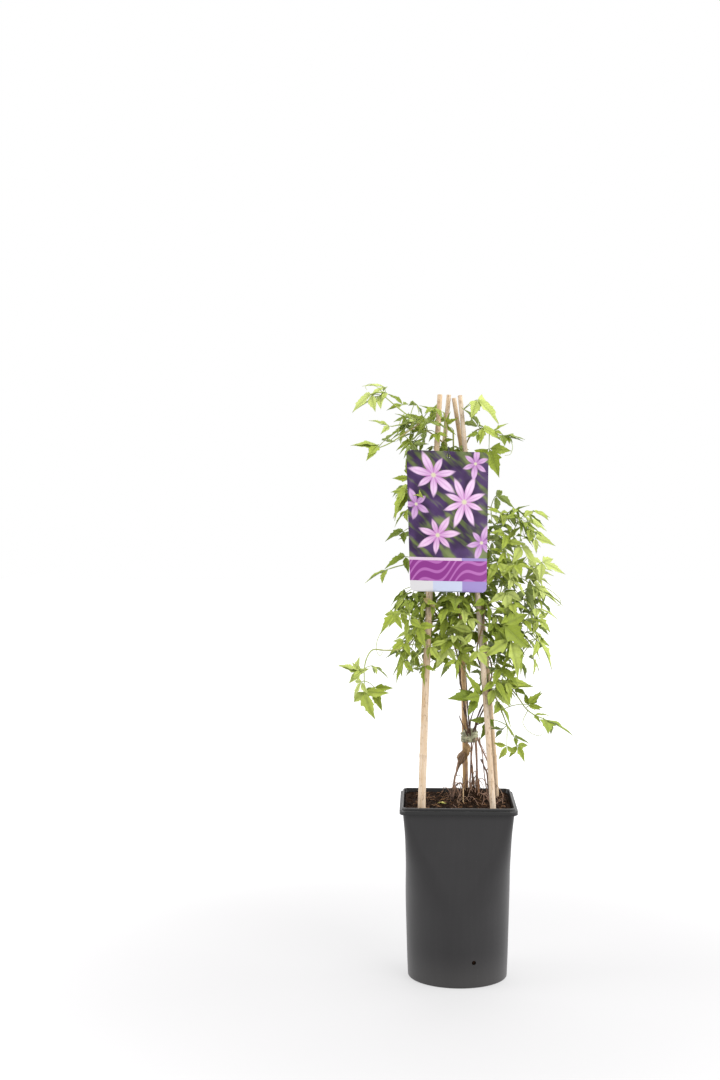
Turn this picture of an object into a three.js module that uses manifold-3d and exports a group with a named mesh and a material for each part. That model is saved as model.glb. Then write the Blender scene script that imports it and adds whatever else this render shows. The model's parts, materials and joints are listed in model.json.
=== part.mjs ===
// A climbing clematis in a square-topped nursery pot: four bamboo canes lean together as a tepee over a shorter
// middle cane, and five stems rise from the soil through a wrapped tie and climb the canes in leaf.
// Millimetres, +Z up, +Y away from the viewer. The origin is the centre of the pot's base, where it stands.

import * as THREE from "three";
import { mergeVertices } from "three/addons/utils/BufferGeometryUtils.js";
import Module from "manifold-3d";

const wasm = await Module();
wasm.setup();

const V = (x, y, z) => new THREE.Vector3(x, y, z);
const UP = V(0, 0, 1);
const GAP = 0.3; // between pieces that touch
const HOLE_SLACK = 0.15; // on top of the gap, where a round piece stands in a hole

// Driving dimensions of the pot. Its plan is a square with rounded corners that turns into a circle lower down.
const POT_HEIGHT = 214.5;
const POT_WALL = 1.6;
const POT_FLOOR = 2.6; // height of the floor's top face
const POT_SIDES = 24; // points in one ring of the wall
const WALL_TOP = 205.2; // where the rim starts
// [height, half width of the plan, radius of its corners]; from 94 mm down the plan is a circle
const POT_WALL_RINGS = [
  [0, 58.2, 58.2],
  [1.6, 59.8, 59.8],
  [21, 60.7, 60.7],
  [57, 61.7, 61.7],
  [94, 62.7, 62.7],
  [120, 62.6, 50],
  [136, 62.1, 40],
  [154, 62.5, 27],
  [178, 62.9, 15],
  [WALL_TOP, 65.3, 7],
];
const POT_INNER_HEIGHTS = [WALL_TOP, 178, 154, 136, 120, 94, POT_FLOOR];
const INNER_CORNER = 3; // least radius of the plan's corners inside the pot
const RIM_REACH = 4.1; // how far the rim stands out from the wall
const RIM_BOTTOM = 205.9;
const RIM_TOP = 211.4; // above it rises the lip
const RIM_ROUND = 0.8;
const LIP_REACH = 1.1; // how far the lip stands out from the wall
const MOUTH_INSET = 0.5; // of the mouth's edge, against the wall's outside
const FOOT_INNER = 52.4; // the foot ring's inner radius
const FOOT_RECESS = 1.0; // how far the base is raised between the foot ring and the middle pad
const PAD_RADIUS = 18;
const BELOW_BASE = -1; // where the solids that cut the base start
const FOOT_SIDES = 24;
const HOLE_SIDES = 8;
const DRAIN_HOLES = 8;
const DRAIN_RADIUS = 4.2;
const DRAIN_CIRCLE = 36;
const SIDE_HOLE = { radius: 2.6, height: 30.5, turn: 17.5, out: 59, length: 12 }; // low in the front wall

// Soil
const SOIL_LEVEL = 209.5;
const SOIL_MOUND = { x: 18, y: 18, height: 14.5, spreadX: 22, spreadY: 17 }; // the roots' crown
const SOIL_TOP = 229.5; // no soil lies higher
const SOIL_LUMP = 0.8;
const CANE_HOLE_ABOVE = 22; // how far a cane's hole runs on above where it enters the soil
const SOIL_SIDE_HEIGHTS = [POT_FLOOR + GAP, 94, 120, 136, 154, 178];
const SOIL_TOP_SHARES = [1, 0.75, 0.48, 0.22];

// Canes, as where each enters the soil and where its head is. Below the soil they lean back in.
const CANE_SIDES = 6;
const CANE_FOOT = 65.5; // height of its end under the soil
const CANE_FOOT_SHARE = 0.76; // how far out that end is, as a share of where the cane enters the soil
const CANE_JOINT_SWELL = 0.5;
const CANE_JOINT_HALF = 2.4;
// radius: at the soil and at the head. joints: the heights of the bamboo's rings. bow: how far its middle bends
// away from the straight line, along x and y, since the band pulls the heads together.
const CANES = {
  front_left: {
    soil: V(-43.4, -42, 209.5), head: V(-22, -9, 700.5), bow: [-1.9, -1.5],
    radius: [4.5, 2.9], joints: [271.5, 385.5, 508.5, 643.5],
  },
  front_right: {
    soil: V(41.1, -42, 209.5), head: V(2, -9, 699.5), bow: [1.8, -1.5],
    radius: [3.5, 2.7], joints: [241.5, 347.5, 474.5, 614.5],
  },
  back_left: {
    soil: V(-44, 42, 209.5), head: V(-11, 9, 701.5), bow: [-3.6, 2.5],
    radius: [3.4, 2.7], joints: [295.5, 427.5, 569.5, 671.5],
  },
  back_right: {
    soil: V(49, 42, 209.5), head: V(-5, 9, 697.5), bow: [6, 4],
    radius: [3.2, 2.7], joints: [258.5, 374.5, 501.5, 651.5],
  },
  middle: {
    soil: V(11, 38, 209.5), head: V(3.5, 15, 543.5), bow: [0, 0],
    radius: [3.4, 2.9], joints: [250.5, 369.5, 483.5],
  },
};

// Ties
const TIE = { x: 15.2, y: 33, low: 279.5, high: 292, halfX: 11.6, halfY: 9.8, sides: 12 };
const TIE_BULGES = [[0, -1.4], [0.2, 0], [0.45, -0.5], [0.7, 0.3], [1, -1.6]]; // up it, and how far it bulges
const TIE_HOLES = 0.5; // the share of a stem's route that is cut out of the tie
const BAND_HEIGHT = 620.5;
const BAND_WIRE = 1.0; // half the band's thickness
const BAND_TALL = 2.2; // half its height
const BAND_SLACK = 0.35;
const BAND_TURNS = [0.72, 0.24, -0.24, -0.72]; // radians to either side of straight out, on each cane

// Label card, hanging in front of the canes
const LABEL = {
  topLeft: V(-62, -31, 634.1),
  topRight: V(35.3, -31, 630.5),
  bottomLeft: V(-57, -46, 467.3),
  bottomRight: V(32.6, -46, 465.7),
  thick: 0.8,
  corner: 6,
  bow: [2.5, 7], // how far its middle bows to the viewer, at the top and at the bottom edge
  hole: { across: 0.515, down: 0.033, radius: 2.4, length: 20, sides: 10 },
  block: 80, // depth of the block that trims its corners
};
const LABEL_CELLS = [6, 4]; // across and down
const LABEL_LOOP_WIRE = 0.75;
// The loop's way, each point as its depth and height from the hole, the card's top edge and the band's front
const LOOP_IN_HOLE = { front: [-2.4, 0.4], back: [2.6, -1.2] };
const LOOP_OVER_EDGE = [[-2.6, 0.4], [-0.6, 2.8], [6, 2]];
const LOOP_ROUND_BAND = [[-0.5, 7], [3.2, 3.6], [3.6, -2], [0.5, -4.6], [-3.2, -2.4]];

// Leaves: a stalk, a hub and three lobed leaflets
const STALK_RADIUS = [0.72, 0.56];
const LONG_STALK = 22; // from this length on a stalk is arched
const STALK_RISE = 0.35; // how much a stalk sets out upwards, against its straight run
const STALK_SECTION = [[-0.9, -0.5], [0, 1], [0.9, -0.5]]; // its three corners, in radii
const STALK_STOP = { length: 1.6, share: 0.2 }; // how far before the hub it ends, at most that share of it
const HUB_NOTCH = { ahead: 1.3, aside: 0.9 }; // where two leaflets part, from the hub
const BLADE_HALF_THICK = 0.46;
const LEAFLET_EDGE = [
  [0.14, 0.045],
  [0.44, 0.25],
  [0.56, 0.15],
]; // along and across one half of a leaflet, as shares of its length: its neck, a tooth and the notch after it
const PLAIN_EDGE = [
  [0.16, 0.06],
  [0.47, 0.23],
]; // the same for the leaves that fill a clump
const SIDE_SHARE = 0.8; // the side leaflets' length against the end one's
const SIDE_SPREAD = 1.16; // radians between the side leaflets and the end one
const SIDE_DROOP = [0.12, 0.25]; // how much a side leaflet hangs: at least, and the draw on top
const LEAF_ARCH = 0.16; // how far a leaflet's tip bends down
const LEAF_FOLD = 0.3; // how steeply its halves rise from the middle rib
const VARY = { spread: 0.16, length: 0.22, arch: 1.1, fold: 0.9 }; // whole ranges of the seeded draws
const LEAF_FACE = { up: 0.9, out: 0.45, forward: 0.2, fromX: -8, fromY: 4 }; // which way the upper side looks
const SET_STRAY = { hub: 12, tip: 8, roll: [0.8, 2.6] }; // how far a leaf set by hand may move and roll
const CLUMP_RUN = { fromX: -8, fromY: 30, out: 0.7, down: [0.15, 0.9] }; // which way a clump's leaf points
const CLUMP_LENGTH = { least: 0.85, draw: 0.35, shrink: 0.25 };
const CLUMP_ROLL = [1.1, 1];
const ROOT_ABOVE_TIE = 6; // no leaf is rooted lower
const LEAF_TRIES = 60; // places tried for a leaf until it is clear
const SMALL_LEAF = 24; // up to this length a leaf has the plain edge
const CLEAR_OTHER = 6.4; // wanted between the sampled points of two stems' leaves
const CLEAR_SAME = 4.2;
const CLEAR_CANE = 6.4; // from a cane's axis
const CLEAR_STEM = 4.8;
const CLEAR_OWN_STEM = 3;
const CLEAR_OWN_SET = 0.01; // a leaf set by hand may lie on its own stem
const CLEAR_LABEL = 6.5;
const CLEAR_ENOUGH = 2; // the share of a clearance from which more room counts for nothing
const SAMPLES = [
  [0.3, 0],
  [0.62, 0],
  [1, 0],
  [0.5, 0.29],
  [0.5, -0.29],
  [0.24, 0.18],
  [0.24, -0.18],
  [0.8, 0.06],
]; // along and across a leaflet: the points whose clearance is measured
const STALK_SAMPLES = [0.25, 0.5, 0.8];

// Stems
const STEM_STEP = 17;
const STEM_SIDES = 4;
const STEM_TAPER = 0.7;
const SHOOT_STEP = 16;
const SHOOT_SIDES = 4;
const SHOOT_RADIUS = [0.95, 0.75];
const CLIMB_REACH = 2.8; // from a cane's surface to a climbing stem's axis
const CLIMB_POINTS = 6; // in one turn round the cane

// Dry stems round the crown: cut ends, a sliver of bark, a bent twig and a pale stick, all rooted in the soil.
const DRY_SIDES = 5;
const DRY_STEP = 11;
const DRY_STEMS = [
  { name: "dry_stem_cut", radius: [1.2, 0.8], route: [V(21.5, 16, 193.5), V(20.6, 18, 227.5), V(17.4, 19, 247.5)] },
  { name: "dry_stem_bark", radius: [2.2, 0.5], route: [V(25, 5, 193.5), V(25.5, 7, 215.5), V(26.3, 11, 236.5)] },
  {
    name: "dry_stem_dark",
    radius: [1.3, 0.7],
    route: [V(39, 17, 191.5), V(37, 19, 236.5), V(33, 20, 248.5), V(29.6, 21, 258.5)],
  },
  { name: "dry_stem_pale", radius: [0.9, 0.7], route: [V(6.6, -11, 191.5), V(6.7, -8, 209.5), V(7, 3, 225.5)] },
  {
    name: "dry_stem_bent",
    radius: [1.1, 0.9],
    route: [V(-6, 20, 195.5), V(-4, 21, 219.5), V(1.5, 21, 228.3), V(6.5, 14, 225.5), V(9, 10, 193.5)],
  },
];

// A yellowed leaflet that has dropped on the soil.
const FALLEN = { from: V(-24, -8, 0), to: V(-13.5, -14.5, 0), above: 0.9, thick: 0.9, broad: 1.15 };

// Closed surfaces

// A loft through rings that all have the same number of points, closed by a fan at both ends.
function loft(rings, heads = []) {
  const n = rings[0].length;
  const points = rings.flat();
  const index = [];
  for (let r = 0; r + 1 < rings.length; r++)
    for (let i = 0; i < n; i++) {
      const a = r * n + i;
      const b = r * n + ((i + 1) % n);
      index.push(a, b, b + n, a, b + n, a + n);
    }
  const centre = (ring) => ring.reduce((s, p) => s.add(p), V(0, 0, 0)).divideScalar(n);
  const start = points.push(heads[0] ?? centre(rings[0])) - 1;
  const end = points.push(heads[1] ?? centre(rings[rings.length - 1])) - 1;
  const last = (rings.length - 1) * n;
  for (let i = 0; i < n; i++) {
    const j = (i + 1) % n;
    index.push(start, j, i, end, last + i, last + j);
  }
  return closed(points, index);
}

function closed(points, index) {
  const g = new THREE.BufferGeometry().setFromPoints(points);
  g.setIndex(index);
  return g;
}

function solidOf(geometry) {
  const g = geometry.clone();
  g.deleteAttribute("normal");
  g.deleteAttribute("uv");
  const m = mergeVertices(g, 1e-4);
  return new wasm.Manifold(
    new wasm.Mesh({
      numProp: 3,
      vertProperties: new Float32Array(m.attributes.position.array),
      triVerts: new Uint32Array(m.index.array),
    }),
  );
}

function geometryOf(solid) {
  const m = solid.getMesh();
  const g = new THREE.BufferGeometry();
  const xyz = new Float32Array(m.numVert * 3);
  for (let i = 0; i < m.numVert; i++) {
    const from = i * m.numProp;
    xyz.set(m.vertProperties.subarray(from, from + 3), 3 * i);
  }
  g.setAttribute("position", new THREE.BufferAttribute(xyz, 3));
  g.setIndex(new THREE.BufferAttribute(new Uint32Array(m.triVerts), 1));
  return g;
}

// The largest piece of a solid, so that no loose scrap stays in a node.
function wholeOf(solid) {
  return solid.decompose().sort((a, b) => b.volume() - a.volume())[0];
}

// Curves

// A tube along a path of points, with one radius for each point. Its sides turn as little as they can.
function tube(path, radii, sides) {
  const rings = [];
  let side = null;
  for (let i = 0; i < path.length; i++) {
    const ahead = path[Math.min(i + 1, path.length - 1)];
    const behind = path[Math.max(i - 1, 0)];
    const run = ahead.clone().sub(behind).normalize();
    if (!side) side = (Math.abs(run.z) > 0.9 ? V(1, 0, 0) : UP.clone()).cross(run);
    side.addScaledVector(run, -side.dot(run)).normalize();
    const across = run.clone().cross(side);
    const ring = [];
    for (let k = 0; k < sides; k++) {
      const a = (2 * Math.PI * k) / sides;
      ring.push(
        path[i]
          .clone()
          .addScaledVector(side, radii[i] * Math.cos(a))
          .addScaledVector(across, radii[i] * Math.sin(a)),
      );
    }
    rings.push(ring);
  }
  return loft(rings);
}

// A seeded draw from 0 to 1, the same on every machine.
function draws(seed) {
  let a = seed >>> 0;
  return () => {
    a = (a + 0x6d2b79f5) >>> 0;
    let t = a;
    t = Math.imul(t ^ (t >>> 15), t | 1);
    t ^= t + Math.imul(t ^ (t >>> 7), t | 61);
    return ((t ^ (t >>> 14)) >>> 0) / 4294967296;
  };
}

// Pot

// One ring of the pot's plan: a square of that half width with rounded corners, counterclockwise from above.
function planRing(half, corner, z) {
  const ring = [];
  const perCorner = POT_SIDES / 4;
  const c = half - corner;
  for (let q = 0; q < 4; q++)
    for (let i = 0; i < perCorner; i++) {
      const a = (Math.PI / 2) * (q + (i + 0.5) / perCorner);
      const cx = [c, -c, -c, c][q];
      const cy = [c, c, -c, -c][q];
      ring.push(V(cx + corner * Math.cos(a), cy + corner * Math.sin(a), z));
    }
  return ring;
}

// The wall's plan at a height, as [half width, corner radius].
function planAt(z) {
  const rings = POT_WALL_RINGS;
  const k = Math.max(1, rings.findIndex((r) => r[0] >= z));
  const [lo, hi] = [rings[k - 1], rings[k]];
  const f = Math.min(Math.max((z - lo[0]) / (hi[0] - lo[0]), 0), 1);
  return [lo[1] + (hi[1] - lo[1]) * f, lo[2] + (hi[2] - lo[2]) * f];
}

function innerRing(z, inset) {
  const [half, corner] = planAt(z);
  return planRing(half - inset, Math.max(corner - inset, INNER_CORNER), z);
}

function pot() {
  const rings = POT_WALL_RINGS.map(([z, half, corner]) => planRing(half, corner, z));
  const [topHalf, topCorner] = planAt(WALL_TOP);
  const rimHalf = topHalf + RIM_REACH;
  const rimCorner = topCorner + RIM_REACH;
  rings.push(planRing(rimHalf - RIM_ROUND, rimCorner - RIM_ROUND, RIM_BOTTOM));
  rings.push(planRing(rimHalf, rimCorner, RIM_BOTTOM + RIM_ROUND));
  rings.push(planRing(rimHalf, rimCorner, RIM_TOP - RIM_ROUND));
  rings.push(planRing(rimHalf - RIM_ROUND, rimCorner - RIM_ROUND, RIM_TOP));
  for (const z of [RIM_TOP, POT_HEIGHT]) rings.push(planRing(topHalf + LIP_REACH, topCorner + LIP_REACH, z));
  rings.push(innerRing(WALL_TOP, MOUTH_INSET).map((p) => p.setZ(POT_HEIGHT)));
  for (const z of POT_INNER_HEIGHTS) rings.push(innerRing(z, POT_WALL));
  let body = solidOf(loft(rings));
  const recess = new THREE.LatheGeometry(
    [
      new THREE.Vector2(PAD_RADIUS, BELOW_BASE),
      new THREE.Vector2(FOOT_INNER, BELOW_BASE),
      new THREE.Vector2(FOOT_INNER, FOOT_RECESS),
      new THREE.Vector2(PAD_RADIUS, FOOT_RECESS),
      new THREE.Vector2(PAD_RADIUS, BELOW_BASE),
    ],
    FOOT_SIDES,
  ).rotateX(Math.PI / 2);
  body = body.subtract(solidOf(recess));
  for (let i = 0; i < DRAIN_HOLES; i++) {
    const a = (2 * Math.PI * (i + 0.5)) / DRAIN_HOLES;
    const hole = new THREE.CylinderGeometry(DRAIN_RADIUS, DRAIN_RADIUS, 4 * POT_FLOOR, HOLE_SIDES);
    hole.rotateX(Math.PI / 2);
    hole.translate(DRAIN_CIRCLE * Math.cos(a), DRAIN_CIRCLE * Math.sin(a), POT_FLOOR);
    body = body.subtract(solidOf(hole));
  }
  const side = new THREE.CylinderGeometry(SIDE_HOLE.radius, SIDE_HOLE.radius, SIDE_HOLE.length, HOLE_SIDES);
  side.translate(0, -SIDE_HOLE.out, 0);
  side.rotateZ(THREE.MathUtils.degToRad(SIDE_HOLE.turn));
  side.translate(0, 0, SIDE_HOLE.height);
  return body.subtract(solidOf(side));
}

// Canes

// A cane's axis at a height. It is bowed a little above the soil, and leans back in below it.
function caneAt(cane, z) {
  const { soil, head } = cane;
  if (z >= soil.z) {
    const up = (z - soil.z) / (head.z - soil.z);
    return soil.clone().lerp(head, up).addScaledVector(V(...cane.bow, 0), 4 * up * (1 - up));
  }
  const f = (soil.z - z) / (soil.z - CANE_FOOT);
  const share = 1 + (CANE_FOOT_SHARE - 1) * f;
  return V(soil.x * share, soil.y * share, z);
}

function caneRadius(cane, z) {
  const f = Math.max(0, (z - cane.soil.z) / (cane.head.z - cane.soil.z));
  return cane.radius[0] + (cane.radius[1] - cane.radius[0]) * f;
}

function caneTube(cane, extra = 0) {
  const stops = [[CANE_FOOT, 0], [cane.soil.z, 0]];
  for (const z of cane.joints)
    stops.push([z - CANE_JOINT_HALF, 0], [z, CANE_JOINT_SWELL], [z + CANE_JOINT_HALF, 0]);
  stops.push([cane.head.z, 0]);
  return tube(
    stops.map(([z]) => caneAt(cane, z)),
    stops.map(([z, swell]) => caneRadius(cane, z) + swell + extra),
    CANE_SIDES,
  );
}

// Stems

// Points that climb a cane: they wind round it from one height to another.
function climb(name, from, to, start, turns) {
  const cane = CANES[name];
  const steps = Math.round(Math.abs(turns) * CLIMB_POINTS);
  return Array.from({ length: steps + 1 }, (_, i) => {
    const z = from + ((to - from) * i) / steps;
    const a = THREE.MathUtils.degToRad(start + (360 * turns * i) / steps);
    const reach = caneRadius(cane, z) + CLIMB_REACH;
    return caneAt(cane, z).add(V(reach * Math.cos(a), reach * Math.sin(a), 0));
  });
}

// Each stem's route from under the soil, its side shoots, and the leaves whose hub and end tip are set by hand.
// clumps: leaves by rule, each on the nearest shoot: the clump's centre, how far it reaches, how many leaves,
// and their length.
const STEMS = [
  {
    name: "stem_middle",
    radius: [1.3, 1.0],
    swell: { height: 260, radius: 4.8, spread: 8 },
    route: [
      V(-4.5, 30, 183.5), V(-4.5, 30, 209.5), V(-3.2, 28, 232), V(2.5, 25.5, 250), V(6, 25.5, 262),
      V(10.5, 26, 274.5),
      V(12.2, 27, 285.5), V(12, 23, 303.5), V(5, 10, 343.5), V(1, -8, 375.5), V(3, -15, 413.5),
      V(0, -11, 458.5),
      V(-4, -4, 508.5), V(-4, -2, 558.5), V(-5, -2, 608.5), V(-6, -5, 658.5),
    ],
    shoots: [[V(1, -12, 381.5), V(10, -32, 369.5), V(20, -40, 349.5)]],
    leaves: [
      [V(20, -42, 341.5), V(-12, -54, 344.5)],
      [V(14, 2, 446.5), V(-14, -3, 431.5)],
      [V(26, -34, 427.5), V(2, -42, 430.5)],
      [V(-14, -32, 399.5), V(-27, -44, 375.5)],
      [V(-10, -34, 395.5), V(-10, -48, 367.5)],
      [V(-4, -34, 401.5), V(10, -46, 381.5)],
      [V(-16, -22, 433.5), V(-25, -32, 407.5)],
      [V(-12, -24, 455.5), V(-32, -38, 449.5)],
      [V(6, -30, 455.5), V(14, -50, 443.5)],
      [V(-6, -14, 663.5), V(2, -30, 675.5)],
    ],
    clumps: [
      { centre: V(-10, -32, 415.5), reach: V(28, 12, 36), count: 6, length: 27 },
    ],
  },
  {
    name: "stem_front_left",
    radius: [1.25, 0.85],
    route: [
      V(8, 46, 183.5), V(8, 46, 209.5), V(9, 42.5, 250), V(8.5, 39.5, 285.5), V(8, 38, 310), V(6, 36, 340),
      V(3, 32, 370), V(-4, 22, 398), V(-14, 8, 420), V(-26, -10, 437),
      ...climb("front_left", 448, 603.5, 60, 1.75),
    ],
    shoots: [
      [
        V(-24, -6, 434), V(-43, -15, 421), V(-60, -36, 402), V(-81, -50, 397.5), V(-101, -51, 398.5),
        V(-110, -51, 382.5), V(-111, -51, 361.5),
      ],
      [V(-34, -33, 415.5), V(-52, -40, 435.5), V(-70, -45, 441.5)],
    ],
    leaves: [
      [V(-115, -52, 372.5), V(-139, -56, 383.5)],
      [V(-114, -50, 360.5), V(-127, -48, 341.5)],
      [V(-109, -52, 349.5), V(-101, -53, 314.5)],
      [V(-104, -46, 375.5), V(-85, -42, 361.5)],
      [V(-64, -47, 385.5), V(-77, -52, 361.5)],
      [V(-75, -46, 440.5), V(-94, -50, 418.5)],
      [V(-56, -42, 455.5), V(-72, -46, 449.5)],
      [V(-58, -40, 433.5), V(-66, -52, 409.5)],
      [V(-50, -38, 427.5), V(-42, -52, 399.5)],
      [V(-40, -40, 377.5), V(-44, -50, 355.5)],
      [V(-50, -42, 389.5), V(-62, -58, 379.5)],
      [V(-63, -24, 507.5), V(-89, -33, 495.5)],
      [V(-61, -22, 585.5), V(-82, -32, 556.5)],
      [V(-60, -16, 591.5), V(-66, -10, 617.5)],
    ],
    clumps: [
      { centre: V(-42, -34, 415.5), reach: V(22, 12, 42), count: 5, length: 26 },
      { centre: V(-56, -8, 563.5), reach: V(12, 22, 46), count: 3, length: 26 },
    ],
  },
  {
    name: "stem_front_right",
    radius: [1.15, 0.85],
    route: [
      V(23, 26, 183.5), V(23.6, 27, 209.5), V(24.4, 30.5, 253.5), V(21.6, 31, 284.5), V(25, 20, 305.5),
      V(34, -8, 329.5), ...climb("front_right", 348.5, 588.5, 10, 2.5),
    ],
    shoots: [
      [V(35, -29, 353.5), V(46, -26, 337.5), V(56, -30, 311.5), V(64, -32, 295.5)],
      [V(26, -26, 443.5), V(48, -31, 457.5), V(78, -36, 430.5), V(92, -40, 411.5)],
      [V(17, -28, 518.5), V(44, -24, 527.5), V(72, -20, 517.5)],
    ],
    leaves: [
      [V(67, -33, 293.5), V(85, -37, 289.5)],
      [V(58, -33, 299.5), V(44, -37, 306.5)],
      [V(60, -34, 288.5), V(53, -36, 267.5)],
      [V(68, -34, 286.5), V(80, -34, 267.5)],
      [V(42, -38, 307.5), V(40, -42, 282.5)],
      [V(44, -31, 331.5), V(58, -37, 305.5)],
      [V(42, -38, 351.5), V(63, -44, 333.5)],
      [V(94, -40, 409.5), V(115, -41, 377.5)],
      [V(78, -38, 433.5), V(104, -42, 431.5)],
      [V(60, -46, 411.5), V(74, -56, 367.5)],
      [V(56, -44, 423.5), V(86, -50, 399.5)],
      [V(54, -40, 357.5), V(87, -49, 354.5)],
      [V(30, -46, 397.5), V(45, -52, 375.5)],
      [V(43, -30, 503.5), V(63, -40, 477.5)],
      [V(56, -32, 465.5), V(62, -42, 433.5)],
      [V(34, -34, 455.5), V(44, -50, 427.5)],
      [V(75, -22, 518.5), V(96, -28, 494.5)],
      [V(60, -20, 525.5), V(78, -14, 547.5)],
      [V(40, -24, 527.5), V(60, -38, 515.5)],
    ],
    clumps: [
      { centre: V(58, -28, 403.5), reach: V(34, 20, 58), count: 7, length: 28 },
    ],
  },
  {
    name: "stem_back_right",
    radius: [1, 0.85],
    route: [
      V(44, 30, 183.5), V(44, 31, 209.5), V(37, 35, 258.5), V(22.8, 35.6, 284.5), V(25, 38, 307.5),
      ...climb("back_right", 328.5, 658.5, 205, 3.5), V(3, 2, 679.5),
    ],
    shoots: [
      [V(33, 27, 359.5), V(50, 4, 357.5), V(66, -20, 346.5), V(82, -34, 325.5), V(98, -40, 317.5)],
      [V(24, 20, 455.5), V(46, 8, 481.5), V(74, -8, 481.5), V(88, -16, 471.5)],
      [V(3, 11, 635.5), V(22, -12, 658.5), V(40, -24, 653.5), V(55, -30, 649.5)],
      [V(8, 12, 563.5), V(34, 6, 567.5), V(62, 0, 551.5), V(84, -6, 539.5)],
    ],
    leaves: [
      [V(101, -42, 316.5), V(136, -49, 301.5)],
      [V(84, -36, 331.5), V(97, -38, 349.5)],
      [V(94, -38, 321.5), V(110, -32, 329.5)],
      [V(68, -22, 348.5), V(88, -16, 355.5)],
      [V(91, -18, 470.5), V(124, -24, 449.5)],
      [V(86, -18, 465.5), V(94, -26, 437.5)],
      [V(80, -10, 477.5), V(98, -2, 493.5)],
      [V(60, -4, 487.5), V(84, -2, 509.5)],
      [V(87, -8, 538.5), V(114, -14, 524.5)],
      [V(60, 0, 555.5), V(82, -8, 573.5)],
      [V(38, -8, 575.5), V(63, -16, 559.5)],
      [V(22, -4, 691.5), V(52, -10, 672.5)],
      [V(18, -14, 667.5), V(5, -22, 690.5)],
      [V(57, -31, 648.5), V(76, -36, 646.5)],
      [V(42, -25, 655.5), V(56, -24, 667.5)],
      [V(30, -20, 657.5), V(16, -26, 647.5)],
      [V(36, -26, 643.5), V(46, -35, 611.5)],
      [V(72, 6, 431.5), V(98, 14, 413.5)],
    ],
    clumps: [
      { centre: V(56, -8, 515.5), reach: V(32, 20, 60), count: 7, length: 28 },
      { centre: V(38, 44, 453.5), reach: V(30, 18, 120), count: 4, length: 29 },
    ],
  },
  {
    name: "stem_back_left",
    radius: [1, 0.85],
    route: [
      V(16, 49, 183.5), V(16, 49, 209.5), V(17.5, 44, 253.5), V(17.6, 39.2, 284.5), V(14, 42, 307.5),
      V(12, 43, 340),
      V(9, 43, 372), V(0, 44, 400), V(-14, 42, 418),
      ...climb("back_left", 434, 593.5, 15, 1.75), V(-14, 4, 625.5), V(-15, 2, 653.5), V(-17, 0, 679.5),
    ],
    shoots: [
      [V(-15, 2, 645.5), V(-32, -2, 653.5), V(-46, -20, 665.5), V(-64, -30, 677.5), V(-86, -35, 695.5)],
      [V(-46, -20, 665.5), V(-60, -30, 665.5), V(-79, -35, 661.5)],
      [V(-52, -26, 663.5), V(-74, -40, 645.5), V(-95, -45, 635.5)],
      [V(-26, 22, 483.5), V(-56, 34, 495.5), V(-84, 40, 489.5)],
      [V(-20, 24, 563.5), V(-44, 40, 587.5), V(-58, 54, 593.5)],
    ],
    leaves: [
      [V(-91, -36, 698.5), V(-126, -40, 681.5)],
      [V(-88, -33, 701.5), V(-112, -28, 708.5)],
      [V(-66, -24, 687.5), V(-84, -14, 706.5)],
      [V(-60, -28, 675.5), V(-80, -30, 691.5)],
      [V(-82, -36, 661.5), V(-104, -40, 672.5)],
      [V(-97, -46, 635.5), V(-124, -50, 643.5)],
      [V(-92, -44, 639.5), V(-86, -46, 653.5)],
      [V(-30, 6, 667.5), V(-24, 12, 694.5)],
      [V(-38, -4, 665.5), V(-60, -6, 683.5)],
      [V(-40, -24, 655.5), V(-61, -30, 640.5)],
      [V(-12, -22, 655.5), V(-6, -30, 637.5)],
      [V(-87, 41, 488.5), V(-116, 46, 473.5)],
      [V(-60, 56, 593.5), V(-82, 72, 583.5)],
    ],
    clumps: [
      { centre: V(-34, -16, 667.5), reach: V(24, 14, 24), count: 4, length: 25 },
      { centre: V(-32, 44, 493.5), reach: V(28, 18, 130), count: 5, length: 29 },
    ],
  },
];

// A stem's radius at t along its route: it tapers, and may be swollen near one height.
function stemRadius(stem, t, z) {
  const plain = stem.radius[0] + (stem.radius[1] - stem.radius[0]) * Math.pow(t, STEM_TAPER);
  if (!stem.swell) return plain;
  const off = (z - stem.swell.height) / stem.swell.spread;
  return plain + (stem.swell.radius - plain) * Math.exp(-off * off * 2);
}

// Points at even steps of the smooth curve through a list of points.
function pathOf(points, step) {
  let length = 0;
  for (let i = 1; i < points.length; i++) length += points[i].distanceTo(points[i - 1]);
  const steps = Math.max(2, Math.round(length / step));
  return new THREE.CatmullRomCurve3(points, false, "catmullrom").getPoints(steps);
}

// A stem's own path, and its shoots' paths, each of which starts at the nearest point of those before it.
function pathsOf(stem) {
  const paths = [pathOf(stem.route, STEM_STEP)];
  for (const points of stem.shoots) {
    const path = pathOf(points, SHOOT_STEP);
    path[0] = nearestOn(paths, path[0]).clone();
    paths.push(path);
  }
  return paths;
}

// Leaves

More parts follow.
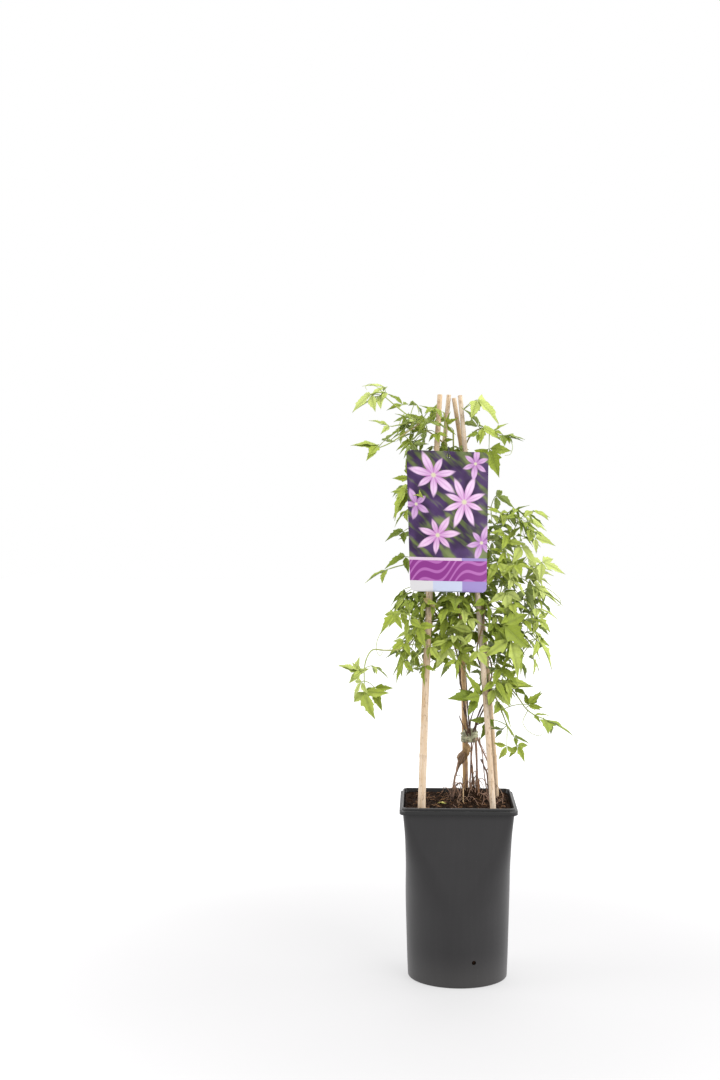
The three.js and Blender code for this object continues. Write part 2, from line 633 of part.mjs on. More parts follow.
// A leaf from its root on a stem, its hub, the tip of its end leaflet, and the side that its face looks to.
function leafFrom(root, hub, tip, face, rng) {
  const axis = tip.clone().sub(hub);
  const size = axis.length();
  axis.normalize();
  const normal = face.clone().addScaledVector(axis, -face.dot(axis)).normalize();
  const side = normal.clone().cross(axis);
  const vary = (r) => 1 + (rng() - 0.5) * r;
  const leaflets = [-1, 0, 1].map((s) => {
    const turn = s * SIDE_SPREAD * vary(VARY.spread);
    const run = axis
      .clone()
      .multiplyScalar(Math.cos(turn))
      .addScaledVector(side, Math.sin(turn))
      .addScaledVector(normal, s ? -SIDE_DROOP[0] - SIDE_DROOP[1] * rng() : 0)
      .normalize();
    const up = normal.clone().addScaledVector(run, -normal.dot(run)).normalize();
    return {
      run,
      up,
      across: up.clone().cross(run),
      length: size * (s ? SIDE_SHARE * vary(VARY.length) : 1),
      arch: LEAF_ARCH * vary(VARY.arch),
      fold: LEAF_FOLD * vary(VARY.fold),
    };
  });
  return { root, hub, axis, normal, side, leaflets };
}

// A point of a leaflet, along and across it as shares of its length.
function leafletPoint(leaf, leaflet, u, v, lift = 0) {
  const bend = leaflet.fold * Math.abs(v) - leaflet.arch * u * u;
  return leaf.hub
    .clone()
    .addScaledVector(leaflet.run, u * leaflet.length)
    .addScaledVector(leaflet.across, v * leaflet.length)
    .addScaledVector(leaflet.up, bend * leaflet.length + lift);
}

function stalkPoint(leaf, t) {
  const reach = leaf.hub.distanceTo(leaf.root);
  const lead = leaf.hub.clone().sub(leaf.root).normalize().addScaledVector(UP, STALK_RISE);
  const bend = leaf.root.clone().addScaledVector(lead, reach * 0.5);
  const a = (1 - t) * (1 - t);
  const b = 2 * t * (1 - t);
  return leaf.root.clone().multiplyScalar(a).addScaledVector(bend, b).addScaledVector(leaf.hub, t * t);
}

function samplesOf(leaf) {
  const points = leaf.leaflets.flatMap((l) => SAMPLES.map(([u, v]) => leafletPoint(leaf, l, u, v)));
  for (const t of STALK_SAMPLES) points.push(stalkPoint(leaf, t));
  return points;
}

// How near a leaf comes to what it should clear, as a share of the clearance wanted: 1 or more is clear.
function roomOf(points, own, placed, stemPoints, ownClear) {
  let room = CLEAR_ENOUGH;
  for (const p of points) {
    for (const cane of Object.values(CANES)) {
      if (p.z > cane.head.z + CLEAR_CANE) continue;
      const c = caneAt(cane, Math.min(p.z, cane.head.z));
      room = Math.min(room, Math.hypot(p.x - c.x, p.y - c.y) / CLEAR_CANE);
    }
    room = Math.min(room, labelRoom(p) / CLEAR_LABEL);
    for (const [index, q] of stemPoints)
      room = Math.min(room, p.distanceTo(q) / (index === own ? ownClear : CLEAR_STEM));
    for (const [index, q] of placed)
      room = Math.min(room, p.distanceTo(q) / (index === own ? CLEAR_SAME : CLEAR_OTHER));
  }
  return room;
}

// How far a point lies behind the label card, or beside it. In front of the card there is no room at all.
function labelRoom(p) {
  const { topLeft, bottomLeft, topRight } = LABEL;
  const down = (topLeft.z - p.z) / (topLeft.z - bottomLeft.z);
  const beside = Math.max(bottomLeft.z - p.z, p.z - topLeft.z, topLeft.x - p.x, p.x - topRight.x);
  return Math.max(beside, p.y - labelDepth(p.x, down));
}

// The label card's depth at a place: it leans, and its middle bows to the viewer.
function labelDepth(x, down) {
  const { topLeft, topRight, bottomLeft, bow } = LABEL;
  const f = Math.min(Math.max(down, 0), 1);
  const half = (topRight.x - topLeft.x) / 2;
  const s = (x - (topLeft.x + topRight.x) / 2) / half;
  const depth = topLeft.y + (bottomLeft.y - topLeft.y) * f;
  return depth - (bow[0] + (bow[1] - bow[0]) * f) * (1 - s * s);
}

// Which way a leaf's upper side looks: up and out from the tepee's middle, rolled about the leaf's own run.
function faceOf(hub, axis, roll) {
  const out = V(hub.x - LEAF_FACE.fromX, hub.y - LEAF_FACE.fromY, 0).normalize();
  const face = V(0, -LEAF_FACE.forward, LEAF_FACE.up).addScaledVector(out, LEAF_FACE.out);
  face.addScaledVector(axis, -face.dot(axis)).normalize();
  return face.applyAxisAngle(axis, roll);
}

// Tries a leaf in seeded places about its own until it is clear of all that stands, or keeps the clearest try.
function settle(make, own, placed, stemPoints, ownClear) {
  let best = null;
  let most = -1;
  for (let k = 0; k < LEAF_TRIES && most < 1; k++) {
    const leaf = make(k / LEAF_TRIES);
    const points = samplesOf(leaf);
    const room = roomOf(points, own, placed, stemPoints, ownClear);
    if (room > most) [best, most] = [{ leaf, points }, room];
  }
  best.points.forEach((p) => placed.push([own, p]));
  return best.leaf;
}

function nearestOn(paths, p) {
  let best = null;
  for (const path of paths) for (const q of path) if (!best || q.distanceTo(p) < best.distanceTo(p)) best = q;
  return best;
}

function scatter(rng, reach) {
  const x = rng() - 0.5;
  const y = rng() - 0.5;
  const z = rng() - 0.5;
  return V(x, y, z).multiplyScalar(2 * reach);
}

// All the leaves, stem by stem, in the order in which they settle.
function growLeaves() {
  const placed = [];
  const paths = STEMS.map(pathsOf);
  const halfway = (path) => path.slice(1).map((q, i) => q.clone().lerp(path[i], 0.5));
  const denser = (path) => [...path, ...halfway(path)];
  const stemPoints = paths.flatMap((own, index) => own.flatMap(denser).map((q) => [index, q]));
  const leaves = STEMS.map(() => []);
  STEMS.forEach((stem, index) => {
    const above = paths[index].map((path) => path.filter((q) => q.z > TIE.high + ROOT_ABOVE_TIE));
    stem.leaves.forEach(([hub, tip], i) => {
      const rng = draws(1000 * (index + 1) + i);
      const root = nearestOn(above, hub);
      leaves[index].push(
        settle(
          (stray) => {
            const at = hub.clone().add(scatter(rng, SET_STRAY.hub * stray));
            const end = tip.clone().add(at).sub(hub).add(scatter(rng, SET_STRAY.tip * stray));
            const axis = end.clone().sub(at).normalize();
            const face = faceOf(at, axis, (rng() - 0.5) * (SET_STRAY.roll[0] + SET_STRAY.roll[1] * stray));
            return { ...leafFrom(root, at, end, face, rng), plain: tip.distanceTo(hub) < SMALL_LEAF };
          },
          index,
          placed,
          stemPoints,
          CLEAR_OWN_SET,
        ),
      );
    });
  });
  STEMS.forEach((stem, index) => {
    const above = paths[index].map((path) => path.filter((q) => q.z > TIE.high + ROOT_ABOVE_TIE));
    stem.clumps.forEach(({ centre, reach, count, length }, k) => {
      for (let i = 0; i < count; i++) {
        const rng = draws(9000 * (index + 1) + 100 * k + i);
        leaves[index].push(
          settle(
            (stray) => {
              const at = centre.clone().add(scatter(rng, 1).multiply(reach));
              const root = nearestOn(above, at);
              const from = V(at.x - CLUMP_RUN.fromX, at.y - CLUMP_RUN.fromY, 0).setLength(CLUMP_RUN.out);
              const out = at.clone().sub(root).setZ(0).normalize().add(from).setLength(1);
              const run = out.addScaledVector(UP, -CLUMP_RUN.down[0] - CLUMP_RUN.down[1] * rng()).normalize();
              const share = CLUMP_LENGTH.least + CLUMP_LENGTH.draw * rng();
              const end = at.clone().addScaledVector(run, length * share * (1 - CLUMP_LENGTH.shrink * stray));
              const face = faceOf(at, run, (rng() - 0.5) * (CLUMP_ROLL[0] + CLUMP_ROLL[1] * stray));
              return { ...leafFrom(root, at, end, face, rng), plain: true };
            },
            index,
            placed,
            stemPoints,
            CLEAR_OWN_STEM,
          ),
        );
      }
    });
  });
  return { leaves, paths };
}

// A leaf as one closed arched blade, cut in to the hub between its three leaflets, with its three-sided stalk.
function leafSolid(leaf) {
  const points = [];
  const index = [];
  const add = (p) => points.push(p) - 1;
  const over = (a, b, c) => index.push(a, c, b);
  const under = (a, b, c) => index.push(a, b, c);
  const ring = (t, radius) => {
    const p = stalkPoint(leaf, t);
    const ahead = stalkPoint(leaf, Math.min(t + 0.05, 1));
    const run = ahead.sub(stalkPoint(leaf, Math.max(t - 0.05, 0))).normalize();
    const side = leaf.side.clone().addScaledVector(run, -leaf.side.dot(run)).normalize();
    const up = run.clone().cross(side);
    const corner = ([a, b]) => add(p.clone().addScaledVector(side, a * radius).addScaledVector(up, b * radius));
    return STALK_SECTION.map(corner);
  };
  const reach = leaf.hub.distanceTo(leaf.root);
  const stalk = [ring(0, STALK_RADIUS[0])];
  if (reach > LONG_STALK) stalk.push(ring(0.5, STALK_RADIUS[1]));
  stalk.push(ring(1 - Math.min(STALK_STOP.length / reach, STALK_STOP.share), STALK_RADIUS[1]));
  for (let r = 0; r + 1 < stalk.length; r++)
    for (let k = 0; k < 3; k++) {
      const [a, b] = [stalk[r][k], stalk[r][(k + 1) % 3]];
      const [c, d] = [stalk[r + 1][(k + 1) % 3], stalk[r + 1][k]];
      index.push(a, c, b, a, d, c);
    }
  index.push(stalk[0][0], stalk[0][1], stalk[0][2]);
  const [left, top, right] = stalk[stalk.length - 1];
  const hub = (lift) => add(leaf.hub.clone().addScaledVector(leaf.normal, lift));
  const hubs = [hub(STALK_RADIUS[1]), hub(-STALK_RADIUS[1])];
  const ahead = leaf.hub.clone().addScaledVector(leaf.axis, HUB_NOTCH.ahead);
  const notch = (s) => add(ahead.clone().addScaledVector(leaf.side, s * HUB_NOTCH.aside));
  const starts = [left, notch(-1), notch(1)];
  const ends = [starts[1], starts[2], right];
  const half = leaf.plain ? PLAIN_EDGE : LEAFLET_EDGE;
  leaf.leaflets.forEach((l, k) => {
    const edge = [starts[k]];
    for (const [u, v] of half) edge.push(add(leafletPoint(leaf, l, u, -v)));
    edge.push(add(leafletPoint(leaf, l, 1, 0)));
    for (const [u, v] of [...half].reverse()) edge.push(add(leafletPoint(leaf, l, u, v)));
    edge.push(ends[k]);
    [over, under].forEach((face, s) => {
      const rib = add(leafletPoint(leaf, l, 0.5, 0, s ? -BLADE_HALF_THICK : BLADE_HALF_THICK));
      for (let i = 0; i + 1 < edge.length; i++) face(edge[i], rib, edge[i + 1]);
      face(hubs[s], rib, edge[0]);
      face(hubs[s], edge[edge.length - 1], rib);
    });
  });
  over(hubs[0], left, top);
  over(hubs[0], top, right);
  under(hubs[1], left, right);
  return solidOf(closed(points, index));
}

const GROWN = growLeaves();

function stemTube(stem, extra = 0, stop = 1) {
  const path = pathOf(stem.route, STEM_STEP);
  const kept = path.slice(0, Math.max(3, Math.ceil(path.length * stop)));
  return tube(
    kept,
    kept.map((p, i) => stemRadius(stem, i / (path.length - 1), p.z) + extra),
    STEM_SIDES,
  );
}

function leafyStem(stem, index) {
  const pieces = [solidOf(stemTube(stem))];
  for (const path of GROWN.paths[index].slice(1)) {
    const [thick, thin] = SHOOT_RADIUS;
    const radii = path.map((_, i) => thick + ((thin - thick) * i) / (path.length - 1));
    pieces.push(solidOf(tube(path, radii, SHOOT_SIDES)));
  }
  for (const leaf of GROWN.leaves[index]) pieces.push(leafSolid(leaf));
  return wholeOf(pieces.reduce((a, b) => a.add(b)));
}

// Soil

function soilHeight(x, y) {
  const { x: mx, y: my, height, spreadX, spreadY } = SOIL_MOUND;
  const mound = Math.exp(-(((x - mx) / spreadX) ** 2) - ((y - my) / spreadY) ** 2);
  const lumps = Math.sin(0.21 * x + 1.3) * Math.cos(0.17 * y) + 0.6 * Math.sin(0.43 * x - 0.37 * y);
  return SOIL_LEVEL + height * mound + SOIL_LUMP * lumps;
}

function soil() {
  const inset = POT_WALL + GAP;
  const rings = SOIL_SIDE_HEIGHTS.map((z) => innerRing(z, inset));
  for (const share of SOIL_TOP_SHARES) {
    const [mx, my] = [SOIL_MOUND.x * (1 - share), SOIL_MOUND.y * (1 - share)];
    rings.push(
      innerRing(SOIL_LEVEL, inset).map(({ x, y }) => {
        const [px, py] = [mx + x * share, my + y * share];
        return V(px, py, soilHeight(px, py));
      }),
    );
  }
  const top = V(SOIL_MOUND.x, SOIL_MOUND.y, soilHeight(SOIL_MOUND.x, SOIL_MOUND.y));
  let body = solidOf(loft(rings, [V(0, 0, SOIL_SIDE_HEIGHTS[0]), top]));
  for (const cane of Object.values(CANES)) {
    const hole = [CANE_FOOT - GAP, cane.soil.z, cane.soil.z + CANE_HOLE_ABOVE].map((z) => caneAt(cane, z));
    body = body.subtract(solidOf(tube(hole, hole.map(() => cane.radius[0] + GAP + HOLE_SLACK), CANE_SIDES)));
  }
  STEMS.forEach((stem) => {
    const whole = pathOf(stem.route, STEM_STEP);
    const path = whole.slice(0, whole.findIndex((p) => p.z > SOIL_TOP) + 1);
    path[0].z -= GAP;
    const wide = path.map(() => stem.radius[0] + GAP + HOLE_SLACK);
    body = body.subtract(solidOf(tube(path, wide, STEM_SIDES)));
  });
  DRY_STEMS.forEach((dry) => {
    body = body.subtract(solidOf(dryTube(dry, GAP + HOLE_SLACK)));
  });
  return wholeOf(body);
}

// A dry stem, or what it is cut from the soil with, a little wider.
function dryTube({ route, radius }, extra = 0) {
  const path = pathOf(route, DRY_STEP);
  if (extra) path[0].z -= GAP;
  return tube(
    path,
    path.map((_, i) => radius[0] + ((radius[1] - radius[0]) * i) / (path.length - 1) + extra),
    DRY_SIDES,
  );
}

// The yellowed leaflet, laid on the soil.
function fallenLeaf() {
  const run = FALLEN.to.clone().sub(FALLEN.from);
  const side = UP.clone().cross(run);
  const outline = [[0, 0], ...LEAFLET_EDGE.map(([u, v]) => [u, -v]), [1, 0]];
  outline.push(...LEAFLET_EDGE.map(([u, v]) => [u, v]).reverse());
  const rings = [0, FALLEN.thick].map((lift) =>
    outline.map(([u, v]) => {
      const p = FALLEN.from.clone().addScaledVector(run, u).addScaledVector(side, v * FALLEN.broad);
      return p.setZ(soilHeight(p.x, p.y) + FALLEN.above + lift);
    }),
  );
  return solidOf(loft(rings));
}

// Ties

// An oval ring of points in a level plane.
function oval(cx, cy, halfX, halfY, z, sides) {
  return Array.from({ length: sides }, (_, i) => {
    const a = (2 * Math.PI * i) / sides;
    return V(cx + halfX * Math.cos(a), cy + halfY * Math.sin(a), z);
  });
}

function wrappedTie() {
  const { x, y, low, high, halfX, halfY } = TIE;
  const tall = high - low;
  const ring = ([f, grow]) => oval(x, y, halfX + grow, halfY + grow, low + f * tall, TIE.sides);
  let body = solidOf(loft(TIE_BULGES.map(ring)));
  body = body.subtract(solidOf(caneTube(CANES.middle, GAP)));
  STEMS.forEach((stem) => {
    body = body.subtract(solidOf(stemTube(stem, GAP, TIE_HOLES)));
  });
  return wholeOf(body);
}

// The band that holds the four canes together: a loop that rounds each cane at one height.
function caneBand() {
  const around = ["front_left", "back_left", "back_right", "front_right"].map((name) => CANES[name]);
  const places = around.map((cane) => caneAt(cane, BAND_HEIGHT));
  const middle = places.reduce((s, p) => s.add(p), V(0, 0, 0)).divideScalar(places.length);
  const path = [];
  places.forEach((p, i) => {
    const reach = caneRadius(around[i], BAND_HEIGHT) + BAND_WIRE + GAP + BAND_SLACK;
    const out = Math.atan2(p.y - middle.y, p.x - middle.x);
    for (const turn of BAND_TURNS)
      path.push(V(p.x + reach * Math.cos(out + turn), p.y + reach * Math.sin(out + turn), BAND_HEIGHT));
  });
  return closedLoop(path, BAND_WIRE, BAND_TALL);
}

// A loop along a closed path, of a rectangular section.
function closedLoop(path, halfWide, halfTall, level = true) {
  const n = path.length;
  const points = [];
  const index = [];
  path.forEach((p, i) => {
    const run = path[(i + 1) % n].clone().sub(path[(i + n - 1) % n]).normalize();
    const out = level ? run.clone().cross(UP) : run.clone().cross(V(1, 0, 0));
    const rise = level ? UP : V(1, 0, 0);
    for (const [a, b] of [[-1, -1], [1, -1], [1, 1], [-1, 1]])
      points.push(p.clone().addScaledVector(out, a * halfWide).addScaledVector(rise, b * halfTall));
  });
  for (let i = 0; i < n; i++)
    for (let k = 0; k < 4; k++) {
      const [a, b] = [4 * i + k, 4 * i + ((k + 1) % 4)];
      const [c, d] = [4 * ((i + 1) % n) + ((k + 1) % 4), 4 * ((i + 1) % n) + k];
      index.push(a, b, c, a, c, d);
    }
  const made = solidOf(closed(points, index));
  const turned = index.map((_, i) => index[i - (i % 3) + [0, 2, 1][i % 3]]);
  return made.volume() > 0 ? made : solidOf(closed(points, turned));
}

// The wire loop that hangs the label: through its hole, over its top edge and round the band.
function labelLoop() {
  const hole = labelPoint(LABEL.hole.across, LABEL.hole.down);
  const bandY = caneAt(CANES.front_left, BAND_HEIGHT).y - CANES.front_left.radius[1] - BAND_WIRE - BAND_SLACK;
  const top = LABEL.topLeft.z;
  const path = [
    V(hole.x, hole.y + LOOP_IN_HOLE.front[0], hole.z + LOOP_IN_HOLE.front[1]),
    ...LOOP_OVER_EDGE.map(([y, z]) => V(hole.x, hole.y + y, top + z)),
    ...LOOP_ROUND_BAND.map(([y, z]) => V(hole.x, bandY + y, BAND_HEIGHT + z)),
    V(hole.x, hole.y + LOOP_IN_HOLE.back[0], hole.z + LOOP_IN_HOLE.back[1]),
  ];
  return closedLoop(path, LABEL_LOOP_WIRE, LABEL_LOOP_WIRE, false);
}

// Label

// A point of the label card's middle surface, across and down it as shares.
function labelPoint(across, down) {
  const { topLeft, topRight, bottomLeft, bottomRight, bow } = LABEL;
  const left = topLeft.clone().lerp(bottomLeft, down);
  const right = topRight.clone().lerp(bottomRight, down);
  const p = left.lerp(right, across);
  const s = 2 * across - 1;
  p.y -= (bow[0] + (bow[1] - bow[0]) * down) * (1 - s * s);
  return p;
}

function label() {
  const [wide, tall] = LABEL_CELLS;
  const points = [];
  const index = [];
  for (const side of [-1, 1])
    for (let j = 0; j <= tall; j++)
      for (let i = 0; i <= wide; i++) {
        const p = labelPoint(i / wide, j / tall);
        points.push(p.add(V(0, (side * LABEL.thick) / 2, 0)));
      }
  const at = (side, i, j) => side * (wide + 1) * (tall + 1) + j * (wide + 1) + i;
  const quad = (a, b, c, d) => index.push(a, b, c, a, c, d);
  for (let j = 0; j < tall; j++)
    for (let i = 0; i < wide; i++) {
      quad(at(0, i, j), at(0, i, j + 1), at(0, i + 1, j + 1), at(0, i + 1, j));
      quad(at(1, i, j), at(1, i + 1, j), at(1, i + 1, j + 1), at(1, i, j + 1));
    }
  const rim = [];
  for (let i = 0; i < wide; i++) rim.push([i, 0]);
  for (let j = 0; j < tall; j++) rim.push([wide, j]);
  for (let i = wide; i > 0; i--) rim.push([i, tall]);
  for (let j = tall; j > 0; j--) rim.push([0, j]);
  rim.forEach(([i, j], k) => {
    const [m, n] = rim[(k + 1) % rim.length];
    quad(at(0, i, j), at(0, m, n), at(1, m, n), at(1, i, j));
  });
  let card = solidOf(closed(points, index));
  card = card.intersect(solidOf(labelOutline()));
  const { across, down, radius, length, sides } = LABEL.hole;
  const hole = new THREE.CylinderGeometry(radius, radius, length, sides);
  const p = labelPoint(across, down);
  hole.translate(p.x, p.y, p.z);
  return wholeOf(card.subtract(solidOf(hole)));
}

// The card's outline with rounded corners, as a block that runs through it from front to back.
function labelOutline() {
  const { topLeft, topRight, bottomLeft, bottomRight, corner } = LABEL;
  const corners = [topLeft, bottomLeft, bottomRight, topRight];
  const shape = new THREE.Shape();
  corners.forEach((p, i) => {
    const before = corners[(i + 3) % 4];
    const after = corners[(i + 1) % 4];
    const a = p.clone().add(before.clone().sub(p).setY(0).setLength(corner));
    const b = p.clone().add(after.clone().sub(p).setY(0).setLength(corner));
    if (i) shape.lineTo(a.x, a.z);
    else shape.moveTo(a.x, a.z);
    shape.quadraticCurveTo(p.x, p.z, b.x, b.z);
  });
  shape.closePath();
  const block = new THREE.ExtrudeGeometry(shape, { depth: LABEL.block, bevelEnabled: false, curveSegments: 4 });
  return block.rotateX(Math.PI / 2);
}

// Assembly

const MATERIALS = {
  plastic: new THREE.MeshStandardMaterial({ color: 0x3a393d, roughness: 0.45, metalness: 0 }),
  soil: new THREE.MeshStandardMaterial({ color: 0x2c211a, roughness: 1, metalness: 0 }),
  bamboo: new THREE.MeshStandardMaterial({ color: 0xd9b98d, roughness: 0.55, metalness: 0 }),
  leaf: new THREE.MeshStandardMaterial({ color: 0x86b03c, roughness: 0.5, metalness: 0 }),
  tape: new THREE.MeshStandardMaterial({ color: 0x75806f, roughness: 0.6, metalness: 0 }),
  wire: new THREE.MeshStandardMaterial({ color: 0x1d1b20, roughness: 0.5, metalness: 0 }),
  card: new THREE.MeshStandardMaterial({ color: 0x9a78a8, roughness: 0.3, metalness: 0 }),
  dry: new THREE.MeshStandardMaterial({ color: 0x8a5f4a, roughness: 0.85, metalness: 0 }),
  fallen: new THREE.MeshStandardMaterial({ color: 0xb9c04a, roughness: 0.6, metalness: 0 }),
};

const plant = new THREE.Group();

function place(name, solid, material) {
  const mesh = new THREE.Mesh(geometryOf(solid), material);
  mesh.name = name;
  plant.add(mesh);
}

place("pot", pot(), MATERIALS.plastic);
place("soil", soil(), MATERIALS.soil);
for (const [name, cane] of Object.entries(CANES))
  place("cane_" + name, solidOf(caneTube(cane)), MATERIALS.bamboo);
place("tie_stems", wrappedTie(), MATERIALS.tape);
place("band_canes", caneBand(), MATERIALS.wire);
place("label", label(), MATERIALS.card);
place("label_loop", labelLoop(), MATERIALS.wire);
STEMS.forEach((stem, index) => place(stem.name, leafyStem(stem, index), MATERIALS.leaf));
DRY_STEMS.forEach((dry) => place(dry.name, solidOf(dryTube(dry)), MATERIALS.dry));
place("fallen_leaf", fallenLeaf(), MATERIALS.fallen);

export default plant;
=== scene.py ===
"""Looks of a climbing clematis in its nursery pot, on a tepee of bamboo canes.

Sizes and places are millimetres throughout and become metres where a mesh is made. +Z is up, +Y leads away
from the viewer, and the origin is the centre of the pot's base. The routes of the canes and stems and the
rule that sets the leaves are those of the part itself, so that the fine pieces grow where its solids are.
"""

from __future__ import annotations

import json
import logging
import math
from dataclasses import dataclass
from enum import Enum
from typing import Any, Callable, Iterable, Sequence

import bmesh
import bpy
import numpy as np
from mathutils import Matrix, Vector, noise
from mathutils.geometry import delaunay_2d_cdt

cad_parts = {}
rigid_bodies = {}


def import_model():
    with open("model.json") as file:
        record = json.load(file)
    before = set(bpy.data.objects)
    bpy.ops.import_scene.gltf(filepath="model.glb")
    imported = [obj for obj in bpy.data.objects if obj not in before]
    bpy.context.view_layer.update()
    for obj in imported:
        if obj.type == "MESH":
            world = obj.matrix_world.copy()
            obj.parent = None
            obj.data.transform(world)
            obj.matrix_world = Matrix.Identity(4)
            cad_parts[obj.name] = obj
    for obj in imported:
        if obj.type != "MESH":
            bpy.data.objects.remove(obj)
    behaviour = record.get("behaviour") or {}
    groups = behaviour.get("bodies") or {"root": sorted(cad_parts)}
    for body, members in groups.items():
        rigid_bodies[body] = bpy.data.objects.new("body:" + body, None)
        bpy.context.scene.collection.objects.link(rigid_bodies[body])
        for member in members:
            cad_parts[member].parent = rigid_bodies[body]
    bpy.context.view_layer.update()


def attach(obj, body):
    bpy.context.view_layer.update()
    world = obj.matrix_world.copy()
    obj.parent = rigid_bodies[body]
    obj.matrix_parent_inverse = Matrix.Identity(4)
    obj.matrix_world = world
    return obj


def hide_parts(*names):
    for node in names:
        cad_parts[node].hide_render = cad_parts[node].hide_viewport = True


LOG = logging.getLogger("clematis")

Array = np.ndarray
Point = tuple[float, float, float]
Colour = tuple[float, float, float]

MM = 0.001
TURN = 2 * math.pi
UP = np.array([0.0, 0.0, 1.0])


# Small helpers


def arr(*values: float) -> Array:
    """A vector of plain numbers."""
    return np.array(values, dtype=float)


def unit(v: Array) -> Array:
    """The vector at length 1."""
    return v / np.linalg.norm(v)


def mix(a: Any, b: Any, share: Any) -> Any:
    """What lies that share of the way from a to b."""
    return a + (b - a) * share


def rounded(value: float) -> int:
    """The nearest whole number, with halves rounded up."""
    return math.floor(value + 0.5)


class Draws:
    """Seeded draws from 0 to 1, the same on every machine."""

    WORD = 0xFFFFFFFF
    STEP = 0x6D2B79F5

    def __init__(self, seed: int) -> None:
        """Args: seed: the draw's start."""
        self.state = seed & self.WORD

    def __call__(self) -> float:
        """The next draw.

        Returns:
            A number from 0 up to 1.
        """
        word = self.WORD
        self.state = (self.state + self.STEP) & word
        t = self.state
        t = ((t ^ (t >> 15)) * (t | 1)) & word
        t ^= (t + (((t ^ (t >> 7)) * (t | 61)) & word)) & word
        return (t ^ (t >> 14)) / (word + 1)

    def between(self, low: float, high: float) -> float:
        """A draw between two numbers."""
        return low + (high - low) * self()

    def scatter(self, reach: Any) -> Array:
        """A draw in a box that reaches that far to each side."""
        x, y, z = self() - 0.5, self() - 0.5, self() - 0.5
        return arr(x, y, z) * 2 * reach


def lumpy(points: Array, size: float, seed: float = 0.0) -> Array:
    """Smooth noise from -1 to 1 at each point.

    Args:
        points: rows of x, y, z.
        size: the width of a lump.
        seed: shifts the pattern.

    Returns:
        One number for each point.
    """
    return np.array([noise.noise(Vector(p) / size + Vector((seed, seed, seed))) for p in points])


# Node trees


class Flow:
    """A value in a node tree. Python's operators on it add the nodes that work it out."""

    def __init__(self, graph: Graph, socket: bpy.types.NodeSocket) -> None:
        """Args: graph: the tree it is in. socket: the output it comes from."""
        self.graph = graph
        self.socket = socket

    @property
    def is_vector(self) -> bool:
        """Whether it holds three numbers."""
        return self.socket.type in {"VECTOR", "RGBA"}

    def __add__(self, other: Any) -> Flow:
        """Self plus other."""
        return self.graph.sum("ADD", self, other)

    def __radd__(self, other: Any) -> Flow:
        """Other plus self."""
        return self.graph.sum("ADD", other, self)

    def __sub__(self, other: Any) -> Flow:
        """Self less other."""
        return self.graph.sum("SUBTRACT", self, other)

    def __rsub__(self, other: Any) -> Flow:
        """Other less self."""
        return self.graph.sum("SUBTRACT", other, self)

    def __mul__(self, other: Any) -> Flow:
        """Self times other."""
        return self.graph.sum("MULTIPLY", self, other)

    def __rmul__(self, other: Any) -> Flow:
        """Other times self."""
        return self.graph.sum("MULTIPLY", other, self)

    def __truediv__(self, other: Any) -> Flow:
        """Self over other."""
        return self.graph.sum("DIVIDE", self, other)

    def __pow__(self, other: Any) -> Flow:
        """Self to the power of other."""
        return self.graph.sum("POWER", self, other)

    def __abs__(self) -> Flow:
        """Self without its sign."""
        return self.graph.sum("ABSOLUTE", self)

    def sin(self) -> Flow:
        """The sine."""
        return self.graph.sum("SINE", self)

    def cos(self) -> Flow:
        """The cosine."""
        return self.graph.sum("COSINE", self)

    def above(self, other: Any) -> Flow:
        """1 where self is greater than other, and else 0."""
        return self.graph.sum("GREATER_THAN", self, other)

    def most(self, other: Any) -> Flow:
        """The greater of the two."""
        return self.graph.sum("MAXIMUM", self, other)

    def rise(self, low: float, high: float) -> Flow:
        """A smooth step from 0 at low to 1 at high, which may be the smaller one."""
        sockets = {0: self, 1: low, 2: high, 3: 0.0, 4: 1.0}
        return self.graph.get("ShaderNodeMapRange", 0, {"interpolation_type": "SMOOTHSTEP"}, sockets)


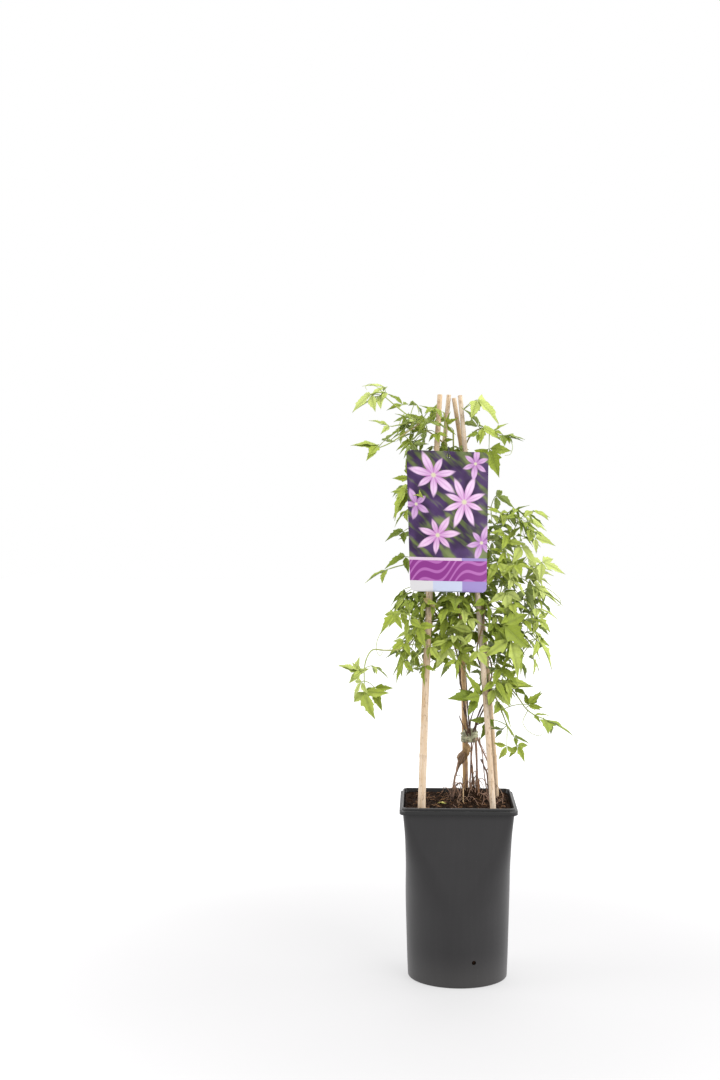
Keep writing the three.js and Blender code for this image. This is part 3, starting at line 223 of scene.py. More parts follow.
class Graph:
    """Adds nodes to a shader or geometry tree."""

    def __init__(self, tree: bpy.types.NodeTree) -> None:
        """Args: tree: the tree that nodes go into."""
        self.tree = tree

    def plug(self, socket: bpy.types.NodeSocket, value: Any) -> None:
        """Links a value to a socket, or sets it there.

        Args:
            socket: an input of a node.
            value: a flow, a number, a name or a colour.
        """
        if isinstance(value, Flow):
            self.tree.links.new(value.socket, socket)
            return
        if socket.type == "RGBA" and isinstance(value, tuple) and len(value) == 3:
            value = (*value, 1.0)
        socket.default_value = value

    def add(self, kind: str, settings: dict | None = None, sockets: dict | None = None) -> bpy.types.Node:
        """Adds a node.

        Args:
            kind: its type.
            settings: its properties, set first. stops are a colour ramp's places and colours.
            sockets: the values or links of its inputs, by name or by number.

        Returns:
            The node.
        """
        node = self.tree.nodes.new(kind)
        for name, value in (settings or {}).items():
            if name == "stops":
                self._set_stops(node.color_ramp, value)
            else:
                setattr(node, name, value)
        for key, value in (sockets or {}).items():
            self.plug(node.inputs[key], value)
        return node

    @staticmethod
    def _set_stops(ramp: bpy.types.ColorRamp, stops: Sequence[tuple[float, Colour]]) -> None:
        """Gives a colour ramp its stops.

        Args:
            ramp: the node's ramp.
            stops: each with its place and colour.
        """
        while len(ramp.elements) < len(stops):
            ramp.elements.new(0.5)
        for element, (place, colour) in zip(ramp.elements, stops):
            element.position = place
            element.color = (*colour, 1.0)

    def get(self, kind: str, output: Any, settings: dict | None = None, sockets: dict | None = None) -> Flow:
        """Adds a node and gives one of its outputs.

        Args:
            kind: the node's type.
            output: the output's name or number.
            settings: its properties.
            sockets: its inputs.

        Returns:
            The output.
        """
        return Flow(self, self.add(kind, settings, sockets).outputs[output])

    def sum(self, operation: str, *values: Any) -> Flow:
        """Adds the Math or Vector Math node for an operation on values.

        Args:
            operation: its name in both nodes.
            *values: flows, numbers or vectors.

        Returns:
            The result.
        """
        vectors = [v for v in values if isinstance(v, tuple) or (isinstance(v, Flow) and v.is_vector)]
        if not vectors:
            return self.get("ShaderNodeMath", 0, {"operation": operation}, dict(enumerate(values)))
        if operation == "MULTIPLY" and len(vectors) == 1:
            scale = next(v for v in values if v is not vectors[0])
            return self.get("ShaderNodeVectorMath", 0, {"operation": "SCALE"}, {0: vectors[0], 3: scale})
        return self.get("ShaderNodeVectorMath", 0, {"operation": operation}, dict(enumerate(values)))

    def blend(self, share: Any, a: Any, b: Any) -> Flow:
        """Mixes two colours.

        Args:
            share: how much of b.
            a: the colour at 0.
            b: the colour at 1.

        Returns:
            The mixed colour.
        """
        settings = {"data_type": "RGBA", "blend_type": "MIX", "clamp_factor": True}
        return self.get("ShaderNodeMix", 2, settings, {0: share, 6: a, 7: b})

    def noise(self, where: Any, scale: Any, detail: float = 3.0, rough: float = 0.5) -> Flow:
        """Noise from about 0 to 1 over a place."""
        sockets = {"Vector": where, "Scale": scale, "Detail": detail, "Roughness": rough}
        return self.get("ShaderNodeTexNoise", 0, {"noise_dimensions": "3D"}, sockets)

    def parts(self, vector: Flow) -> tuple[Flow, Flow, Flow]:
        """The three numbers of a vector."""
        outputs = self.add("ShaderNodeSeparateXYZ", None, {0: vector}).outputs
        return Flow(self, outputs[0]), Flow(self, outputs[1]), Flow(self, outputs[2])

    def join(self, x: Any, y: Any, z: Any = 0.0) -> Flow:
        """A vector of three numbers."""
        return self.get("ShaderNodeCombineXYZ", 0, None, {0: x, 1: y, 2: z})


class ShaderGraph(Graph):
    """The nodes of one material."""

    def __init__(self, name: str) -> None:
        """Args: name: the material's name."""
        self.material = bpy.data.materials.new(name)
        self.material.use_nodes = True
        super().__init__(self.material.node_tree)
        self.tree.nodes.clear()
        self.output = self.add("ShaderNodeOutputMaterial")
        self.surface = self.add("ShaderNodeBsdfPrincipled")
        self.place = self.get("ShaderNodeTexCoord", "Object")
        self.finish(Flow(self, self.surface.outputs[0]))

    def finish(self, shader: Flow) -> None:
        """Makes a shader the one that the material shows."""
        self.plug(self.output.inputs["Surface"], shader)

    def set(self, **values: Any) -> None:
        """Sets sockets of the main shader, with _ for a blank in a socket's name."""
        for name, value in values.items():
            self.plug(self.surface.inputs[name.replace("_", " ")], value)

    def attribute(self, name: str) -> Flow:
        """One number of the mesh, by its attribute's name."""
        return self.get("ShaderNodeAttribute", "Fac", {"attribute_name": name})

    def vector_attribute(self, name: str) -> tuple[Flow, Flow, Flow]:
        """Three numbers of the mesh, by their attribute's name."""
        return self.parts(self.get("ShaderNodeAttribute", "Vector", {"attribute_name": name}))

    def stretched(self, x: float, y: float, z: float) -> Flow:
        """The place on the object, with each side multiplied."""
        return self.get("ShaderNodeMapping", 0, None, {"Vector": self.place, "Scale": (x, y, z)})

    def bump(self, height: Flow, depth: float, strength: float = 1.0) -> None:
        """Lifts the surface.

        Args:
            height: from 0 to 1.
            depth: what 1 is, in metres.
            strength: of the whole.
        """
        sockets = {"Strength": strength, "Distance": depth, "Height": height}
        self.set(Normal=self.get("ShaderNodeBump", 0, None, sockets))


class GrowthTree(Graph):
    """A geometry node tree with named inputs."""

    KINDS = {
        "number": "NodeSocketFloat",
        "whole": "NodeSocketInt",
        "material": "NodeSocketMaterial",
        "collection": "NodeSocketCollection",
    }

    def __init__(self, name: str, inputs: dict[str, str]) -> None:
        """Args: name: the tree's name. inputs: the kind of each input, by its name."""
        super().__init__(bpy.data.node_groups.new(name, "GeometryNodeTree"))
        face = self.tree.interface
        face.new_socket(name="Geometry", in_out="OUTPUT", socket_type="NodeSocketGeometry")
        face.new_socket(name="Geometry", in_out="INPUT", socket_type="NodeSocketGeometry")
        for label, kind in inputs.items():
            face.new_socket(name=label, in_out="INPUT", socket_type=self.KINDS[kind])
        self.entry = self.add("NodeGroupInput")

    def input(self, name: str) -> Flow:
        """One of the tree's inputs."""
        return Flow(self, self.entry.outputs[name])

    def named(self, name: str, kind: str = "FLOAT") -> Flow:
        """An attribute of the geometry."""
        return self.get("GeometryNodeInputNamedAttribute", 0, {"data_type": kind}, {"Name": name})

    def children(self, name: str) -> Flow:
        """The things of a collection that is one of the inputs, each as an instance of its own."""
        sockets = {"Collection": self.input(name), "Separate Children": True, "Reset Children": True}
        return self.get("GeometryNodeCollectionInfo", 0, None, sockets)

    def end(self, geometry: Flow) -> None:
        """Realizes the instances, sets the material and closes the tree.

        Args:
            geometry: what the tree has made.
        """
        real = self.get("GeometryNodeRealizeInstances", 0, None, {"Geometry": geometry})
        sockets = {"Geometry": real, "Material": self.input("Material")}
        last = self.get("GeometryNodeSetMaterial", 0, None, sockets)
        self.add("NodeGroupOutput", None, {0: last})

    def run(self, thing: bpy.types.Object, **values: Any) -> bpy.types.Object:
        """Runs the tree on an object and leaves a plain mesh.

        Args:
            thing: the object, whose mesh the tree starts from.
            values: its inputs, with _ for a blank in a name.

        Returns:
            The same object.
        """
        modifier = thing.modifiers.new("growth", "NODES")
        modifier.node_group = self.tree
        for item in self.tree.interface.items_tree:
            key = item.name.replace(" ", "_")
            if item.in_out == "INPUT" and key in values:
                modifier[item.identifier] = values[key]
        return plain(thing)


def plain(thing: bpy.types.Object) -> bpy.types.Object:
    """Turns an object with modifiers into a plain mesh.

    Args:
        thing: the object.

    Returns:
        The same object.
    """
    graph = bpy.context.evaluated_depsgraph_get()
    made = bpy.data.meshes.new_from_object(
        thing.evaluated_get(graph), preserve_all_data_layers=True, depsgraph=graph
    )
    thing.modifiers.clear()
    old = thing.data
    thing.data = made
    if old.users == 0:
        bpy.data.meshes.remove(old)
    made.name = thing.name
    return thing


def discard(collection: bpy.types.Collection) -> None:
    """Removes a helper collection and all that is in it.

    Args:
        collection: what is removed.
    """
    for item in list(collection.objects):
        bpy.data.objects.remove(item)
    bpy.data.collections.remove(collection)


# Meshes


def mesh_object(
    name: str,
    points: Array,
    faces: Iterable[Sequence[int]] = (),
    edges: Iterable[Sequence[int]] = (),
    collection: bpy.types.Collection | None = None,
) -> bpy.types.Object:
    """Makes an object of a mesh.

    Args:
        name: of the object.
        points: rows of x, y, z in millimetres.
        faces: the points of each face, counterclockwise from outside.
        edges: pairs of points.
        collection: where it goes, else the scene's own.

    Returns:
        The object.
    """
    mesh = bpy.data.meshes.new(name)
    rows = [tuple(map(int, f)) for f in faces]
    mesh.from_pydata((np.asarray(points) * MM).tolist(), list(edges), rows)
    mesh.update()
    thing = bpy.data.objects.new(name, mesh)
    (collection or bpy.context.scene.collection).objects.link(thing)
    return thing


def mark(thing: bpy.types.Object, name: str, values: Array, kind: str = "FLOAT") -> None:
    """Gives the points of a mesh an attribute.

    Args:
        thing: the object.
        name: of the attribute.
        values: one row for each point.
        kind: the type of a row.
    """
    layer = thing.data.attributes.new(name, kind, "POINT")
    values = np.ascontiguousarray(values, dtype=np.int32 if kind == "INT" else np.float32)
    layer.data.foreach_set("vector" if kind == "FLOAT_VECTOR" else "value", values.ravel())


def smooth(thing: bpy.types.Object) -> bpy.types.Object:
    """Shades all faces smooth."""
    thing.data.polygons.foreach_set("use_smooth", [True] * len(thing.data.polygons))
    return thing


def dress(thing: bpy.types.Object, *materials: bpy.types.Material) -> bpy.types.Object:
    """Gives an object its materials.

    Args:
        thing: the object.
        *materials: for its slots, in order.

    Returns:
        The same object.
    """
    thing.data.materials.clear()
    for material in materials:
        thing.data.materials.append(material)
    return thing


def rings_to_faces(count: int, around: int, closed: bool = False) -> list[tuple[int, ...]]:
    """The faces between rings of points, with a fan at each end.

    Args:
        count: how many rings.
        around: how many points in one.
        closed: whether the last ring joins the first, with no ends.

    Returns:
        The faces. The two points of the ends follow those of the rings.
    """
    faces: list[tuple[int, ...]] = []
    for r in range(count if closed else count - 1):
        s = (r + 1) % count
        for i in range(around):
            j = (i + 1) % around
            faces.append((r * around + i, r * around + j, s * around + j, s * around + i))
    if closed:
        return faces
    low, high, last = count * around, count * around + 1, (count - 1) * around
    for i in range(around):
        j = (i + 1) % around
        faces.append((low, j, i))
        faces.append((high, last + i, last + j))
    return faces


def loft(name: str, rings: Sequence[Array], ends: tuple[Array, Array] | None = None) -> bpy.types.Object:
    """A closed surface through rings of points, each counterclockwise from above.

    Args:
        name: of the object.
        rings: from the first to the last.
        ends: the points of the two fans, else the middles of the end rings.

    Returns:
        The object.
    """
    first, last = ends or (rings[0].mean(axis=0), rings[-1].mean(axis=0))
    points = np.vstack([*rings, first, last])
    return smooth(mesh_object(name, points, rings_to_faces(len(rings), len(rings[0]))))


def smooth_path(points: Sequence[Any], steps: int) -> Array:
    """Points at even steps of the smooth curve through a list of points.

    Args:
        points: what the curve goes through.
        steps: how many steps it is cut into.

    Returns:
        One row more than the steps.
    """
    p = np.array(points, dtype=float)
    n = len(p)
    out = []
    for k in range(steps + 1):
        place = (n - 1) * k / steps
        i = min(int(place), n - 2)
        w = place - i
        before = p[i - 1] if i > 0 else 2 * p[0] - p[1]
        after = p[i + 2] if i + 2 < n else 2 * p[n - 1] - p[n - 2]
        a, b = p[i], p[i + 1]
        ta, tb = (b - before) / 2, (after - a) / 2
        out.append(a + ta * w + (3 * (b - a) - 2 * ta - tb) * w**2 + (2 * (a - b) + ta + tb) * w**3)
    return np.array(out)


def path_length(points: Sequence[Any]) -> float:
    """The length of a path of straight steps."""
    p = np.array(points, dtype=float)
    return float(np.linalg.norm(np.diff(p, axis=0), axis=1).sum())


# The plant's plan


@dataclass(frozen=True)
class CanePlan:
    """A bamboo cane.

    soil and head are its axis where it enters the soil and at its top, radius its radius at both, bow how far
    it bends aside halfway up, and joints the heights of its rings. In the soil it leans back in, down to the
    height foot, where foot_share is left of its way out.
    """

    soil: Point
    head: Point
    radius: tuple[float, float]
    bow: tuple[float, float]
    joints: tuple[float, ...]
    foot: float = 65.5
    foot_share: float = 0.76

    def at(self, z: float) -> Array:
        """Its axis at a height. Below the soil it leans back in.

        Args:
            z: the height.

        Returns:
            The point.
        """
        soil, head = np.array(self.soil, float), np.array(self.head, float)
        if z >= soil[2]:
            up = (z - soil[2]) / (head[2] - soil[2])
            return mix(soil, head, up) + arr(*self.bow, 0) * 4 * up * (1 - up)
        share = mix(1, self.foot_share, (soil[2] - z) / (soil[2] - self.foot))
        return arr(soil[0] * share, soil[1] * share, z)

    def radius_at(self, z: float) -> float:
        """Its radius at a height, without the rings."""
        share = max(0.0, (z - self.soil[2]) / (self.head[2] - self.soil[2]))
        return mix(self.radius[0], self.radius[1], share)

    def climb(self, low: float, high: float, start: float, turns: float) -> list[Array]:
        """Points that wind up round it.

        Args:
            low: the first height.
            high: the last height.
            start: the first turn, in degrees.
            turns: how many times round.

        Returns:
            The points of a climbing stem's axis.
        """
        reach_out, per_turn = 2.8, 6
        steps = rounded(abs(turns) * per_turn)
        out = []
        for i in range(steps + 1):
            z = mix(low, high, i / steps)
            a = math.radians(start + 360 * turns * i / steps)
            reach = self.radius_at(z) + reach_out
            out.append(self.at(z) + arr(reach * math.cos(a), reach * math.sin(a), 0))
        return out


CANES: dict[str, CanePlan] = {
    "front_left": CanePlan(
        (-43.4, -42, 209.5), (-22, -9, 700.5), (4.5, 2.9), (-1.9, -1.5), (271.5, 385.5, 508.5, 643.5)
    ),
    "front_right": CanePlan(
        (41.1, -42, 209.5), (2, -9, 699.5), (3.5, 2.7), (1.8, -1.5), (241.5, 347.5, 474.5, 614.5)
    ),
    "back_left": CanePlan(
        (-44, 42, 209.5), (-11, 9, 701.5), (3.4, 2.7), (-3.6, 2.5), (295.5, 427.5, 569.5, 671.5)
    ),
    "back_right": CanePlan((49, 42, 209.5), (-5, 9, 697.5), (3.2, 2.7), (6, 4), (258.5, 374.5, 501.5, 651.5)),
    "middle": CanePlan((11, 38, 209.5), (3.5, 15, 543.5), (3.4, 2.9), (0, 0), (250.5, 369.5, 483.5)),
}


@dataclass(frozen=True)
class Swell:
    """Where a stem is thickened: at what height, to what radius, and how far up and down."""

    height: float
    radius: float
    spread: float


@dataclass(frozen=True)
class Clump:
    """Leaves by rule: the clump's centre, how far it reaches, how many leaves, and their length."""

    centre: Point
    reach: Point
    count: int
    length: float


@dataclass(frozen=True)
class StemPlan:
    """A stem's route from under the soil, its side shoots, its listed leaves, and its clumps.

    A listed leaf is its hub and the tip of its end leaflet. fill holds the clumps of finer leaves that only
    the looks have, more holds such leaves, listed one by one, each with how it is rolled, and tendrils are
    thin curling shoots.
    """

    name: str
    radius: tuple[float, float]
    route: Sequence[Any]
    shoots: Sequence[Sequence[Point]]
    leaves: Sequence[tuple[Point, Point]]
    clumps: Sequence[Clump]
    fill: Sequence[Clump] = ()
    more: Sequence[tuple[Point, Point, float]] = ()
    tendrils: Sequence[Sequence[Point]] = ()
    swell: Swell | None = None


STEMS = (
    StemPlan(
        name="middle",
        radius=(1.3, 1.0),
        swell=Swell(259.5, 5.6, 10),
        route=[
            (-4.5, 30, 183.5), (-4.5, 30, 209.5), (-3.2, 28, 232), (2.5, 25.5, 250), (6, 25.5, 262),
            (10.5, 26, 274.5), (12.2, 27, 285.5), (12, 23, 303.5), (5, 10, 343.5), (1, -8, 375.5),
            (3, -15, 413.5), (0, -11, 458.5), (-4, -4, 508.5), (-4, -2, 558.5), (-5, -2, 608.5),
            (-6, -5, 658.5),
        ],
        shoots=[[(1, -12, 381.5), (10, -32, 369.5), (20, -40, 349.5)]],
        leaves=[
            ((20, -42, 341.5), (-12, -54, 344.5)), ((14, 2, 446.5), (-14, -3, 431.5)),
            ((26, -34, 427.5), (2, -42, 430.5)), ((-14, -32, 399.5), (-27, -44, 375.5)),
            ((-10, -34, 395.5), (-10, -48, 367.5)), ((-4, -34, 401.5), (10, -46, 381.5)),
            ((-16, -22, 433.5), (-25, -32, 407.5)), ((-12, -24, 455.5), (-32, -38, 449.5)),
            ((6, -30, 455.5), (14, -50, 443.5)), ((-6, -14, 663.5), (2, -30, 675.5)),
        ],
        clumps=[Clump((-10, -32, 415.5), (28, 12, 36), 6, 27)],
        fill=[
            Clump((0, -22, 425), (25, 16, 38), 20, 27), Clump((-8, -10, 468), (32, 14, 24), 16, 27),
            Clump((-4, -12, 448), (36, 14, 30), 18, 25), Clump((-8, -4, 634), (22, 10, 5), 8, 20),
        ],
        more=[((26, -44, 344), (12, -50, 372), 0.1)],
    ),
    StemPlan(
        name="front_left",
        radius=(1.25, 0.85),
        route=[
            (8, 46, 183.5), (8, 46, 209.5), (9, 42.5, 250), (8.5, 39.5, 285.5), (8, 38, 310), (6, 36, 340),
            (3, 32, 370), (-4, 22, 398), (-14, 8, 420), (-26, -10, 437),
            *CANES["front_left"].climb(448, 603.5, 60, 1.75),
        ],
        shoots=[
            [
                (-24, -6, 434), (-43, -15, 421), (-60, -36, 402), (-81, -50, 397.5), (-101, -51, 398.5),
                (-110, -51, 382.5), (-111, -51, 361.5),
            ],
            [(-34, -33, 415.5), (-52, -40, 435.5), (-70, -45, 441.5)],
        ],
        leaves=[
            ((-115, -52, 372.5), (-139, -56, 383.5)), ((-114, -50, 360.5), (-127, -48, 341.5)),
            ((-109, -52, 349.5), (-101, -53, 314.5)), ((-104, -46, 375.5), (-85, -42, 361.5)),
            ((-64, -47, 385.5), (-77, -52, 361.5)), ((-75, -46, 440.5), (-94, -50, 418.5)),
            ((-56, -42, 455.5), (-72, -46, 449.5)), ((-58, -40, 433.5), (-66, -52, 409.5)),
            ((-50, -38, 427.5), (-42, -52, 399.5)), ((-40, -40, 377.5), (-44, -50, 355.5)),
            ((-50, -42, 389.5), (-62, -58, 379.5)), ((-63, -24, 507.5), (-89, -33, 495.5)),
            ((-61, -22, 585.5), (-82, -32, 556.5)), ((-60, -16, 591.5), (-66, -10, 617.5)),
        ],
        clumps=[
            Clump((-42, -34, 415.5), (22, 12, 42), 5, 26), Clump((-56, -8, 563.5), (12, 22, 46), 3, 26),
        ],
        fill=[
            Clump((-53, -26, 424), (14, 12, 36), 12, 26), Clump((-46, -20, 456), (20, 12, 14), 9, 25),
        ],
        tendrils=[
            [
                (-70, -45, 441.5), (-84, -47, 429), (-94, -48, 414), (-97, -49, 400), (-93, -49, 391),
                (-89, -48, 396),
            ],
            [(-34, -33, 415.5), (-44, -46, 398), (-52, -52, 388), (-50, -54, 378), (-45, -53, 381)],
        ],
        more=[
            ((-111, -50, 349), (-101, -54, 315), 0.2), ((-117, -50, 372), (-141, -56, 383), -0.3),
            ((-120, -48, 371), (-119, -51, 390), 0.4), ((-59, -20, 592), (-83, -34, 556), 0.1),
        ],
    ),
    StemPlan(
        name="front_right",
        radius=(1.15, 0.85),
        route=[
            (23, 26, 183.5), (23.6, 27, 209.5), (24.4, 30.5, 253.5), (21.6, 31, 284.5), (25, 20, 305.5),
            (34, -8, 329.5), *CANES["front_right"].climb(348.5, 588.5, 10, 2.5),
        ],
        shoots=[
            [(35, -29, 353.5), (46, -26, 337.5), (56, -30, 311.5), (64, -32, 295.5)],
            [(26, -26, 443.5), (48, -31, 457.5), (78, -36, 430.5), (92, -40, 411.5)],
            [(17, -28, 518.5), (44, -24, 527.5), (72, -20, 517.5)],
        ],
        leaves=[
            ((67, -33, 293.5), (85, -37, 289.5)), ((58, -33, 299.5), (44, -37, 306.5)),
            ((60, -34, 288.5), (53, -36, 267.5)), ((68, -34, 286.5), (80, -34, 267.5)),
            ((42, -38, 307.5), (40, -42, 282.5)), ((44, -31, 331.5), (58, -37, 305.5)),
            ((42, -38, 351.5), (63, -44, 333.5)), ((94, -40, 409.5), (115, -41, 377.5)),
            ((78, -38, 433.5), (104, -42, 431.5)), ((60, -46, 411.5), (74, -56, 367.5)),
            ((56, -44, 423.5), (86, -50, 399.5)), ((54, -40, 357.5), (87, -49, 354.5)),
            ((30, -46, 397.5), (45, -52, 375.5)), ((43, -30, 503.5), (63, -40, 477.5)),
            ((56, -32, 465.5), (62, -42, 433.5)), ((34, -34, 455.5), (44, -50, 427.5)),
            ((75, -22, 518.5), (96, -28, 494.5)), ((60, -20, 525.5), (78, -14, 547.5)),
            ((40, -24, 527.5), (60, -38, 515.5)),
        ],
        clumps=[Clump((58, -28, 403.5), (34, 20, 58), 7, 28)],
        fill=[
            Clump((48, -24, 403.5), (28, 18, 56), 20, 27), Clump((50, -20, 493.5), (24, 14, 44), 16, 27),
            Clump((40, -24, 450), (24, 14, 40), 14, 25),
        ],
        more=[
            ((52, -36, 355), (88, -44, 357), 0.2), ((82, -40, 333), (97, -44, 349), 0.3),
            ((65, -34, 405), (80, -42, 372), -0.2),
        ],
    ),
    StemPlan(
        name="back_right",
        radius=(1, 0.85),
        route=[
            (44, 30, 183.5), (44, 31, 209.5), (37, 35, 258.5), (22.8, 35.6, 284.5), (25, 38, 307.5),
            *CANES["back_right"].climb(328.5, 658.5, 205, 3.5), (3, 2, 679.5),
        ],
        shoots=[
            [(33, 27, 359.5), (50, 4, 357.5), (66, -20, 346.5), (82, -34, 325.5), (98, -40, 317.5)],
            [(24, 20, 455.5), (46, 8, 481.5), (74, -8, 481.5), (88, -16, 471.5)],
            [(3, 11, 635.5), (22, -12, 658.5), (40, -24, 653.5), (55, -30, 649.5)],
            [(8, 12, 563.5), (34, 6, 567.5), (62, 0, 551.5), (84, -6, 539.5)],
        ],
        leaves=[
            ((101, -42, 316.5), (136, -49, 301.5)), ((84, -36, 331.5), (97, -38, 349.5)),
            ((94, -38, 321.5), (110, -32, 329.5)), ((68, -22, 348.5), (88, -16, 355.5)),
            ((91, -18, 470.5), (124, -24, 449.5)), ((86, -18, 465.5), (94, -26, 437.5)),
            ((80, -10, 477.5), (98, -2, 493.5)), ((60, -4, 487.5), (84, -2, 509.5)),
            ((87, -8, 538.5), (114, -14, 524.5)), ((60, 0, 555.5), (82, -8, 573.5)),
            ((38, -8, 575.5), (63, -16, 559.5)), ((22, -4, 691.5), (52, -10, 672.5)),
            ((18, -14, 667.5), (5, -22, 690.5)), ((57, -31, 648.5), (76, -36, 646.5)),
            ((42, -25, 655.5), (56, -24, 667.5)), ((30, -20, 657.5), (16, -26, 647.5)),
            ((36, -26, 643.5), (46, -35, 611.5)), ((72, 6, 431.5), (98, 14, 413.5)),
        ],
        clumps=[
            Clump((56, -8, 515.5), (32, 20, 60), 7, 28), Clump((38, 44, 453.5), (30, 18, 120), 4, 29),
        ],
        fill=[
            Clump((60, -4, 503.5), (28, 18, 62), 24, 27), Clump((70, -8, 450), (28, 14, 42), 16, 27),
            Clump((34, 40, 443.5), (28, 16, 110), 10, 25),
        ],
        tendrils=[
            [(82, -34, 325.5), (76, -40, 312), (84, -43, 301), (96, -44, 297), (99, -44, 303)],
            [(55, -30, 649.5), (63, -34, 640), (61, -36, 629), (54, -36, 627)],
            [(88, -16, 471.5), (104, -24, 470), (118, -28, 460), (121, -29, 452), (116, -29, 449)],
        ],
        more=[
            ((22, -10, 694), (51, -20, 670), 0.2), ((51, -30, 651), (78, -36, 648), -0.2),
            ((28, -24, 660), (51, -34, 648), 0.3), ((91, -24, 529), (115, -30, 523), 0.6),
            ((75, -22, 549), (99, -28, 538), -0.5), ((99, -24, 501), (127, -30, 489), 0.5),
            ((97, -26, 467), (127, -30, 455), -0.4),
        ],
    ),
    StemPlan(
        name="back_left",
        radius=(1, 0.85),
        route=[
            (16, 49, 183.5), (16, 49, 209.5), (17.5, 44, 253.5), (17.6, 39.2, 284.5), (14, 42, 307.5),
            (12, 43, 340), (9, 43, 372), (0, 44, 400), (-14, 42, 418),
            *CANES["back_left"].climb(434, 593.5, 15, 1.75), (-14, 4, 625.5), (-15, 2, 653.5),
            (-17, 0, 679.5),
        ],
        shoots=[
            [(-15, 2, 645.5), (-32, -2, 653.5), (-46, -20, 665.5), (-64, -30, 677.5), (-86, -35, 695.5)],
            [(-46, -20, 665.5), (-60, -30, 665.5), (-79, -35, 661.5)],
            [(-52, -26, 663.5), (-74, -40, 645.5), (-95, -45, 635.5)],
            [(-26, 22, 483.5), (-56, 34, 495.5), (-84, 40, 489.5)],
            [(-20, 24, 563.5), (-44, 40, 587.5), (-58, 54, 593.5)],
        ],
        leaves=[
            ((-91, -36, 698.5), (-126, -40, 681.5)), ((-88, -33, 701.5), (-112, -28, 708.5)),
            ((-66, -24, 687.5), (-84, -14, 706.5)), ((-60, -28, 675.5), (-80, -30, 691.5)),
            ((-82, -36, 661.5), (-104, -40, 672.5)), ((-97, -46, 635.5), (-124, -50, 643.5)),
            ((-92, -44, 639.5), (-86, -46, 653.5)), ((-30, 6, 667.5), (-24, 12, 694.5)),
            ((-38, -4, 665.5), (-60, -6, 683.5)), ((-40, -24, 655.5), (-61, -30, 640.5)),
            ((-12, -22, 655.5), (-6, -30, 637.5)), ((-87, 41, 488.5), (-116, 46, 473.5)),
            ((-60, 56, 593.5), (-82, 72, 583.5)),
        ],
        clumps=[
            Clump((-34, -16, 667.5), (24, 14, 24), 4, 25), Clump((-32, 44, 493.5), (28, 18, 130), 5, 29),
        ],
        fill=[
            Clump((-46, -14, 657), (20, 14, 18), 11, 24), Clump((-30, 40, 483.5), (26, 16, 120), 12, 25),
        ],
        tendrils=[
            [(-64, -30, 677.5), (-70, -38, 664), (-71, -42, 648), (-64, -43, 638), (-60, -42, 642)],
            [(-86, -35, 695.5), (-94, -40, 706), (-104, -42, 711), (-110, -43, 708), (-108, -43, 704)],
        ],
        more=[
            ((-85, -40, 701), (-108, -42, 701), 0.2), ((-103, -38, 699), (-127, -44, 680), -0.3),
            ((-95, -44, 639), (-126, -48, 645), 0.1), ((-28, -14, 678), (-44, -20, 690), 0.2),
        ],
    ),
)


@dataclass(frozen=True)
class LabelPlan:
    """The card's place: its corners, how its middle bows to the viewer, and its hole."""

    top_left: Point = (-62, -31, 634.1)
    top_right: Point = (35.3, -31, 630.5)
    bottom_left: Point = (-57, -46, 467.3)
    bottom_right: Point = (32.6, -46, 465.7)
    bow: tuple[float, float] = (2.5, 7)
    thick: float = 0.7
    corner: float = 6
    hole: tuple[float, float] = (0.515, 0.033)
    hole_radius: float = 2.4

    def point(self, across: Any, down: Any) -> Array:
        """Points of its middle surface, across and down it as shares.

        Args:
            across: shares of the width from the left.
            down: shares of the height from the top.

        Returns:
            Rows of x, y, z.
        """
        a, d = np.atleast_1d(across)[:, None], np.atleast_1d(down)[:, None]
        left = mix(np.array(self.top_left, float), np.array(self.bottom_left, float), d)
        right = mix(np.array(self.top_right, float), np.array(self.bottom_right, float), d)
        p = mix(left, right, a)
        bow = mix(self.bow[0], self.bow[1], d) * (1 - (2 * a - 1) ** 2)
        p[:, 1] -= bow[:, 0]
        return p

    def room(self, p: Array) -> Array:
        """How far points lie behind the card, or beside it.

        Args:
            p: rows of x, y, z.

        Returns:
            One number for each point.
        """
        down = (self.top_left[2] - p[:, 2]) / (self.top_left[2] - self.bottom_left[2])
        beside = np.maximum.reduce([
            self.bottom_left[2] - p[:, 2],
            p[:, 2] - self.top_left[2],
            self.top_left[0] - p[:, 0],
            p[:, 0] - self.top_right[0],
        ])
        return np.maximum(beside, p[:, 1] - self.depth(p[:, 0], down))

    def depth(self, x: Array, down: Array) -> Array:
        """Its depth at a place.

        Args:
            x: places across.
            down: shares of the way down.

        Returns:
            Their y.
        """
        f = np.clip(down, 0, 1)
        half = (self.top_right[0] - self.top_left[0]) / 2
        s = (x - (self.top_left[0] + self.top_right[0]) / 2) / half
        depth = self.top_left[1] + (self.bottom_left[1] - self.top_left[1]) * f
        return depth - mix(self.bow[0], self.bow[1], f) * (1 - s * s)


LABEL = LabelPlan()
TIE_TOP = 292
BAND_HEIGHT = 620.5


# Leaves


@dataclass
class Leaflet:
    """One leaflet: where it runs, its other two directions, and its size and bend."""

    run: Array
    up: Array
    across: Array
    length: float
    arch: float
    fold: float


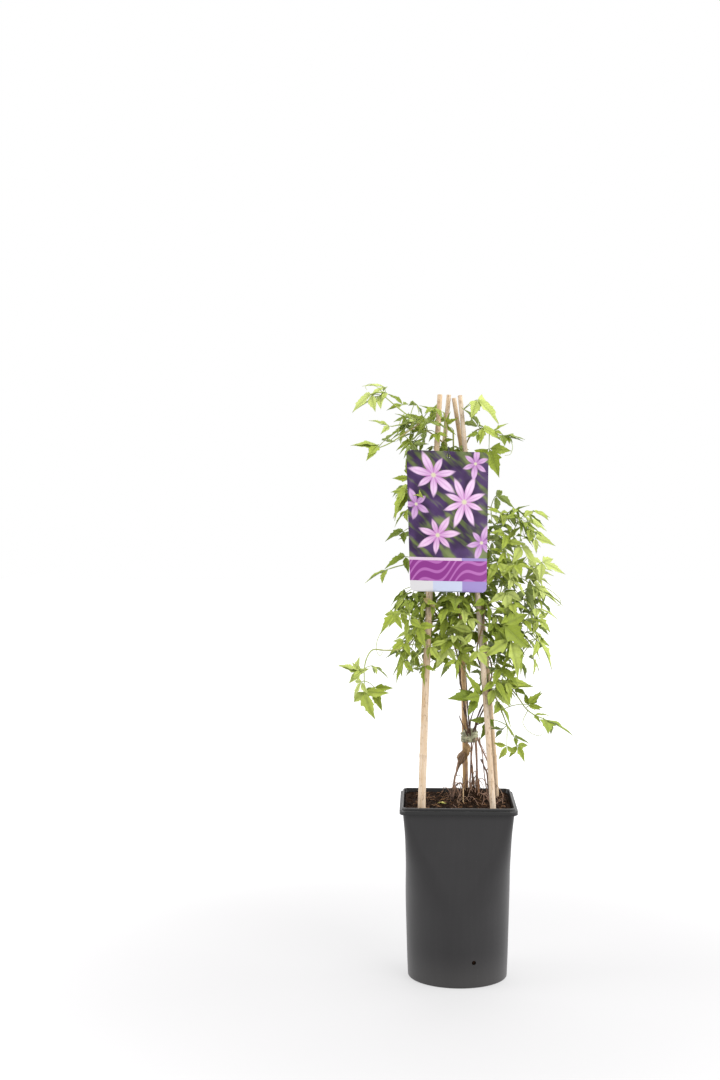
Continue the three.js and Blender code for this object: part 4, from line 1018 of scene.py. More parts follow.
@dataclass
class Leaf:
    """A leaf: its root on a stem, its hub and its three leaflets."""

    root: Array
    hub: Array
    leaflets: list[Leaflet]

    STALK_RISE = 0.35
    STALK_SAMPLES = (0.25, 0.5, 0.8)

    def stalk(self, steps: Any) -> Array:
        """Points of its stalk.

        Args:
            steps: shares of the way from the root.

        Returns:
            A row for each of them.
        """
        t = np.atleast_1d(np.asarray(steps, float))[:, None]
        reach = np.linalg.norm(self.hub - self.root)
        bend = self.root + (unit(self.hub - self.root) + UP * self.STALK_RISE) * reach * 0.5
        return self.root * (1 - t) ** 2 + bend * 2 * t * (1 - t) + self.hub * t * t

    def samples(self) -> Array:
        """The points whose clearance is measured.

        Returns:
            Rows of x, y, z.
        """
        u, v = LeafRule.SAMPLES[:, :1], LeafRule.SAMPLES[:, 1:]
        rows = []
        for part in self.leaflets:
            bend = part.fold * np.abs(v) - part.arch * u * u
            rows.append(self.hub + (part.run * u + part.across * v + part.up * bend) * part.length)
        rows.append(self.stalk(self.STALK_SAMPLES))
        return np.vstack(rows)


class LeafRule:
    """Sets the leaves on their stems, one after another, each clear of all that stands."""

    # How far along and across a leaflet its clearance is measured
    SAMPLES = np.array([
        (0.3, 0), (0.62, 0), (1, 0), (0.5, 0.29), (0.5, -0.29), (0.24, 0.18), (0.24, -0.18), (0.8, 0.06),
    ])

    # The side leaflets' length and turn, how the leaflets bend, and how much each of these varies as a whole
    SIDE_SHARE = 0.8
    SIDE_SPREAD = 1.16
    ARCH = 0.16
    FOLD = 0.3
    VARY_LENGTH = 0.22
    VARY_SPREAD = 0.16
    VARY_ARCH = 1.1
    VARY_FOLD = 0.9
    DROOP = -0.12
    DROOP_MORE = 0.25

    # The clearances from other stems' leaves, from its own stem's, from canes and so on, in millimetres
    TRIES = 60
    CLEAR_OTHER = 6.4
    CLEAR_SAME = 4.2
    CLEAR_CANE = 6.4
    CLEAR_STEM = 4.8
    CLEAR_OWN_STEM = 3.0
    CLEAR_OWN_SET = 0.01
    CLEAR_LABEL = 6.5
    FAR = 14.0
    FILL_CLEAR = 0.5
    STEM_STEP = 17
    SHOOT_STEP = 16
    ROOT_ABOVE_TIE = 6

    # The starts of the draws for the listed leaves, in clumps, in the looks' clumps, and the looks' own
    SEED_SET = 1000
    SEED_CLUMP = 9000
    SEED_FILL = 77000
    SEED_MORE = 88000
    SEED_NEXT = 100

    # How far a hub and a tip may stray, and how far a leaf rolls at the first try and more at the last
    STRAY_HUB = 12
    STRAY_TIP = 8
    ROLL_SET = (0.8, 2.6)
    ROLL_CLUMP = (1.1, 1.0)

    # How a leaf of a clump runs and how long it is: the least, what a draw adds, and what the tries take off
    OUTWARD = 0.7
    SINK = -0.15
    SINK_MORE = 0.9
    LENGTH_LEAST = 0.85
    LENGTH_MORE = 0.35
    LENGTH_LOST = 0.25

    # The tepee's middle for the leaves' faces and for the clumps' runs, and the way that a face looks
    FACE_MIDDLE = (-8, 4)
    RUN_MIDDLE = (-8, 30)
    FACE_UP = (0, -0.2, 0.9)
    FACE_OUT = 0.45

    def __init__(self) -> None:
        """Starts with bare stems."""
        self.paths = [self._paths(stem) for stem in STEMS]
        self.stem_points = [
            np.vstack([np.vstack([path, (path[1:] + path[:-1]) / 2]) for path in own]) for own in self.paths
        ]
        lowest = TIE_TOP + self.ROOT_ABOVE_TIE
        self.roots = [np.vstack([path[path[:, 2] > lowest] for path in own]) for own in self.paths]
        self.placed: list[tuple[int, Array, Array, Array]] = []
        self.leaves: list[list[Leaf]] = [[] for _ in STEMS]

    @staticmethod
    def nearest(points: Array, p: Array) -> Array:
        """The nearest of the points."""
        return points[np.argmin(((points - p) ** 2).sum(axis=1))]

    def _paths(self, stem: StemPlan) -> list[Array]:
        """A stem's own path and its shoots' paths, each started on those before it.

        Args:
            stem: the stem.

        Returns:
            The paths, the stem's own first.
        """
        paths = [smooth_path(stem.route, max(2, rounded(path_length(stem.route) / self.STEM_STEP)))]
        for points in stem.shoots:
            path = smooth_path(points, max(2, rounded(path_length(points) / self.SHOOT_STEP)))
            path[0] = self.nearest(np.vstack(paths), path[0])
            paths.append(path)
        return paths

    def leaf(self, root: Array, hub: Array, tip: Array, face: Array, rng: Draws) -> Leaf:
        """Shapes a leaf.

        Args:
            root: where its stalk starts.
            hub: where its leaflets meet.
            tip: of its end leaflet.
            face: the way that its upper side looks.
            rng: its draws.

        Returns:
            The leaf.
        """
        size = float(np.linalg.norm(tip - hub))
        axis = unit(tip - hub)
        normal = unit(face - axis * face.dot(axis))
        side = np.cross(normal, axis)

        def vary(whole: float) -> float:
            """A share about 1."""
            return 1 + (rng() - 0.5) * whole

        leaflets = []
        for s in (-1, 0, 1):
            turn = s * self.SIDE_SPREAD * vary(self.VARY_SPREAD)
            droop = self.DROOP - self.DROOP_MORE * rng() if s else 0.0
            run = unit(axis * math.cos(turn) + side * math.sin(turn) + normal * droop)
            up = unit(normal - run * normal.dot(run))
            length = size * (self.SIDE_SHARE * vary(self.VARY_LENGTH) if s else 1)
            arch = self.ARCH * vary(self.VARY_ARCH)
            fold = self.FOLD * vary(self.VARY_FOLD)
            leaflets.append(Leaflet(run, up, np.cross(up, run), length, arch, fold))
        return Leaf(root, hub, leaflets)

    def face(self, hub: Array, axis: Array, roll: float) -> Array:
        """Which way a leaf's upper side looks: up and out from the tepee, rolled about its own run.

        Args:
            hub: where its leaflets meet.
            axis: the way that it runs.
            roll: how far it is rolled, in radians.

        Returns:
            The way, at length 1.
        """
        out = unit(arr(hub[0] - self.FACE_MIDDLE[0], hub[1] - self.FACE_MIDDLE[1], 0))
        face = arr(*self.FACE_UP) + out * self.FACE_OUT
        face = unit(face - axis * face.dot(axis))
        return face * math.cos(roll) + np.cross(axis, face) * math.sin(roll)

    def room(self, points: Array, own: int, own_clear: float, ease: float) -> float:
        """How near points come to what they should clear.

        Args:
            points: rows of x, y, z.
            own: the number of the stem that they grow on.
            own_clear: how far they clear that stem.
            ease: what the other clearances are multiplied by.

        Returns:
            The least distance as a share of its clearance. 1 or more is clear.
        """
        room = 2.0
        for cane in CANES.values():
            low = points[points[:, 2] <= cane.head[2] + self.CLEAR_CANE * ease]
            if len(low):
                soil, head = np.array(cane.soil, float), np.array(cane.head, float)
                f = (np.minimum(low[:, 2], head[2]) - soil[2]) / (head[2] - soil[2])
                axis = mix(soil, head, f[:, None]) + arr(*cane.bow, 0) * (4 * f * (1 - f))[:, None]
                off = np.hypot(low[:, 0] - axis[:, 0], low[:, 1] - axis[:, 1])
                room = min(room, off.min() / (self.CLEAR_CANE * ease))
        room = min(room, LABEL.room(points).min() / self.CLEAR_LABEL)
        # What lies further off than this can't bring the room below its start
        least, most = points.min(axis=0) - self.FAR, points.max(axis=0) + self.FAR
        for index, stem in enumerate(self.stem_points):
            near = stem[((stem > least) & (stem < most)).all(axis=1)]
            if len(near):
                clear = own_clear if index == own else self.CLEAR_STEM * ease
                room = min(room, self._least(points, near) / clear)
        for who, low, high, samples in self.placed:
            if (high > least).all() and (low < most).all():
                clear = (self.CLEAR_SAME if who == own else self.CLEAR_OTHER) * ease
                room = min(room, self._least(points, samples) / clear)
        return room

    @staticmethod
    def _least(a: Array, b: Array) -> float:
        """The least distance between two sets of points."""
        return float(np.sqrt(((a[:, None, :] - b[None, :, :]) ** 2).sum(axis=2).min()))

    def settle(self, make: Callable[[float], Leaf], own: int, own_clear: float, ease: float = 1.0) -> None:
        """Tries a leaf in seeded places until it is clear, or keeps the clearest try.

        Args:
            make: shapes a leaf, for how far the tries have come as a share.
            own: the number of its stem.
            own_clear: how far it clears that stem.
            ease: what the other clearances are multiplied by.
        """
        best: Leaf | None = None
        most = -1.0
        for k in range(self.TRIES):
            if most >= 1:
                break
            leaf = make(k / self.TRIES)
            room = self.room(leaf.samples(), own, own_clear, ease)
            if room > most:
                best, most = leaf, room
        samples = best.samples()
        self.placed.append((own, samples.min(axis=0), samples.max(axis=0), samples))
        self.leaves[own].append(best)

    def _set_leaf(self, own: int, number: int, hub: Point, tip: Point) -> None:
        """Settles a listed leaf.

        Args:
            own: the number of its stem.
            number: its own on that stem.
            hub: where its leaflets meet.
            tip: of its end leaflet.
        """
        rng = Draws(self.SEED_SET * (own + 1) + number)
        at0, end0 = np.array(hub, float), np.array(tip, float)
        root = self.nearest(self.roots[own], at0)

        def make(stray: float) -> Leaf:
            """The leaf, strayed from its place by a share.

            Args:
                stray: the share.

            Returns:
                The leaf.
            """
            at = at0 + rng.scatter(self.STRAY_HUB * stray)
            end = end0 + at - at0 + rng.scatter(self.STRAY_TIP * stray)
            roll = (rng() - 0.5) * (self.ROLL_SET[0] + self.ROLL_SET[1] * stray)
            return self.leaf(root, at, end, self.face(at, unit(end - at), roll), rng)

        self.settle(make, own, self.CLEAR_OWN_SET)

    def _clump_leaf(self, own: int, seed: int, clump: Clump, ease: float) -> None:
        """Settles one leaf of a clump.

        Args:
            own: the number of its stem.
            seed: the start of its draws.
            clump: its clump.
            ease: what the clearances are multiplied by.
        """
        rng = Draws(seed)
        centre, reach = np.array(clump.centre, float), np.array(clump.reach, float)

        def make(stray: float) -> Leaf:
            """A leaf somewhere in the clump, shorter the further the tries have come.

            Args:
                stray: how far the tries have come, from 0 to 1.

            Returns:
                The leaf.
            """
            at = centre + rng.scatter(1) * reach
            root = self.nearest(self.roots[own], at)
            away = unit((at - root) * arr(1, 1, 0))
            outward = unit(arr(at[0] - self.RUN_MIDDLE[0], at[1] - self.RUN_MIDDLE[1], 0)) * self.OUTWARD
            run = unit(unit(away + outward) + UP * (self.SINK - self.SINK_MORE * rng()))
            share = self.LENGTH_LEAST + self.LENGTH_MORE * rng()
            end = at + run * clump.length * share * (1 - self.LENGTH_LOST * stray)
            roll = (rng() - 0.5) * (self.ROLL_CLUMP[0] + self.ROLL_CLUMP[1] * stray)
            return self.leaf(root, at, end, self.face(at, run, roll), rng)

        self.settle(make, own, self.CLEAR_OWN_STEM * ease, ease)

    def _clumps(self, own: int, clumps: Sequence[Clump], seed: int, ease: float) -> None:
        """Settles the leaves of a stem's clumps.

        Args:
            own: the number of the stem.
            clumps: its clumps.
            seed: the start of the draws for all the stems.
            ease: what the clearances are multiplied by.
        """
        for k, clump in enumerate(clumps):
            for i in range(clump.count):
                self._clump_leaf(own, seed * (own + 1) + self.SEED_NEXT * k + i, clump, ease)

    def grow(self) -> None:
        """Sets all the leaves: those of the part, then the finer ones that fill its clumps."""
        for own, stem in enumerate(STEMS):
            for i, (hub, tip) in enumerate(stem.leaves):
                self._set_leaf(own, i, hub, tip)
        for own, stem in enumerate(STEMS):
            self._clumps(own, stem.clumps, self.SEED_CLUMP, 1.0)
        for own, stem in enumerate(STEMS):
            self._clumps(own, stem.fill, self.SEED_FILL, self.FILL_CLEAR)
        for own, stem in enumerate(STEMS):
            for i, (hub, tip, roll) in enumerate(stem.more):
                at, end = np.array(hub, float), np.array(tip, float)
                face = self.face(at, unit(end - at), roll)
                root = self.nearest(self.roots[own], at)
                rng = Draws(self.SEED_MORE * (own + 1) + i)
                self.leaves[own].append(self.leaf(root, at, end, face, rng))


# Finishes


@dataclass(frozen=True)
class PotPlastic:
    """Charcoal moulded plastic with faint scuffs, dusty flecks, painted shade on the rim and a painted
    highlight along the lip.
    """

    dark: Colour = (0.0085, 0.0080, 0.0086)
    light: Colour = (0.0165, 0.0156, 0.0166)
    # rim is the painted shade, near black, on the rim and in the mouth above the wall's top
    rim: Colour = (0.0015, 0.0014, 0.0014)
    # This colour makes the dust flecks, the paler foot and the painted highlight along the top of the lip
    dust_and_highlight: Colour = (0.12, 0.115, 0.11)
    rim_shade_from: tuple[float, float] = (0.2050, 0.2064)
    # The heights of the paler foot and of the painted highlight along the top of the lip
    paler_foot: tuple[float, float] = (0.045, 0.0)
    lip_highlight: tuple[float, float] = (0.2128, 0.2140)

    def make(self) -> bpy.types.Material:
        """The material, with painted shade on the rim and in the mouth, paler towards the foot, and a painted
        highlight along the top of the lip.

        Returns:
            The material.
        """
        g = ShaderGraph("charcoal_plastic")
        cloud = g.noise(g.place, 26, 4)
        streak = g.noise(g.stretched(220, 220, 14), 1.0, 4, 0.6)
        fleck = g.noise(g.place, 900, 2).rise(0.66, 0.74)
        base = g.blend(cloud * 0.6 + streak * 0.4, self.dark, self.light)
        _, _, up = g.parts(g.place)
        # Painted shade darkens the rim and the mouth above the wall's top
        base = g.blend(up.rise(*self.rim_shade_from) * 0.75, base, self.rim)
        # Paler towards the foot, and a painted highlight along the top of the lip
        paler_foot_and_lip_highlight = up.rise(*self.paler_foot) * 0.16 + up.rise(*self.lip_highlight) * 0.22
        base = g.blend(paler_foot_and_lip_highlight, base, self.dust_and_highlight)
        g.set(
            Base_Color=g.blend(fleck * streak.rise(0.5, 0.75) * 0.35, base, self.dust_and_highlight),
            Roughness=0.30 + 0.14 * streak,
            Specular_IOR_Level=0.42,
        )
        g.bump(g.noise(g.place, 1500, 2) * 0.6 + streak * 0.4, 0.00012, 0.5)
        return g.material


@dataclass(frozen=True)
class Compost:
    """Dark compost of peat and bark, crumb by crumb."""

    dark: Colour = (0.004, 0.0024, 0.0016)
    middle: Colour = (0.027, 0.0135, 0.0075)
    light: Colour = (0.165, 0.098, 0.050)

    def make(self, name: str, lighter: float = 0.0) -> bpy.types.Material:
        """The material.

        Args:
            name: of the material.
            lighter: how much of the light colour is added in patches.

        Returns:
            The material.
        """
        g = ShaderGraph(name)
        coarse = g.noise(g.place, 130, 5, 0.65)
        fine = g.noise(g.place, 620, 3, 0.6)
        where = {"Vector": g.place, "Scale": 420.0}
        crumbs = g.get("ShaderNodeTexVoronoi", "Distance", {"feature": "F1"}, where)
        base = g.blend(coarse.rise(0.35, 0.65), self.dark, self.middle)
        speck = fine.rise(0.58, 0.74) * 0.5 + coarse.rise(0.62, 0.7) * lighter
        g.set(
            Base_Color=g.blend(speck, base, self.light),
            Roughness=0.93,
            Specular_IOR_Level=0.05,
        )
        g.bump(fine * 0.5 + (1 - crumbs) * 0.5, 0.0012, 0.9)
        return g.material


@dataclass(frozen=True)
class Bamboo:
    """Pale dry bamboo: long fibres, brown freckles, a ring at each joint, and a darker sawn head with painted
    shade down its hollow.
    """

    pale: Colour = (0.545, 0.450, 0.350)
    tan: Colour = (0.395, 0.240, 0.098)
    brown: Colour = (0.13, 0.070, 0.036)

    def make(self) -> bpy.types.Material:
        """The material, which reads the canes' attributes ring, tone and cut.

        Returns:
            The material.
        """
        g = ShaderGraph("bamboo")
        fibre = g.noise(g.stretched(900, 900, 16), 1.0, 4, 0.6)
        patch = g.noise(g.stretched(60, 60, 9), 1.0, 3)
        freckle = g.noise(g.stretched(420, 420, 170), 1.0, 3, 0.6).rise(0.57, 0.67)
        ring = g.attribute("ring")
        tone = g.attribute("tone")
        share = fibre.rise(0.3, 0.7) * 0.45 + patch.rise(0.42, 0.62) * 0.3 + tone * 0.5
        base = g.blend(share, self.pale, self.tan)
        worn = g.blend(freckle * 0.6, base, self.brown)
        joint = g.blend(ring * 0.24, worn, self.brown)
        # cut darkens the sawn end and paints shade down the hollow
        g.set(
            Base_Color=g.blend(g.attribute("cut"), joint, self.brown),
            Roughness=0.46 + 0.2 * fibre,
            Specular_IOR_Level=0.32,
        )
        g.bump(fibre, 0.0003, 0.6)
        return g.material


@dataclass(frozen=True)
class LeafSkin:
    """A clematis leaf: green above with pale veins, greyer below, and light that comes through."""

    deep: Colour = (0.062, 0.092, 0.014)
    green: Colour = (0.190, 0.250, 0.024)
    bright: Colour = (0.355, 0.430, 0.052)
    pale: Colour = (0.54, 0.61, 0.19)
    under: Colour = (0.27, 0.34, 0.15)
    dry: Colour = (0.30, 0.21, 0.075)
    through: Colour = (0.44, 0.55, 0.05)
    side_veins: float = 11.0
    slant: float = 0.45
    glow: float = 0.26

    def make(self, name: str = "leaf_skin") -> bpy.types.Material:
        """The material, which reads the leaflets' attributes flat, tone and age.

        Args:
            name: of the material.

        Returns:
            The material.
        """
        g = ShaderGraph(name)
        u, v, w = g.vector_attribute("flat")
        tone = g.attribute("tone")
        age = g.attribute("age")
        across = abs(v)
        rib = across.rise(0.012, 0.003)
        side = ((u - across * self.slant) * self.side_veins * TURN).cos().rise(0.82, 1.0)
        side = side * across.rise(0.0, 0.02)
        veins = rib.most(side * 0.6)
        cloud = g.noise(g.place, 210, 3)
        ramp = [(0.05, self.deep), (0.40, self.green), (0.72, self.bright), (1.0, self.pale)]
        # tone carries each leaf's own green and the painted light and shade that Foliage sets by place
        top = g.get("ShaderNodeValToRGB", 0, {"stops": ramp}, {0: tone + (cloud - 0.5) * 0.22})
        top = g.blend(veins * 0.36, top, self.pale)
        top = g.blend(across.rise(0.10, 0.0) * 0.22, top, self.deep)
        base = g.blend((0.0 - w).above(0.5) * 0.62, top, self.under)
        base = g.blend(age * cloud.rise(0.25, 0.6), base, self.dry)
        g.set(Base_Color=base, Roughness=0.44 + 0.18 * cloud, Specular_IOR_Level=0.26)
        g.bump((1 - veins) * 0.7 + cloud * 0.4, 0.0006, 1.0)
        lit = g.get("ShaderNodeBsdfTranslucent", 0, None, {"Color": self.through})
        sockets = {0: self.glow, 1: Flow(g, g.surface.outputs[0]), 2: lit}
        g.finish(g.get("ShaderNodeMixShader", 0, None, sockets))
        return g.material


@dataclass(frozen=True)
class StemSkin:
    """Stems: green where they are young, then flushed, dark wood, reddish wood, and old bark."""

    green: Colour = (0.24, 0.29, 0.065)
    flushed: Colour = (0.26, 0.17, 0.08)
    dark: Colour = (0.055, 0.030, 0.019)
    reddish: Colour = (0.310, 0.185, 0.130)
    bark: Colour = (0.215, 0.140, 0.082)
    furrows: Colour = (0.030, 0.017, 0.011)

    def make(self, name: str = "stem_skin") -> bpy.types.Material:
        """The material, which reads the attribute wood.

        Args:
            name: of the material.

        Returns:
            The material.
        """
        g = ShaderGraph(name)
        wood = g.attribute("wood")
        furrow = g.noise(g.stretched(700, 700, 60), 1.0, 4, 0.6)
        patch = g.noise(g.place, 130, 3)
        colours = (self.green, self.flushed, self.dark, self.reddish, self.bark)
        stops = list(zip((0.08, 0.3, 0.52, 0.78, 1.0), colours))
        skin = g.get("ShaderNodeValToRGB", 0, {"stops": stops}, {0: wood + (patch - 0.5) * 0.3})
        g.set(
            Base_Color=g.blend(furrow.rise(0.52, 0.36) * wood.rise(0.1, 0.9) * 0.8, skin, self.furrows),
            Roughness=0.5 + 0.35 * wood,
            Specular_IOR_Level=0.3,
        )
        g.bump(furrow * wood + patch * 0.2, 0.0006, 0.8)
        return g.material


@dataclass(frozen=True)
class TieTape:
    """Grey-green tie tape, creased, with painted light and shade across its creases."""

    # face is the painted light on the tape's folds, and shade the painted shade in its creases
    face: Colour = (0.50, 0.48, 0.31)
    shade: Colour = (0.090, 0.094, 0.054)

    def make(self) -> bpy.types.Material:
        """The material, creased along the turns, with painted shade in the creases and painted light between
        them.

        Returns:
            The material.
        """
        g = ShaderGraph("tie_tape")
        crease = g.noise(g.stretched(160, 160, 520), 1.0, 4, 0.65)
        mottle = g.noise(g.place, 240, 3)
        # Painted light between the creases and painted shade in them
        lit = crease.rise(0.3, 0.68) * 0.6 + mottle.rise(0.4, 0.7) * 0.4
        g.set(Base_Color=g.blend(lit, self.shade, self.face), Roughness=0.55 + 0.2 * mottle)
        g.bump(crease, 0.0009, 0.9)
        return g.material


@dataclass(frozen=True)
class BlackRubber:
    """Black rubber or soft wire, with a little bloom."""

    black: Colour = (0.012, 0.012, 0.014)
    bloom: Colour = (0.05, 0.05, 0.055)

    def make(self, name: str, rough: float) -> bpy.types.Material:
        """The material.

        Args:
            name: of the material.
            rough: its least roughness.

        Returns:
            The material.
        """
        g = ShaderGraph(name)
        grain = g.noise(g.place, 480, 3)
        base = g.blend(grain.rise(0.5, 0.75), self.black, self.bloom)
        g.set(Base_Color=base, Roughness=rough + 0.15 * grain)
        g.bump(grain, 0.0002, 0.5)
        return g.material


@dataclass(frozen=True)
class Bloom:
    """A printed flower: its centre and radius in millimetres, its petals, its turn and its colours."""

    x: float
    y: float
    radius: float
    petals: int
    turn: float
    light: Colour
    deep: Colour


@dataclass(frozen=True)
class CardPrint:
    """The card's print: pink blooms on a dark purple and green ground, over plain bands of colour.

    The bands' places are shares of the way down the card.
    """

    wide: float = 95
    tall: float = 167
    picture_end: float = 0.757
    strip_end: float = 0.777
    band_end: float = 0.922
    night: Colour = (0.020, 0.0085, 0.034)
    plum: Colour = (0.052, 0.024, 0.088)
    moss: Colour = (0.060, 0.078, 0.024)
    fern: Colour = (0.150, 0.180, 0.070)
    white: Colour = (0.62, 0.62, 0.66)
    violet: Colour = (0.215, 0.165, 0.36)
    magenta: Colour = (0.150, 0.012, 0.145)
    rose: Colour = (0.330, 0.110, 0.325)
    pink: Colour = (0.47, 0.36, 0.46)
    lavender: Colour = (0.365, 0.395, 0.50)
    grey: Colour = (0.45, 0.44, 0.45)
    heart: Colour = (0.46, 0.44, 0.30)

    # Where the strip and the foot change colour, as shares of the way across, and how soft the changes are
    STRIP_VIOLET = 0.674
    FOOT_LAVENDER = 0.300
    FOOT_VIOLET = 0.680
    SOFT_ACROSS = 0.002
    SOFT_DOWN = 0.001

    BLOOMS = (
        Bloom(10, 64, 17, 5, 0.7, (0.44, 0.28, 0.46), (0.24, 0.10, 0.27)),
        Bloom(88, 108, 19, 6, 0.2, (0.45, 0.29, 0.47), (0.26, 0.11, 0.29)),
        Bloom(31, 29, 27, 7, 1.1, (0.56, 0.40, 0.56), (0.36, 0.165, 0.36)),
        Bloom(67, 60, 28, 8, 0.4, (0.58, 0.42, 0.57), (0.38, 0.18, 0.37)),
        Bloom(35, 100, 24, 7, 1.9, (0.55, 0.38, 0.53), (0.35, 0.15, 0.34)),
        Bloom(80, 14, 17, 6, 2.5, (0.48, 0.31, 0.49), (0.28, 0.12, 0.30)),
    )

    def _bloom(self, g: ShaderGraph, below: Flow, soft: Flow, x: Flow, y: Flow, bloom: Bloom) -> Flow:
        """Paints one bloom of pointed petals over what is below it.

        Args:
            g: the material's nodes.
            below: the colour so far.
            soft: slow noise for its shade.
            x: the place across in millimetres.
            y: the place down in millimetres.
            bloom: the bloom.

        Returns:
            The colour with the bloom.
        """
        dx, dy = x - bloom.x, y - bloom.y
        r = (dx * dx + dy * dy) ** 0.5 / bloom.radius
        angle = g.sum("ARCTAN2", dy, dx) + bloom.turn
        # 0 along the middle of a petal, 1 between two petals
        apart = g.sum("ARCCOSINE", (angle * bloom.petals).cos() * 0.999) / math.pi
        reach = 1.0 - 0.18 * (angle * 2.0 + bloom.turn).sin()
        edge = (0.26 + 0.74 * (1.0 - apart) ** 0.9) * reach
        mask = (r / edge).rise(1.10, 0.88)
        rib = apart.rise(0.16, 0.0) * r.rise(0.10, 0.35) * r.rise(1.0, 0.7)
        fold = (apart * 9.0).cos() * 0.5 + 0.5
        shade = apart.rise(0.3, 1.0) * 0.55 + rib * 0.3 + fold * 0.14
        shade = shade + r.rise(0.8, 0.1) * 0.55 + soft * 0.4 - 0.2
        petal = g.blend(shade, bloom.light, bloom.deep)
        heart = g.blend(r.rise(0.15, 0.05), petal, self.heart)
        return g.blend(mask, below, heart)

    def make(self) -> bpy.types.Material:
        """The material, which reads the card's own map.

        Returns:
            The material.
        """
        g = ShaderGraph("card_print")
        across, down, _ = g.parts(g.get("ShaderNodeUVMap", 0, {"uv_map": "card"}))
        x, y = across * self.wide, down * self.tall
        soft = g.noise(g.join(across * 1.4, down * 2.4, 0.0), 2.6, 2)
        slant = g.join((across + down * 1.3) * 1.2, (down * 1.75 - across * 0.9) * 4.2, 3.0)
        leafy = g.noise(slant, 1.9, 2)
        ground = g.blend(soft.rise(0.35, 0.65), self.night, self.plum)
        ground = g.blend(leafy.rise(0.46, 0.62), ground, self.moss)
        picture = g.blend((soft + leafy).rise(0.98, 1.30) * 0.8, ground, self.fern)
        for bloom in self.BLOOMS:
            picture = self._bloom(g, picture, soft, x, y, bloom)
        wave = ((x * 0.55 + y * 0.9 + (x * 0.12).sin() * 7.0) * 0.62).cos().rise(0.35, 0.8)
        band = g.blend(wave * 0.7 + 0.1, self.magenta, self.rose)

        def past(way: Flow, place: float, blur: float) -> Flow:
            """1 beyond a place on the way across or down, and 0 before it."""
            return way.rise(place - blur, place + blur)

        strip = g.blend(past(across, self.STRIP_VIOLET, self.SOFT_ACROSS), self.pink, self.violet)
        foot = g.blend(past(across, self.FOOT_LAVENDER, self.SOFT_ACROSS), self.grey, self.lavender)
        foot = g.blend(past(across, self.FOOT_VIOLET, self.SOFT_ACROSS), foot, self.violet)
        printed = picture
        for end, below in ((self.picture_end, strip), (self.strip_end, band), (self.band_end, foot)):
            printed = g.blend(past(down, end, self.SOFT_DOWN), printed, below)
        g.set(Base_Color=printed, Roughness=0.34 + 0.08 * soft, Specular_IOR_Level=0.22)
        g.bump(g.noise(g.place, 34, 2), 0.0004, 0.4)
        return g.material

    def back(self) -> bpy.types.Material:
        """The plain back of the card.

        Returns:
            The material.
        """
        g = ShaderGraph("card_back")
        cloud = g.noise(g.place, 60, 3)
        g.set(Base_Color=g.blend(cloud, self.white, self.grey), Roughness=0.34 + 0.1 * cloud)
        g.bump(cloud, 0.0002, 0.4)
        return g.material


@dataclass(frozen=True)
class DryBark:
    """Dead stems and slivers of bark."""

    light: Colour
    dark: Colour

    def make(self, name: str) -> bpy.types.Material:
        """The material.

        Args:
            name: of the material.

        Returns:
            The material.
        """
        g = ShaderGraph(name)
        furrow = g.noise(g.stretched(620, 620, 90), 1.0, 4, 0.65)
        patch = g.noise(g.place, 150, 3)
        g.set(
            Base_Color=g.blend(furrow.rise(0.32, 0.66) * 0.7 + patch * 0.3, self.dark, self.light),
            Roughness=0.85,
            Specular_IOR_Level=0.25,
        )
        g.bump(furrow, 0.0007, 0.9)
        return g.material


@dataclass(frozen=True)
class StudioFloor:
    """The pale floor, which glows into the white of the studio further out."""

    white: Colour = (0.170, 0.167, 0.170)
    glow: Colour = (1.0, 1.0, 1.0)
    black: Colour = (0.0, 0.0, 0.0)
    glow_from: float = 0.25
    glow_full: float = 1.3
    glow_least: float = 0.55
    glow_more: float = 0.45

    def make(self) -> bpy.types.Material:
        """The material, whose glow grows with the way from the plant.

        Returns:
            The material.
        """
        g = ShaderGraph("studio_floor")
        x, y, _ = g.parts(g.place)
        out = (x * x + y * y) ** 0.5
        share = out.rise(self.glow_from, self.glow_full) * self.glow_more + self.glow_least
        glow = g.blend(share, self.black, self.glow)
        g.set(
            Base_Color=self.white,
            Roughness=0.7 + 0.05 * g.noise(g.place, 3, 2),
            Specular_IOR_Level=0.2,
            Emission_Color=glow,
            Emission_Strength=1.0,
        )
        return g.material


# Growth trees


class TubeTree(GrowthTree):
    """Tubes along chains of points, whose radius is the attribute girth."""

    def __init__(self) -> None:
        """Builds the tree."""
        inputs = {"Sides": "whole", "Lump": "number", "Lump Size": "number", "Material": "material"}
        super().__init__("tubes", inputs)
        curve = self.get("GeometryNodeMeshToCurve", 0, None, {"Mesh": self.input("Geometry")})
        sockets = {"Resolution": self.input("Sides"), "Radius": 1.0}
        ring = self.get("GeometryNodeCurvePrimitiveCircle", 0, None, sockets)
        sockets = {"Curve": curve, "Profile Curve": ring, "Scale": self.named("girth"), "Fill Caps": True}
        tube = self.get("GeometryNodeCurveToMesh", 0, None, sockets)
        lumps = self.noise(self.get("GeometryNodeInputPosition", 0), self.input("Lump Size"), 2)
        offset = self.get("GeometryNodeInputNormal", 0) * ((lumps - 0.5) * self.input("Lump"))
        moved = self.get("GeometryNodeSetPosition", 0, None, {"Geometry": tube, "Offset": offset})
        self.end(self.get("GeometryNodeSetShadeSmooth", 0, None, {"Geometry": moved, "Shade Smooth": True}))


